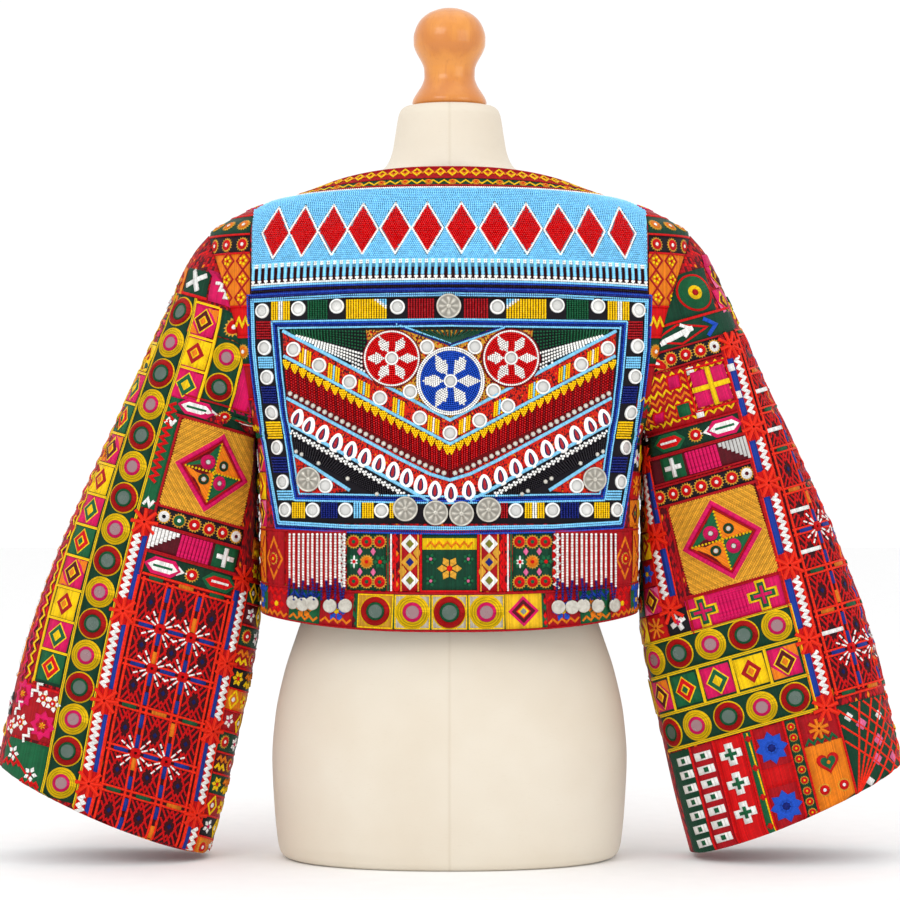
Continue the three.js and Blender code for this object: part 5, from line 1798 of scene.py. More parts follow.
        laid = joined(ground + cords)
        made = [sewn_piece("bead_panel_backing", [(chart, laid)], "beads_blue")]
        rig.replaces(made[0], "bead_panel")
        made.append(sewn_piece("bead_panel_beads", [(chart, work.shape())], "beads_blue"))
        origins, frames = chart.frames(*places(chart, MIRRORS).T)
        made.append(sewn_piece("panel_mirrors", [(chart, stamp(button_mirror(), origins, frames))],
                               "beads_white"))
        origins, frames = chart.frames(*places(chart, COWRIES).T)
        lean = np.interp(np.array(COWRIES)[:, 0], [298, 451, 604], [26, 0, -26])
        shells = joined([stamp(cowrie_shell().turned(-a), o[None], f[None])
                         for a, o, f in zip(lean, origins, frames)])
        made.append(sewn_piece("panel_cowries", [(chart, shells)], "beads_white"))
        for name, (u, v) in COINS.items():
            origins, frames = chart.frames(*places(chart, [(u, v)]).T)
            coin = stamp(stamped_coin(), origins, frames)
            piece = sewn_piece(name + "_stamped", [(chart, coin)], "coin_metal")
            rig.replaces(piece, name)
            made.append(piece)
        for name, (u, v, radius, tint) in ROSETTES.items():
            made.append(self.rosette(chart, name, u, v, radius, tint))
        return made

    def rosette(self, chart, name, u, v, radius, tint):
        """Beads in rings round a mirror: white rim, six white lozenges on a coloured ground."""
        disc = spun([0.01, radius * 0.5, radius, radius + 0.5], [2.5, 2.5, 2.5, 0.6], 48,
                    colour(tint) * 0.3, 5)
        spots, tints, r = [], [], 7.6
        while r < radius - 0.2:
            count = int(round(2 * np.pi * r / 2.0))
            angle = (np.arange(count) + 0.5 * (len(spots) % 2)) / count * 2 * np.pi
            along_petal = np.abs((angle + np.pi / 6) % (np.pi / 3) - np.pi / 6)
            share = (r - 7.2) / (radius - 10.6)
            wide = 5.2 * radius / 28 * np.clip(np.minimum(0.25 + share * 1.7, (1 - share) * 2.1), 0, 1)
            white = (along_petal * r < wide) | (r > radius - 3.2)
            spots.append(np.stack([r * np.cos(angle), r * np.sin(angle)], -1))
            tints.append(np.where(white[:, None], colour("white"), colour(tint)))
            r += 2.02
        ring = beads(np.concatenate(spots), np.concatenate(tints), 1.14, 3.1)
        mirror = button_mirror(6.6).moved(lift=2.0)
        shape = stamp(disc + ring + mirror, *chart.frames(*places(chart, [(u, v)]).T))
        piece = sewn_piece(name + "_beads", [(chart, shape)], "beads_red")
        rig.replaces(piece, name)
        return piece


YOKE_SAG = 4.8  # how far the yoke's lower edge hangs lower at its ends


class TOP_OT_yoke(TopOperator, bpy.types.Operator):
    """Beaded yoke with its diamonds, and the short strands under it"""

    bl_idname = "top.yoke"
    bl_label = "Yoke"

    def make(self, context):
        """Diamonds and rows of beads above, then the short strands with their two cords."""
        chart = body_chart(-1)
        eta_of = partial(eta_at, chart)

        def xi_at(eta, x):
            """The xi at which a row of the chart crosses x: the row's own points, read backwards."""
            xi = np.linspace(-1, 1, 401) * np.interp(eta, chart.eta, chart.half)
            line = chart.place(xi, eta + 0 * xi, 0 * xi)[:, 0]
            order = np.argsort(line)
            return np.interp(x, line[order], xi[order])

        def sag(x):
            """How much lower the yoke hangs at x: a parabola across the back."""
            return YOKE_SAG * (np.asarray(x) / 190.0) ** 2

        work = Beadwork(chart)
        centres = np.array([276.5, 304, 333, 363, 395.5, 427.5, 461.5, 495, 526.5, 559, 590, 621.5], float)
        away = (centres - SHEET_MIDDLE[0]) / 174
        heights = 228.2 + 5.6 * away**2
        half_u = np.interp(np.abs(away), [0, 0.63, 1], [15.6, 15.2, 13.6])
        lean = -3.3 * np.sign(away) * away**2
        half_v = 25.0
        low, high = eta_of(586.4), eta_of(652.6)
        rows = np.arange(low + 3.6, high, 1.88)
        for u, v, a, tip in zip(centres, heights, half_u, lean):
            outline = [(u + tip, v - half_v), (u + a, v), (u - tip, v + half_v), (u - a, v),
                       (u + tip, v - half_v)]
            work.put(along(trace(chart, outline, 5), 2.1), "white", radius=1.35, lift=1.5, room=1.3)
        spots = []
        for k, eta in enumerate(rows):
            edge = 191 if eta < eta_of(640) else np.interp(eta, [eta_of(640), eta_of(652.4)], [191, 166])
            ends = xi_at(eta, np.array([-edge, edge]))
            xi = np.arange(ends.min() + 1, ends.max() - 0.5, 2.02) + (k % 2)
            rise = (high - eta) / (high - low)
            spots.append(np.stack([xi, eta - sag(xi) * rise], -1))
        spots = np.concatenate(spots)
        shown = on_sheet(chart.place(spots[:, 0], spots[:, 1], 0 * spots[:, 0]))
        down = (shown[:, None, 1] - heights) / half_v
        inside = (np.abs(shown[:, None, 0] - centres + lean * down) / half_u + np.abs(down) < 1).any(1)
        top = spots[:, 1] > rows[-1] - 1.5
        tints = np.where(inside[:, None], colour("red"), colour("sky"))
        work.put(spots, np.where(top[:, None], colour("white"), tints), lift=1.3)
        across = np.linspace(-190.5, 190.5, 60)
        for k, radius in ((0, 1.35), (2.1, 1.35)):
            line = np.stack([np.sign(xi_at(low, 1.0)) * across * 1.012, low + k - sag(across)], -1)
            work.put(along(line, 2.1), "white", radius=radius, lift=1.5)
        marks = np.linspace(low - YOKE_SAG, high, 16)
        ends = np.interp(marks, [low, eta_of(640), high], [192, 192, 167])
        edges = np.array([xi_at(eta, np.array([-1.0, 1.0]) * end) for eta, end in zip(marks, ends)])
        ground = [band_of(np.stack([edges[:, 0], marks], -1), np.stack([edges[:, 1], marks], -1),
                          colour("sky") * 0.55, 0.6)]
        made = [sewn_piece("yoke_beads", [(chart, joined(ground + [work.shape()]))], "beads_sky")]
        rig.replaces(made[0], "yoke_panel")

        work = Beadwork(chart)
        marks = np.linspace(eta_of(548.0), eta_of(587.0), 9)
        edges = np.array([xi_at(eta, np.array([-193.5, 193.5])) for eta in marks])
        ground = [band_of(np.stack([edges[:, 0], marks], -1), np.stack([edges[:, 1], marks], -1),
                          colour("maroon") * 0.35, 0.4)]
        for x in np.linspace(-189, 189, 61):
            upper, lower = eta_of(588.6) - sag(x), eta_of(575.4) - sag(x)
            line = np.array([[xi_at(upper, x), upper], [xi_at(lower, x) + 0.6 * np.sign(x), lower]])
            strand = along(line, 2.3)
            work.put(strand, "sky", radius=2.0, lift=1.9, room=1.2)
            end = strand[-1:] + (0, -2.9)
            work.put(np.concatenate([end + (-0.9, 0), end + (0.9, 0), end + (0, -1.2)]), "white",
                     radius=1.35, lift=1.7, room=0.6)
        side = np.sign(xi_at(low, 1.0))
        for z, tint, radius in (
            (569.6, "white", 1.3), (567.4, "sky", 1.3), (565.2, "blue", 1.1), (562.8, "black", 1.1),
            (560.6, "navy", 1.2), (558.4, "navy", 1.2), (556.2, "black", 1.1), (554.0, "navy", 1.2),
            (551.8, "black", 1.1),
        ):
            line = np.stack([side * across * 1.018, eta_of(z) - sag(across) * (z > 556)], -1)
            work.put(along(line, 2.1), tint, radius=radius)
        made.append(sewn_piece("yoke_fringe_beads", [(chart, joined(ground + [work.shape()]))],
                               "beads_sky"))
        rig.replaces(made[1], "yoke_fringe")
        return made


# ---------------------------------------------------------------- stitched motifs, each in its own mm

def mirror_round(kind, radius=14.6):
    """A round mirror ringed in thread: "red" has a green inner ring, "yellow" a pink one. The glass is grey mixed with
    its inner ring's colour, a painted reflection of that ring.
    """
    red = kind == "red"
    inner = "green" if red else "magenta"
    # painted reflection: the glass is grey mixed with the colour of its inner ring
    glass = mixed("magenta", "grey", np.array(0.72)) * 0.8
    if red:
        glass = mixed("forest", "grey", np.array(0.28))
    k = radius / 14.6
    rings = spun(k * np.array([13.2, 13.7, 14.4, 14.8]), [0.6, 1.1, 0.9, 0.05], 28, colour("yellow") * 0.9)
    if red:
        body = satin_ring(8.2 * k, 13.8 * k, colour("red") * 0.6, 2.4, 28)
    else:
        ridges = k * np.arange(8.2, 13.9, 0.7)
        shades = np.where(np.arange(len(ridges)) % 3 == 0, 0.5, 1.0)[:, None] * colour("yellow")
        body = spun(ridges, [0.5] + [(1.5, 0.8)[i % 2] for i in range(len(ridges) - 2)] + [0.4], 28, None,
                    tints=shades)
    first, edge = (6.2, 6.8) if red else (5.4, 6.0)
    collar = satin_ring(first * k, 8.6 * k, colour(inner) * (0.8 if red else 1.0), 2.1, 26)
    mirror = spun(k * edge * np.array([0.01, 0.36, 0.7, 1.0]), [0.95, 0.95, 1.0, 1.0], 20, glass, 3)
    return rings + body + collar + mirror


def rhombus(a, b):
    """Corners of a rhombus from its half width and half height."""
    return np.array([(0, b), (-a, 0), (0, -b), (a, 0)], float)


def square(a, b=None):
    """Corners of a square or an oblong from its half sides."""
    b = a if b is None else b
    return np.array([(-a, -b), (a, -b), (a, b), (-a, b)], float)


def square_patch(half, tint, high=0.25, base=0.02, grain=0.0):
    """A square patch of stitching of given half width, or an oblong of half width and half height."""
    return field(square(*np.broadcast_to(half, 2))[::-1], tint, high, base, grain=grain)


def edged(outline, width, tint, high=0.8, base=0.3, **how):
    """A padded line round an outline."""
    return ribbon(outline, width, colour(tint), high=high, base=base, closed=True, **how)


def diamond_square(ground, other, dark, middle, size=14.5):
    """A square of two ground colours with a rhombus in it: yellow line, dark band, bright heart."""
    k = size / 14.5
    shape = square_patch(size, colour(ground), high=0.3)
    corner = plate([(size, size), (size, 1), (1, size)], colour(other), high=0.3, base=0.15, soft=0.4)
    shape += corner + plate([(-size, -size), (-size, -1), (-1, -size)], colour(other), high=0.3, base=0.15,
                            soft=0.4)
    shape += plate(rhombus(11.5 * k, 13.6 * k), "yellow", high=0.35, base=0.3, soft=0.5)
    shape += plate(rhombus(10.2 * k, 12.0 * k), colour(dark), high=0.55, base=0.45, soft=0.8, grain=40)
    shape += plate(rhombus(5.2 * k, 6.2 * k), "yellow", high=0.4, base=0.9, soft=0.5)
    return shape + plate(rhombus(3.6 * k, 4.4 * k), colour(middle), high=0.5, base=1.05, soft=0.6)


def rosette(radius=7.0, ring="red", heart="white"):
    """A small flower: short gold rays, a red ring, a pale heart."""
    sides = 32
    angle = np.arange(sides) / sides * 2 * np.pi
    saw = radius * np.where(np.arange(sides) % 2, 0.8, 1.04)
    direction = np.stack([np.cos(angle), np.sin(angle)], -1)
    rings = [np.concatenate([direction * r, np.full((sides, 1), z)], 1) for r, z in (
        (0.4 * radius, 0.7), (saw[:, None] * 0.85, 0.6), (saw[:, None], 0.1))]
    rays = Shape(np.concatenate(rings), grid_faces(3, sides, True, flip=True), "gold")
    return rays + satin_ring(radius * 0.22, radius * 0.74, colour(ring), 0.9, 16, 0.35) + satin_disc(
        radius * 0.26, colour(heart), 0.7, 10, 0.6)


def star(long=15.0, wide=3.9, tint="vermilion", arms=8, high=1.2):
    """Long straight stitches crossing at a middle."""
    out = []
    for k in range(arms):
        a = 2 * np.pi * k / arms + 0.12
        d = np.array([np.cos(a), np.sin(a)])
        out.append(ribbon([d * 1.2, d * long * (1 if k % 2 else 0.9)], wide, colour(tint), high, 0.4
                          + 0.04 * k, step=9, grain="along"))
    return joined(out)


def lozenge(outer, inner, bar, wide=19.0, tall=8.6):
    """A six-sided patch with a bar laid along it."""
    def six(a, b, c):
        """Corners of a long hexagon whose points are c long."""
        return np.array([(-a, 0), (-a + c, -b), (a - c, -b), (a, 0), (a - c, b), (-a + c, b)])
    return (
        plate(six(wide, tall, 9), colour(outer), high=0.8, base=0.3, soft=1.2, grain=90)
        + plate(six(wide - 3.6, tall - 3.2, 7), colour(inner), high=0.7, base=0.75, soft=1.0)
        + ribbon([(-wide * 0.5, 0), (wide * 0.5, 0)], 2.8, colour(bar), 1.0, 1.1)
    )


def plus(arm, wide, tint, high=0.8, base=0.5):
    """A cross of four brick-stitched arms."""
    half = wide / 2
    flat = field([(-arm, half), (arm, half), (arm, -half), (-arm, -half)], colour(tint), high, base)
    tall = field([(-half, arm), (half, arm), (half, -arm), (-half, -arm)], colour(tint), high + 0.04, base)
    return flat + tall


def bricks(columns, wide, pitch, tint, base=0.4, high=0.9, gap=0.5):
    """Upright bars of stitching side by side: columns is a list of (bottom, top)."""
    out = []
    for k, (low, top) in enumerate(columns):
        if top - low > 0.5:
            x = -wide / 2 + (k + 0.5) * pitch
            out.append(ribbon([(x, low), (x, top)], pitch - gap, colour(tint), high, base, step=3.4))
    return joined(out)


def flower(tint, heart, size=9.0, petals=6):
    """Blunt petals round a heart."""
    out = []
    for k in range(petals):
        a = 2 * np.pi * k / petals
        d, n = np.array([np.cos(a), np.sin(a)]), np.array([-np.sin(a), np.cos(a)])
        out.append(plate([d * 1.2, d * size * 0.6 - n * size * 0.3, d * size, d * size * 0.6
                          + n * size * 0.3], colour(tint), high=0.8, base=0.35, soft=0.9,
                         grain=np.degrees(a)))
    return joined(out) + satin_disc(size * 0.26, colour(heart), 0.9, 10, 0.7)


def heart_patch():
    """A heart in two colours: x = 16 sin^3 t, y = 13 cos t - 5 cos 2t - 2 cos 3t - cos 4t."""
    t = np.linspace(0, 2 * np.pi, 24, endpoint=False)
    line = np.stack([16 * np.sin(t) ** 3,
                     13 * np.cos(t) - 5 * np.cos(2 * t) - 2 * np.cos(3 * t) - np.cos(4 * t)], -1)
    patch = plate(line * 0.72, colour("red") * 0.8, 0.7, 0.4, soft=1.0) + plate(line * 0.5, "green", 0.6,
            0.8)
    return patch + satin_disc(2.0, "orange", 0.7, 10, 1.3)


def gold_square(half=44.0):
    """Laid gold cord in four corners round a crimson rhombus, its heart quartered in orange and green."""
    a = 0.88 * half
    shape = square_patch(half, colour("crimson") * 0.45, high=0.2)
    cord = []
    for sx in (-1, 1):
        for sy in (-1, 1):
            for row, k in enumerate(np.arange(1.6, 2 * half - a, 2.75)):
                reach_in = 2 * half - a - k
                if reach_in > 1.5:
                    start = np.array([sx * (half - reach_in), sy * half])
                    end = np.array([sx * half, sy * (half - reach_in)])
                    cord.append(ribbon([start, end], 1.9, colour("gold") * (1.2, 0.9, 1.1)[row % 3], 0.9,
                                       0.2, step=12, grain="across"))
    shape += joined(cord)
    shape += plate(rhombus(a + 1.5, a + 1.5), "maroon", 0.4, 0.25, soft=1) + edged(rhombus(a - 2, a - 2),
            5.0, "magenta", 2.2, 0.5)
    shape += edged(rhombus(a - 7.0, a - 7.0), 2.4, "crimson", 1.6, 0.5)
    b = a - 8.6
    for k, tint in enumerate(("orange", "green", "orange", "green")):
        t = np.radians(90 * k)
        d = np.array([np.cos(t), np.sin(t)])
        n = np.array([np.cos(t + np.pi / 2), np.sin(t + np.pi / 2)])
        shape += plate([(0, 0), d * b, n * b], colour(tint) * (1.0 if tint == "green" else 1.05), 0.5, 0.5,
                       soft=0.6, grain=45 + 90 * k)
        middle = (d + n) * b * 0.29
        ring, wide = ("magenta", 7.4) if tint == "green" else ("forest", 5.4)
        shape += (satin_ring(2.6, wide, colour(ring), 1.5, 18, 0.8)
                  + satin_disc(2.4, colour("white") * 0.75, 1.0, 8, 1.0)).moved(*middle)
    for d in ((1, 0), (0, 1)):
        d = np.array(d, float)
        spots = np.arange(-b + 1, b, 3.4)[:, None] * d
        shape += stamp(satin_disc(1.25, "yellow", 0.9, 7, 1.0), spots)
    return shape


def wavy(start, end, swing, tint="white", width=3.0, step=3.9, high=1.3):
    """A zigzag line of stitches from start to end."""
    start, end = np.asarray(start, float), np.asarray(end, float)
    length = np.linalg.norm(end - start)
    count = max(3, int(length / step))
    d = (end - start) / length
    n = np.array([-d[1], d[0]])
    t = np.linspace(0, 1, count + 1)
    side = swing * np.where(np.arange(count + 1) % 2, 1, -1)
    return ribbon(start + t[:, None] * (end - start) + side[:, None] * n, width, colour(tint), high, 0.45,
                  step=6)


class Needlework:
    """Patches, lines and motifs stitched on a chart, placed by the sheet or by the chart itself."""

    def __init__(self, chart, sheet=False):
        """Nothing sewn yet on the chart, and nothing covered."""
        self.chart, self.sheet, self.sewn, self.covered = chart, sheet, [], []

    def at(self, points):
        """Places in the chart's own coordinates."""
        points = np.asarray(points, float).reshape(-1, 2)
        return places(self.chart, points) if self.sheet else points

    def patch(self, corners, tint, high=0.22, base=0.3, finish_number=0, grain=0.0, mark=True):
        """A four-sided patch of stitching; the filler leaves its place free."""
        flat = self.at(corners)
        self.sewn.append(field(flat, colour(tint) if isinstance(tint, str) else tint, high, base, 7.0,
                               grain, finish_number))
        if mark:
            self.covered.append(flat)

    def box(self, x0, y0, x1, y1, tint, **how):
        """An upright oblong patch between two corners."""
        self.patch([(x0, y0), (x1, y0), (x1, y1), (x0, y1)], tint, **how)

    def line(self, points, width, tint, high=0.7, base=0.4, **how):
        """A padded line of stitches through the points."""
        flat = trace(self.chart, points) if self.sheet else np.asarray(points, float)
        self.sewn.append(ribbon(flat, width, colour(tint), high, base, **how))

    def couched(self, points, width):
        """A cord of yellow thread laid along the points."""
        self.line(points, width, "yellow", 0.9, grain="along")

    def cover(self, x0, y0, x1, y1):
        """Keep the filler out of an oblong."""
        self.covered.append(np.array([(x0, y0), (x1, y0), (x1, y1), (x0, y1)]))

    def motif(self, shape, x, y, turn=0.0, lift=0.3):
        """A motif laid at one or more places, bent to the cloth there."""
        spots = self.at(np.stack(np.broadcast_arrays(np.asarray(x, float), np.asarray(y, float)), -1))
        self.sewn.append(stamp(shape, *self.chart.frames(spots[:, 0], spots[:, 1], turn), lift=lift))

    def fill(self, x0, y0, x1, y1, cell=27.0, seed=1):
        """Small patches, a different one in each cell, wherever nothing else is stitched."""
        dice = np.random.default_rng(seed)
        half = cell / 2 - 0.6
        kinds = [
            square_patch(half, "forest", 0.25) + rosette(9),
            diamond_square("magenta", "pink", "maroon", "orange", half),
            diamond_square("yellow", "orange", "crimson", "yellow", half),
            square_patch(half, colour("red") * 0.7, 0.25) + flower("blue", "yellow", 10.5),
            square_patch(half, "black", 0.25) + plus(8.5, 5, "white").turned(20)
            + plus(3, 2.4, "magenta", 0.4, 1.1), square_patch(half, colour("red") * 0.8, 0.25)
            + star(11, 2.6, "orange", 8, 0.8), square_patch(half, "orange", 0.25, grain=45)
            + edged(rhombus(8, 8), 2.2, "maroon") + satin_disc(3, "green", 0.8),
            square_patch(half, "crimson", 0.25) + wavy((-10, 3), (10, 3), 2.2, "yellow", 2.2)
            + wavy((-10, -5), (10, -5), 2.2, "green", 2.2),
        ]
        xs, ys = np.arange(x0 + cell / 2, x1, cell), np.arange(y0 + cell / 2, y1, cell)
        for row, y in enumerate(ys):
            picks = dice.permutation(np.arange(len(xs)) + row) % len(kinds)
            for x, pick in zip(xs, picks):
                spot = np.array([x, y])
                if not self.chart.spot(x, y)[2] and not any(inside(c, spot, 3.0) for c in self.covered):
                    self.sewn.append(stamp(kinds[pick], *self.chart.frames([x], [y]), lift=0.05))

    def shape(self):
        """Everything sewn, as one motif."""
        return joined(self.sewn)


def inside(corners, spot, margin):
    """Whether a place lies within a four-sided patch or nearer to it than the margin."""
    c = np.asarray(corners)
    middle = c.mean(0)
    for a, b in zip(c, np.roll(c, -1, 0)):
        n = np.array([a[1] - b[1], b[0] - a[0]])
        n = n / max(np.linalg.norm(n), 1e-6)
        n = n * np.sign((middle - a) @ n or 1)
        if (spot - a) @ n < -margin:
            return False
    return True


def mirror_column(work, places_of, first="red", radius=15.2):
    """Round mirrors in a row, red and yellow by turns."""
    spots = np.asarray(places_of, float)
    for kind, pick in (("red", spots[0::2]), ("yellow", spots[1::2])):
        if first == "yellow":
            kind = "yellow" if kind == "red" else "red"
        if len(pick):
            work.motif(mirror_round(kind, radius), pick[:, 0], pick[:, 1])


def star_column(work, x, stops, wide=18.0, strip="blue", side=1):
    """A column of eight-pointed stars with a white zigzag and a dark strip between them."""
    for a, b in zip(stops[:-1], stops[1:]):
        work.box(x - wide / 2, a, x + wide / 2, b, colour("red") * 0.85, base=0.3)
        work.box(x + side * wide * 0.1, a + 13, x + side * wide * 0.46, b - 13,
                 mixed("navy", strip, np.array(0.4)), base=0.5, high=0.5, mark=False)
        work.sewn.append(wavy((x - side * wide * 0.2, a + 13), (x - side * wide * 0.2, b - 13), 2.5,
                              width=3.9, step=3.5))
    work.motif(star(), x, np.asarray(stops), lift=0.4)
    for edge in (-1, 1):
        work.line([(x + edge * wide / 2, stops[0]), (x + edge * wide / 2, stops[-1])], 1.8, "vermilion",
                  0.9)


def lattice(work, columns, rows, white_rows=(), bar="blue"):
    """Red bars over dark cells, each crossed by curling red stitches, with blue and orange inlays."""
    x0, x1, y0, y1 = columns[0], columns[-1], rows[0], rows[-1]
    inlay = colour("navy") * 0.6 + colour(bar) * 0.3
    work.box(x0, y0, x1, y1, colour("maroon") * 0.45, base=0.3)
    for a, b in zip(columns[:-1], columns[1:]):
        for c, d in zip(rows[:-1], rows[1:]):
            w, h = (b - a) / 2 - 5, (d - c) / 2 - 4.5
            curl = [ribbon(p, 2.1, colour("red") * 0.85, 0.7, 0.5, step=6) for p in (
                [(-w, -h), (-w * 0.3, -h * 0.3)], [(-w, h), (-w * 0.3, h * 0.3)],
                [(w, -h), (w * 0.3, -h * 0.3)], [(w, h), (w * 0.3, h * 0.3)],
                [(0, -h), (w * 0.66, 0), (0, h), (-w * 0.66, 0), (0, -h)],
                [(-w, -h * 0.45), (-w * 0.55, 0), (-w, h * 0.45)],
                [(w, -h * 0.45), (w * 0.55, 0), (w, h * 0.45)],
                [(-w * 0.55, -h), (0, -h * 0.55), (w * 0.55, -h)],
                [(-w * 0.55, h), (0, h * 0.55), (w * 0.55, h)]
            )]
            heart = plate(rhombus(2.4, 3.0), colour("navy") * 0.5, 0.3, 0.9)
            work.sewn.append(joined(curl + [heart]).moved((a + b) / 2, (c + d) / 2, 0))
    for k, x in enumerate(columns):
        for side in (-2.9, 2.9):
            work.line([(x + side, y0), (x + side, y1)], 2.7, "vermilion", 1.0, 0.55)
        for j, (c, d) in enumerate(zip(rows[:-1], rows[1:])):
            for way in (-1, 1):
                m, span = (c + d) / 2 + way * (d - c) * 0.23, (d - c) * 0.15
                tint = "orange" if (2 * j + (way > 0) + 2 * k) % 5 == 0 else inlay
                if 0 < k < len(columns) - 1:
                    work.box(x - 2.0, m - span, x + 2.0, m + span, tint, base=0.8, high=0.9, mark=False)
    for j, y in enumerate(rows):
        for side in (-2.7, 2.7):
            work.line([(x0, y + side), (x1, y + side)], 2.5, "vermilion", 1.0, 0.6)
        for k, (a, b) in enumerate(zip(columns[:-1], columns[1:])):
            m, span = (a + b) / 2, (b - a) * 0.24
            other = colour(("green", "orange", "green")[(j + k) % 3]) * 0.8
            tint = inlay if j in white_rows else other
            work.box(m - span, y - 1.9, m + span, y + 1.9, tint, base=0.85, high=0.8, mark=False)
        if j in white_rows:
            rays = []
            for a in (28, 55, 125, 152, 208, 235, 305, 332):
                d = np.array([np.cos(np.radians(a)), np.sin(np.radians(a))])
                rays += [ribbon([d * 6, d * 12], 1.7, "white", 0.9, 0.9),
                         ribbon([d * 14, d * 18.5], 1.7, "white", 0.9, 0.9)]
            spark = joined(rays) + satin_ring(1.4, 5.0, "red", 1.4, 14, 0.9)
            work.motif(spark, np.array(columns[1:-1], float), y, lift=0.3)


def strip_of(work, x0, x1, y, tall, ground):
    """A narrow band across, edged in red."""
    work.box(x0, y - tall / 2, x1, y + tall / 2, ground)
    for edge in (-1, 1):
        work.line([(x0, y + edge * tall / 2), (x1, y + edge * tall / 2)], 2.0, "crimson", 0.9)


def lozenge_band(work, x, y, flip=1):
    """Two lozenges with a flower between them on a dark band."""
    work.motif(lozenge("magenta", "white", "green"), x - flip * 29, y)
    work.motif(rosette(7.4), x, y)
    for side in (-1, 1):
        work.motif(plate([(0, 0), (5, 7.5), (-5, 7.5)], "white", 0.6, 0.3), x - flip * 7, y, turn=90 * side)
    work.motif(lozenge("green", "red", "white"), x + flip * 29, y)


def block_band(work, x, y, tall, flip=1):
    """Stepped white bricks, magenta bars and a white cross on green."""
    steps = [(-tall / 2 + 1.5, tall / 2 - 1.5 - 2.6 * k) for k in range(8)]
    white = bricks([(-b, -a) for a, b in steps], 8 * 3.6, 3.6, "white", 0.5, 1.1)
    work.motif(white if flip > 0 else white.sized(-1, 1), x - flip * 33, y)
    work.motif(bricks([(-tall / 2 + 1.5, tall / 2 - 1.5)] * 9, 9 * 3.6, 3.6, "magenta", 0.5, 1.0), x - flip,
               y)
    work.motif(field([(-13, tall / 2 - 1.5), (13, tall / 2 - 1.5), (13, 1.5 - tall / 2),
                      (-13, 1.5 - tall / 2)], colour("green") * 0.8, 0.4, 0.3)
               + plus(9.5, 4.6, "white", 0.9, 0.7), x + flip * 31, y)


def rosette_band(work, x0, x1, y, count, tall=19, flip=1):
    """A row of small flowers on black, mostly red, with a white one at its end."""
    strip_of(work, x0, x1, y, tall, "black")
    looks = [("white", "black"), ("green", "white")] + [("red", "white")] * (count - 3) + [("white",
            "maroon")]
    if flip < 0:
        looks = [("red", "white")] * (count - 1) + [("white", "maroon")]
    spots = np.linspace(x0 + 8, x1 - 8, count)
    for x, (ring, heart) in zip(spots, looks):
        work.motif(rosette(7.6, ring, heart), x, y)


def diamond_column(work, spots, size=14.2):
    """Squares with a rhombus in each, four looks by turns."""
    looks = [("magenta", "orange", "maroon", "orange"), ("yellow", "yellow", "crimson", "orange"),
             ("magenta", "magenta", "green", "yellow"), ("green", "green", "red", "green")]
    for k, (x, y) in enumerate(spots):
        work.motif(diamond_square(*looks[k % 4], size), x, y)


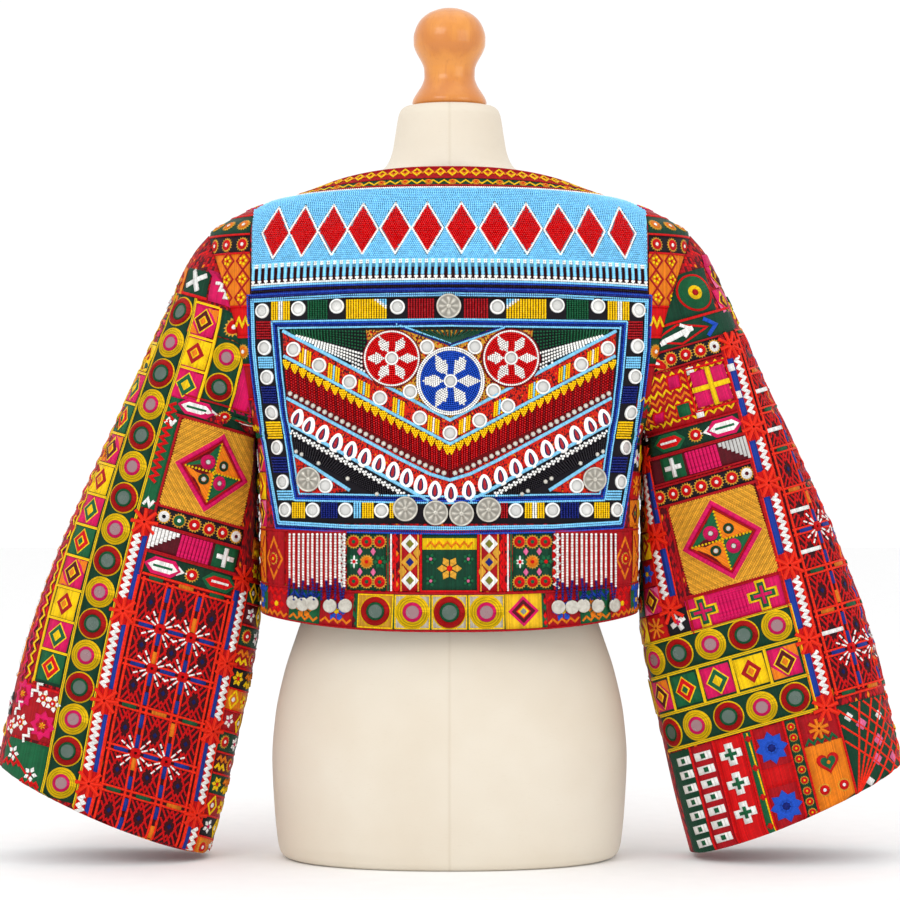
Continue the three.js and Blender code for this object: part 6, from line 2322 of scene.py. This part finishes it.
class TOP_OT_sleeve_stitching(TopOperator, bpy.types.Operator):
    """Sleeves' stitching: mirror columns, gold squares, lattices, zigzag columns and small patches"""

    bl_idname = "top.sleeve_stitching"
    bl_label = "Sleeve stitching"

    def make(self, context):
        """Each sleeve's pattern, drawn once and laid on its back and its front."""
        made = []
        for hand, word, draw in ((-1, "left", self.left), (1, "right", self.right)):
            chart = pattern_chart(hand, -1)
            work = Needlework(chart)
            draw(work)
            shape = work.shape()
            laid = [(chart, shape), (pattern_chart(hand, 1), shape)]
            made.append(sewn_piece("sleeve_%s_stitching" % word, laid, "cloth_plum",
                                   lift=0.55))
        return made

    def left(self, work):
        """The left sleeve: mirrors and squares down the fold, bands, gold square and lattice beside it."""
        q = np.linspace(0, 486, 16)
        work.box(-16, -17, 16, 503, colour("forest") * 0.8)
        mirror_column(work, np.stack([0 * q, q], -1))
        for x in (-17.5, 17.5):
            work.couched([(x, -17), (x, 560)], 3.2)
            work.line([(x, -17), (x, 560)], 0.9, "olive", 0.5, 1.1)
        rows = np.arange(21, 380, 32.4)
        diamond_column(work, [(-35, y) for y in rows])
        work.box(-51, 4, -19, 395, "forest", base=0.12, high=0.1)
        for y in rows - 16.2:
            work.couched([(-51, y), (-19, y)], 2.6)
        work.couched([(-52, 4), (-52, 395)], 3.0)
        for k, (top, foot) in enumerate(((-57, -62), (-61, -72), (-65, -84), (-69, -97))):
            work.sewn.append(wavy((top, 4), (foot, 395), 2.8, ("yellow", "magenta", "orange", "white")[k],
                                  2.2, 6.0, 0.7))
        work.cover(-130, -20, -52, 400)
        work.box(-75, 398, -19, 452, "crimson")
        work.motif(flower("magenta", "yellow", 15, 8) + flower("crimson", "orange", 8, 6).moved(0, 0, 0.7),
                   [-63, -31], [410, 436])
        work.motif(flower("white", "pink", 9, 5) + rosette(4.6).moved(0, 0, 0.6), [-36, -58, -24, -72],
                   [409, 438, 412, 444])
        work.motif(wavy((-9, 0), (9, 0), 2.6, "white", 2.6), [-46, -46, -66], [402, 448, 424], turn=55)
        work.line([(-75, 400), (-20, 400)], 2.2, "red")
        work.box(-75, 455, -19, 520, "green")
        work.motif(flower("white", "crimson", 8, 5) + wavy((-12, -9), (12, -9), 2.4, "red", 2.4),
                   [-60, -34], [470, 486])
        work.line([(-75, 458), (-19, 503)], 2.4, "red")

        # upper part, inside the column
        work.box(19, -14, 37, 84, "magenta", base=0.15, high=0.1)
        diamond_column(work, [(30, 3), (30, 36), (30, 69)], 13.8)
        for y in (-14, 19.5, 52.5):
            work.couched([(17, y), (45, y)], 2.4)
        work.couched([(46, -14), (46, 82)], 3.2)
        work.box(48, 14, 78, 80, "forest", base=0.2, high=0.1)
        mirror_column(work, [(62, 31), (62, 62)], "yellow", 14.0)
        work.couched([(78, 10), (78, 82)], 2.6)
        work.box(47, -14, 78, 13, "forest")
        work.motif(rosette(9.5), 62, 0)
        work.box(-4, -50, 29, -19, "forest")
        work.line([(-6, -19), (30, -19)], 3.0, "red")
        work.motif(plus(12.5, 5, "white", 1.0, 0.4).turned(38), 13, -34)
        work.box(31, -48, 62, -18, "magenta")
        work.motif(wavy((-9, 7), (9, -7), 2.6, "white", 3.4), 46, -32)
        work.box(-36, -48, -6, 0, "orange")
        work.motif(edged(rhombus(9, 12), 2.4, "crimson") + satin_disc(3.4, "green"), -21, -28)
        work.box(80, 0, 122, 82, "magenta")
        work.motif(wavy((0, -26), (0, 26), 3.6, "white", 3.2), 96, 44)

        strip_of(work, 29, 126, 89, 21, colour("forest") * 0.7)
        lozenge_band(work, 76, 89)
        work.motif(gold_square(43.5), 80, 146, 0)
        work.cover(34, 102, 126, 191)
        for y in (100.5, 191):
            work.line([(31, y), (128, y)], 2.4, "crimson", 1.0)
        work.line([(34.5, 100), (34.5, 262)], 2.6, "crimson", 1.0)
        work.box(18.5, 84, 33, 198, "green")
        work.motif(wavy((0, -40), (0, 40), 3.2, "red", 3.0), 24, 130)
        work.motif(wavy((-5, 0), (5, 0), 3.0, "white", 3.0), 26, 108)
        work.motif(wavy((-5, 0), (5, 0), 3.0, "white", 3.0), 26, 192)
        rosette_band(work, 36, 128, 201.5, 6)
        strip_of(work, 36, 128, 225, 25, "maroon")
        block_band(work, 82, 225, 25)
        strip_of(work, 36, 128, 250.5, 23, colour("forest") * 0.7)
        lozenge_band(work, 84, 250.5)
        lattice(work, [37, 66, 97, 129], [264, 311, 351, 393, 437, 478, 520, 562], (1, 2, 4))
        star_column(work, 27, [212, 303.5, 395, 479, 568], 17, "blue", 1)
        star_column(work, 139, [240, 326, 395, 480, 568], 17, "blue", -1)
        small = (flower("yellow", "red", 8), rosette(7.6), edged(rhombus(7, 9), 2.2, "yellow")
                 + satin_disc(2.6, "white"), wavy((-8, 4), (8, 4), 2.4, "orange", 2.4)
                 + wavy((-8, -4), (8, -4), 2.4, "yellow", 2.4), flower("white", "magenta", 7.5, 5))
        for k, y in enumerate(np.arange(112, 560, 21.5)):
            work.box(149, y, 190, y + 20.5,
                     ("maroon", "forest", "crimson", "black", "orange", "crimson", "forest")[k % 7])
            work.motif(small[k * 2 % 5], 159, y + 10.5)
            work.motif(small[(k * 2 + 3) % 5], 178, y + 10.5)
            work.line([(149, y), (190, y)], 2.0, "red")
        work.fill(-190, -104, 200, 560, seed=4)

    def right(self, work):
        """The right sleeve: bands and gold square above, mirror rows, patches at the cuff, a lattice."""
        work.motif(spun([0.01, 9, 16.4, 17.6], [1.0, 1.05, 1.0, 0.1], 30, "green")
                   + satin_ring(3.2, 7.4, "yellow", 1.1, 20, 0.9) + satin_disc(3.4, "crimson", 1.0, 12, 1.0)
                   + satin_ring(17, 19.4, "red", 0.9, 30), 0, 2)
        work.box(-20, -20, 20, 24, "forest", base=0.12)
        work.box(-52, -14, -20, 24, "forest", base=0.12)
        work.box(-60, 26, 44, 49, "forest")
        work.line([(-60, 25.5), (46, 25.5)], 2.6, "red")
        work.motif(ribbon([(-22, -4), (14, 3)], 5.4, "white", 1.0, 0.5)
                   + ribbon([(2, 9), (12, 3), (4, -4)], 3.4, "white", 1.0, 0.5)
                   + edged(rhombus(30, 9.5), 2.0, "red"), -26, 38)
        work.motif(ribbon([(-8, 9), (4, 0), (-8, -9)], 4.0, "blue", 1.0, 0.4), 10, 38)
        rosette_band(work, -64, 14, 59, 5, 18, -1)
        work.box(-90, 70, 14, 127, "crimson")
        for y in np.arange(75, 126, 7.5):
            work.sewn.append(wavy((-88, y), (12, y), 2.6, ("yellow", "orange", "magenta")[int(y) % 3], 2.2,
                                  4.4, 0.8))
        x, y = -7, 96
        for dx in (-9.5, 9.5):
            for dy in (-9.5, 9.5):
                work.motif(square_patch(8.2, "magenta", 0.5, 1.3), x + dx, y + dy)
        work.motif(plus(19, 5.0, "yellow", 0.9, 1.5), x, y)
        work.motif(edged(square(21), 2.2, "red", 0.7, 1.3), x, y)
        for k, (x, y) in enumerate(((-42, 82), (-42, 112), (-70, 82), (-70, 112))):
            patch = square_patch(6, colour("green" if k % 3 else "magenta"), 0.9, 0.5) + edged(square(6.6),
                    2.0, "red", 1.2)
            work.motif(patch, x + 4 * (k % 2), y)
        work.motif(square_patch(3.6, "white", 0.6, 1.1), [-24, -24, 18, 18], [76, 120, 84, 112])
        strip_of(work, -90, 14, 139, 22, colour("forest") * 0.7)
        lozenge_band(work, -33, 139, -1)
        strip_of(work, -92, 14, 164.5, 26, "maroon")
        block_band(work, -33, 164.5, 25, -1)
        rosette_band(work, -94, 14, 190, 7, flip=-1)
        work.motif(gold_square(44.5), -33, 247, 0)
        work.cover(-79, 200, 14, 293)
        for y in (200.5, 293):
            work.line([(-84, y), (14, y)], 2.4, "crimson", 1.0)
        work.line([(13.5, 66), (13.5, 330)], 2.6, "crimson", 1.0)
        work.line([(-80, 200), (-82, 330)], 2.4, "crimson", 1.0)
        strip_of(work, -84, 14, 311, 32, "magenta")
        work.motif(bricks([(-12, 12)] * 9, 9 * 3.5, 3.5, "magenta", 0.5, 1.0), -38, 311)
        for x in (-68, -8):
            work.motif(plus(15, 10, "yellow", 0.5, 0.5) + plus(12.4, 6.4, "green", 0.5, 0.8)
                       + plus(9, 3, "magenta", 0.6, 1.1), x, 311)
        work.box(-150, 328, 16, 361, colour("forest") * 0.8)
        mirror_column(work, [(-2 - 33.5 * k, 344.5) for k in range(5)], "yellow")
        work.box(-150, 363, 16, 400, "forest", base=0.12, high=0.1)
        diamond_column(work, [(-3 - 34 * k, 381.5) for k in range(5)], 14.8)
        work.box(-150, 402, 16, 436, colour("forest") * 0.8)
        mirror_column(work, [(-2 - 33.5 * k, 419) for k in range(5)], "red")
        for y in (328, 362.5, 400.5, 436):
            work.couched([(-150, y), (17, y)], 3.4)
            work.line([(-150, y), (17, y)], 0.9, "olive", 0.5, 1.1)
        for k in range(5):
            work.couched([(-20 - 34 * k, 364), (-20 - 34 * k, 400)], 3.2)
        work.couched([(16, 328), (16, 437)], 3.2)

        # bottom patches
        for x0, x1, tint in ((-150, -118, "forest"), (-116, -92, "crimson"), (-90, -62, "red"),
                             (-60, -52, "green"), (-51, -20, "crimson"), (-19, -7, "forest"),
                             (-6, 34, "orange"), (35, 110, "forest")):
            work.box(x0, 439, x1, 560, tint)
        for x in (-117, -91, -61, -51.5, -19.5, -6.5, 34.5):
            work.line([(x, 438), (x, 560)], 2.4, "red", 1.0)
        for y in np.arange(450, 560, 14):
            work.motif(field([(-9, 4), (9, 4), (9, -4), (-9, -4)], "white", 0.5, 0.4)
                       + square_patch(2.4, "green", 0.3, 0.9), [-104, -128], y)
        for y in (456, 486, 516, 546):
            work.motif(plus(11, 8, "white", 0.7, 0.4) + plus(6, 3.4, "green", 0.6, 0.9), -76, y)
            work.motif(plus(3, 3, "red", 0.5, 0.4), -56, y - 10)
        work.line([(-56, 440), (-52, 560)], 1.8, "yellow")
        work.motif(flower("blue", "navy", 16.5, 8), -36, [461, 521], lift=0.4)
        work.box(-51, 480, -20, 500, colour("red") * 0.9, base=0.45)
        for y in np.arange(446, 560, 11):
            work.motif(rosette(4.6, "red", "yellow"), -13, y)
        work.box(-6, 439, 34, 470, "crimson", base=0.4)
        work.motif(star(11, 3.4, "orange", 8) + wavy((-16, -11), (16, -11), 2.5, "green", 2.6), 13, 455)
        work.motif(heart_patch(), 14, 490)
        work.motif(rosette(7), [4, 24], [516, 516])
        for k in range(-2, 7):
            x = 34 + 16 * k
            work.line([(max(36, x), 440 + max(0, 36 - x)), (x + 110, 550)], 2.2, "vermilion", 0.9)
            work.line([(x + 60, 440), (max(36, x - 30), min(560, 530))], 2.2, "vermilion", 0.9)
        work.motif(field(rhombus(6.5, 6.5), "pink", 0.4, 0.35), [58, 74, 90, 66], [462, 482, 502, 500])
        work.motif(field(rhombus(5, 5), "white", 0.4, 0.35), [46, 82, 52], [452, 458, 520])

        star_column(work, 25, [62, 147, 205, 290, 367, 437], 19, "blue", -1)
        for y in (114, 155, 239, 281, 365):
            work.box(40, y - 2, 64, y + 2, "white", base=1.3, high=0.9, mark=False)
        lattice(work, [37, 68, 100, 134], [52, 93, 134, 176, 218, 260, 302, 344, 386, 428], (5, 8))
        star_column(work, -100, [150, 227, 301], 19, "blue", 1)
        work.box(22, -60, 60, -20, "magenta")
        work.motif(rosette(9), 38, -38)
        work.fill(-190, -104, 200, 560, seed=9)


class TOP_OT_hems(TopOperator, bpy.types.Operator):
    """Hem strips: mirror squares, flower squares and zigzags, with the two hanging bead fringes"""

    bl_idname = "top.hems"
    bl_label = "Hems and bead fringes"

    def make(self, context):
        """Two strips for each side, then the hanging threads with their discs on the back."""
        made = []
        for side, word in ((-1, "back"), (1, "front")):
            chart = body_chart(side)
            work = Needlework(chart)
            eta = partial(eta_at, chart)
            low, seam, top = 1.0, eta(276), eta(328)
            self.lower(work, low, seam)
            self.upper(work, seam, top)
            for y in (0.8, seam, top):
                work.line([(-266, y), (266, y)], 2.4, "crimson", 1.2)
            made.append(sewn_piece("hem_%s_stitching" % word, [(chart, work.shape())], "cloth_red"))
        chart = body_chart(-1)
        for word, strands in (("left", (292, 345)), ("right", (557, 613))):
            threads = []
            for k, u in enumerate(np.linspace(strands[0], strands[1], 13)):
                end = 577 + (k * 7 % 5) * 2.2
                line = places(chart, [(u, 534.5), (u, end)])
                tail = places(chart, [(u, end + 2), (u + (k % 3 - 1) * 1.6, 599)])
                for path, tint in ((line, "white"), (tail, "navy")):
                    spots = along(path, 2.75)
                    shades = np.array([1.0, 0.8, 0.93])[np.arange(len(spots)) % 3, None] * colour(tint)
                    threads.append(beads(spots, shades, 1.5, 4.0 + (k % 2) * 0.9))
            discs = {"left": [(295, 602), (304.5, 604), (313.6, 603), (331, 605.6), (346, 605.6)],
                     "right": [(557.7, 607), (571, 607), (582, 605.6), (596, 605.6), (612, 605)]}[word]
            spots = places(chart, discs)
            coin = spun([0.01, 3.4, 5.4, 6.4, 6.7, 6.7], [4.9, 4.9, 5.3, 5.2, 4.7, 3.6], 24, "silver", 4)
            threads.append(stamp(coin, *chart.frames(*spots.T)))
            head = places(chart, [(strands[0] - 2, 533), (strands[1] + 2, 533)])
            threads.append(ribbon(head, 4.5, "crimson", 2.4, 0.4))
            piece = sewn_piece("bead_fringe_%s_beads" % word, [(chart, joined(threads))], "beads_white")
            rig.replaces(piece, "bead_fringe_" + word)
            made.append(piece)
        return made

    def lower(self, work, low, top):
        """Lower strip: a row of mirror squares in the middle, curling flowers on either side."""
        middle, tall = (low + top) / 2, top - low
        pitch, first, half = 35.5, -71.3, tall / 2 - 1.5
        work.box(first - 19, low + 1, first + 4 * pitch + 19, top - 1, "green", base=0.1, high=0.1)
        spots = first + pitch * np.arange(5)
        for x, kind, ground in zip(spots, ("red", "yellow") * 2, ("gold", "cream", "cream", "cream")):
            work.motif(square_patch((16.8, half), colour(ground) * 0.8, 0.3, 0.3)
                       + edged(square(16.4, half - 0.8), 1.5, "yellow", 0.6, 0.4), x, middle)
            work.motif(mirror_round(kind, 15.0 if x == first else 16.4), x, middle, lift=0.5)
        heart = plate(rhombus(14.8, 14.8), "magenta", 0.5, 0.6)
        for reach, tint, base in ((11.6, "maroon", 0.9), (7.4, "vermilion", 1.1), (5.8, "yellow", 1.3),
                                  (3.6, "grey", 1.5)):
            heart = heart + plate(rhombus(reach, reach), colour(tint), 0.5, base)
        work.motif(square_patch((17.6, half), mixed("gold", "yellow", np.array(0.6)), 0.3, 0.3) + heart,
                   spots[4], middle)
        for side in (-1, 1):
            for k in range(5):
                x = side * (109 + 33 * k)
                work.motif(square_patch((16.2, tall / 2 - 1.5), colour("green" if k % 2 else "crimson"),
                                        0.3, 0.3), x, middle)
                work.motif(flower(("blue", "orange", "red")[k % 3], "yellow", 11, 6), x, middle - 2)
                work.motif(wavy((-15, 10.5), (15, 10.5), 2.2, ("red", "blue")[k % 2], 2.6)
                           + wavy((-15, -11), (15, -11), 2.0, "orange", 2.2), x, middle)

    def upper(self, work, low, top):
        """Upper strip: centre square, rhombus columns, flower squares, zigzags and far patches."""
        middle, tall = (low + top) / 2, top - low
        half = tall / 2 - 2
        work.box(-27, middle - half, 27, middle + half, "forest")
        work.box(-26, middle + half - 16, 26, middle + half - 5, "yellow", base=0.5)
        work.motif(wavy((-22, 0), (22, 0), 2.4, "orange", 1.8), 0, middle + half - 11)
        work.motif(flower("gold", "red", 12, 6), 0, middle - 6)
        work.motif(flower("green", "pink", 6, 5), [-18, 18, -18, 18],
                   [middle - 18, middle - 18, middle + 3, middle + 3])
        work.motif(edged(square(27.5, half), 2.2, "red"), 0, middle)
        for side in (-1, 1):
            work.box(side * 38 - 10, middle - half, side * 38 + 10, middle + half, "crimson")
            for k, outer, inner in ((-1, "white", "olive"), (0, "gold", "navy"), (1, "white", "olive")):
                pair = plate(rhombus(8.6, 9.4), colour(outer), 0.7, 0.4)
                pair += plate(rhombus(4.2, 4.6), colour(inner), 0.5, 0.9)
                work.motif(pair, side * 38, middle + 17.6 * k)
            work.motif(plate([(0, 6), (-4, 0), (0, -6), (4, 0)], "gold", 0.5, 0.4),
                       [side * 38 - 7, side * 38 + 7], [middle - 9, middle + 9])
            for x, tint in ((30, "gold"), (46.5, "gold"), (52, "red"), (56, "white"), (59, "green"),
                            (101, "red")):
                work.line([(side * x, low + 2), (side * x, top - 2)], 1.7, tint, 0.8)
            work.box(side * 79.5 - 19, middle - half, side * 79.5 + 19, middle + half, "forest")
            work.motif(rosette(7.2, "red", "green"),
                       np.repeat([side * 79.5 - 12.5, side * 79.5, side * 79.5 + 12.5], 2),
                       np.tile([middle - 19.5, middle + 19.5], 3))
            work.motif(rosette(7.2, "orange", "red"), side * 79.5, middle)
            work.motif(plate(rhombus(4.4, 6.5), "white", 0.6, 0.4), side * 79.5 - 12, middle)
            work.motif(flower("green", "red", 7.5, 6), [side * 79.5 + 13, side * 79.5 - 12], middle)
            work.motif(plate(rhombus(2.6, 4.0), "pink", 0.5, 0.9), side * 79.5
                       + np.array([-6.4, 6.4, -6.4, 6.4]), middle + np.array([10, 10, -10, -10]))
            work.sewn.append(wavy((side * 103, low + 3), (side * 103, top - 3), 2.4, "white", 2.4, 4.0))
            work.box(side * 134 - 28, middle - half, side * 134 + 28, middle + half, colour("red") * 0.8)
            for k, tint in enumerate(("crimson", "orange", "forest")):
                x = side * (178 + 32 * k)
                work.motif(square_patch((15, half), colour(tint), 0.3, 0.3)
                           + edged(rhombus(12, 19), 2.6, "orange", 0.9, 0.4)
                           + ribbon([(-13, -20), (13, 20)], 2.2, "crimson", 0.8, 0.5)
                           + ribbon([(-13, 20), (13, -20)], 2.2, "crimson", 0.8, 0.6)
                           + rosette(6.4, "red", "yellow").moved(0, 0, 0.7), x, middle)


class TOP_OT_body_stitching(TopOperator, bpy.types.Operator):
    """Body stitching: shoulder strips beside the yoke, side patches, and the front's patchwork"""

    bl_idname = "top.body_stitching"
    bl_label = "Body stitching"

    def make(self, context):
        """Shoulder strips beside the beads on the back; mirror rows and squares on the front."""
        made = []
        for side, word in ((-1, "back"), (1, "front")):
            chart = body_chart(side)
            work = Needlework(chart)
            eta = partial(eta_at, chart)
            if side < 0:
                work.cover(-196, eta(329), 196, eta(664))
                for hand in (-1, 1):
                    for low, high, ground in ((634, 652, "crimson"), (615, 633, "forest"),
                                              (597, 614, "black"), (545, 596, "orange"), (515, 544, "red"),
                                              (488, 514, "forest"), (455, 487, "crimson")):
                        y0, y1 = eta(low), eta(high)
                        x0, x1 = hand * 197, hand * 262
                        work.box(min(x0, x1), y0, max(x0, x1), y1, ground)
                        work.line([(x0, y0), (x1, y0)], 2.2, "red", 0.9)
                        for x in (206, 226, 246):
                            shape = {
                                "crimson": flower("magenta", "yellow", 7, 5),
                                "forest": rosette(7.6, "orange", "white"), "black": rosette(7.4),
                                "orange": joined([edged(rhombus(8, 9), 2.0, "crimson").moved(0, y)
                                                  + flower("yellow", "red", 5.5, 5).moved(0, y, 0.2)
                                                  for y in (-17, 1, 19)]), "red": wavy((-8, 0), (8, 0), 4,
                                    "yellow", 2.6),
                            }[ground]
                            work.motif(shape, hand * x, (y0 + y1) / 2)
            else:
                for level_at, first in ((560, "red"), (420, "yellow")):
                    y = eta(level_at)
                    work.box(-250, y - 17, 250, y + 17, colour("forest") * 0.8)
                    spots = np.arange(-231, 232, 33.0)
                    mirror_column(work, np.stack([spots, 0 * spots + y], -1), first, 14.0)
                    for edge in (-17.5, 17.5):
                        work.couched([(-260, y + edge), (260, y + edge)], 3.0)
                y = eta(490)
                rosette_band(work, -255, 255, y, 26, 20)
                diamonds = np.arange(-231, 232, 33.0)
                diamond_column(work, [(x, eta(455)) for x in diamonds], 14.6)
                work.cover(-262, eta(438), 262, eta(472))
            work.fill(-300, eta(330), 300, eta(651), seed=21 + side)
            made.append(sewn_piece(word + "_stitching", [(chart, work.shape())], "cloth_red", lift=0.3))
        return made


class TOP_OT_neck_band(TopOperator, bpy.types.Operator):
    """Neck band: one band all round, with a row of rhombuses over a strip of curls"""

    bl_idname = "top.neck_band"
    bl_label = "Neck band"

    def make(self, context):
        """Rows of both charts end to end as one ring, with its stitching laid on each half."""
        rows, grids, ways = np.linspace(SEAMS["band"], SEAMS["neck"], 7), [], []
        laid = []
        for side in (-1, 1):
            chart = body_chart(side)
            eta = eta_at(chart, rows)
            half = np.interp(eta, chart.eta, chart.half)
            xi = np.linspace(-1, 1, 91)[None, :-1] * half[:, None]
            along_rows = eta[:, None] + 0 * xi
            grids.append(chart.place(xi, along_rows, 0 * xi))
            ways.append(chart.outward(xi, along_rows))
            work = Needlework(chart)
            low, top = float(eta[0]), float(eta[-1])
            wide = float(half.max()) + 2
            tall = top - low
            work.box(-wide, low, wide, low + 0.42 * tall, "forest", base=0.1)
            work.box(-wide, low + 0.42 * tall, wide, top, "crimson", base=0.1)
            spots = np.arange(-wide + 6, wide, 11.5)
            work.motif(edged(rhombus(4.2, 5.2), 1.8, "yellow")
                       + wavy((-6, -1), (6, -1), 1.6, "orange", 1.5, 3.0, 0.6), spots, low + 0.72 * tall)
            work.motif(rosette(4.2, "orange", "red"), spots[::2], low + 0.2 * tall)
            work.sewn.append(wavy((-wide, low + 0.2 * tall), (wide, low + 0.2 * tall), 2.4, "yellow", 1.6,
                                  5.2, 0.7))
            for share in (0.02, 0.42, 0.97):
                work.line([(-wide, low + share * tall), (wide, low + share * tall)], 2.2, "crimson", 1.0)
            laid.append((chart, work.shape()))
        points, normals = np.concatenate(grids, 1), unit(np.concatenate(ways, 1))
        piece = shell("neck_band_cloth", points, normals, sizes().wall / MM, [finish("cloth")], "cloth_red",
                      colour("crimson"), closed=True, flip=body_chart(-1).turn < 0)
        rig.replaces(piece, "neck_band")
        girth = np.linalg.norm(np.diff(np.concatenate([points, points[:, :1]], 1), axis=1), axis=-1).sum(1)
        length = np.linalg.norm(np.diff(points, axis=0), axis=-1).sum(0)
        SHEETS[piece.name] = (piece, (girth.max() * MM, length.max() * MM,
                                      girth.mean() * length.mean() * MM * MM))
        return [piece, sewn_piece("neck_band_stitching", laid, "cloth_red")]


# ---------------------------------------------------------------- running it

CLASSES = [
    TopColours, TopSizes, TOP_OT_stage, TOP_OT_body, TOP_OT_sleeves, TOP_OT_form, TOP_OT_bead_panel,
    TOP_OT_yoke, TOP_OT_neck_band, TOP_OT_hems, TOP_OT_body_stitching, TOP_OT_sleeve_stitching,
]


class TOP_PT_panel(bpy.types.Panel):
    """Sizes, colours and a button for each group of pieces"""

    bl_label = "Embroidered top"
    bl_idname = "TOP_PT_panel"
    bl_space_type = "VIEW_3D"
    bl_region_type = "UI"
    bl_category = "Embroidered top"

    def draw(self, context):
        """Every size and colour, then a button for each operator."""
        for group in (context.scene.top_sizes, context.scene.top_colours):
            column = self.layout.column(align=True)
            for name in group.__annotations__:
                column.prop(group, name)
        for kind in CLASSES:
            if issubclass(kind, bpy.types.Operator):
                self.layout.operator(kind.bl_idname)


def register():
    """Register the classes and hang the two groups of settings on the scene."""
    for kind in CLASSES + [TOP_PT_panel]:
        bpy.utils.register_class(kind)
    bpy.types.Scene.top_sizes = PointerProperty(type=TopSizes)
    bpy.types.Scene.top_colours = PointerProperty(type=TopColours)


def unregister():
    """Take away what register added, in the opposite order."""
    del bpy.types.Scene.top_colours
    del bpy.types.Scene.top_sizes
    for kind in reversed(CLASSES + [TOP_PT_panel]):
        bpy.utils.unregister_class(kind)


def declare_cloth():
    """Every cloth piece with the size it was cut to."""
    for name, (piece, (width, length, area)) in SHEETS.items():
        rests = ["form_cover"] if "sleeve" not in name else ["back_cloth", "front_cloth"]
        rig.sheet(piece, flat=(width, length), held="hung", rests_on=rests,
                 area=min(area, 0.998 * width * length))


def main():
    register()
    for kind in CLASSES:
        if issubclass(kind, bpy.types.Operator):
            group, name = kind.bl_idname.split(".")
            if getattr(getattr(bpy.ops, group), name)() != {"FINISHED"}:
                raise RuntimeError(kind.bl_label + " didn't finish")

    declare_cloth()
    with open("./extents.json", "w") as file:
        json.dump({"cad": CAD_BOX, "visual": [list(corner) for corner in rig.bounds()]}, file)


if __name__ == "__main__":
    main()
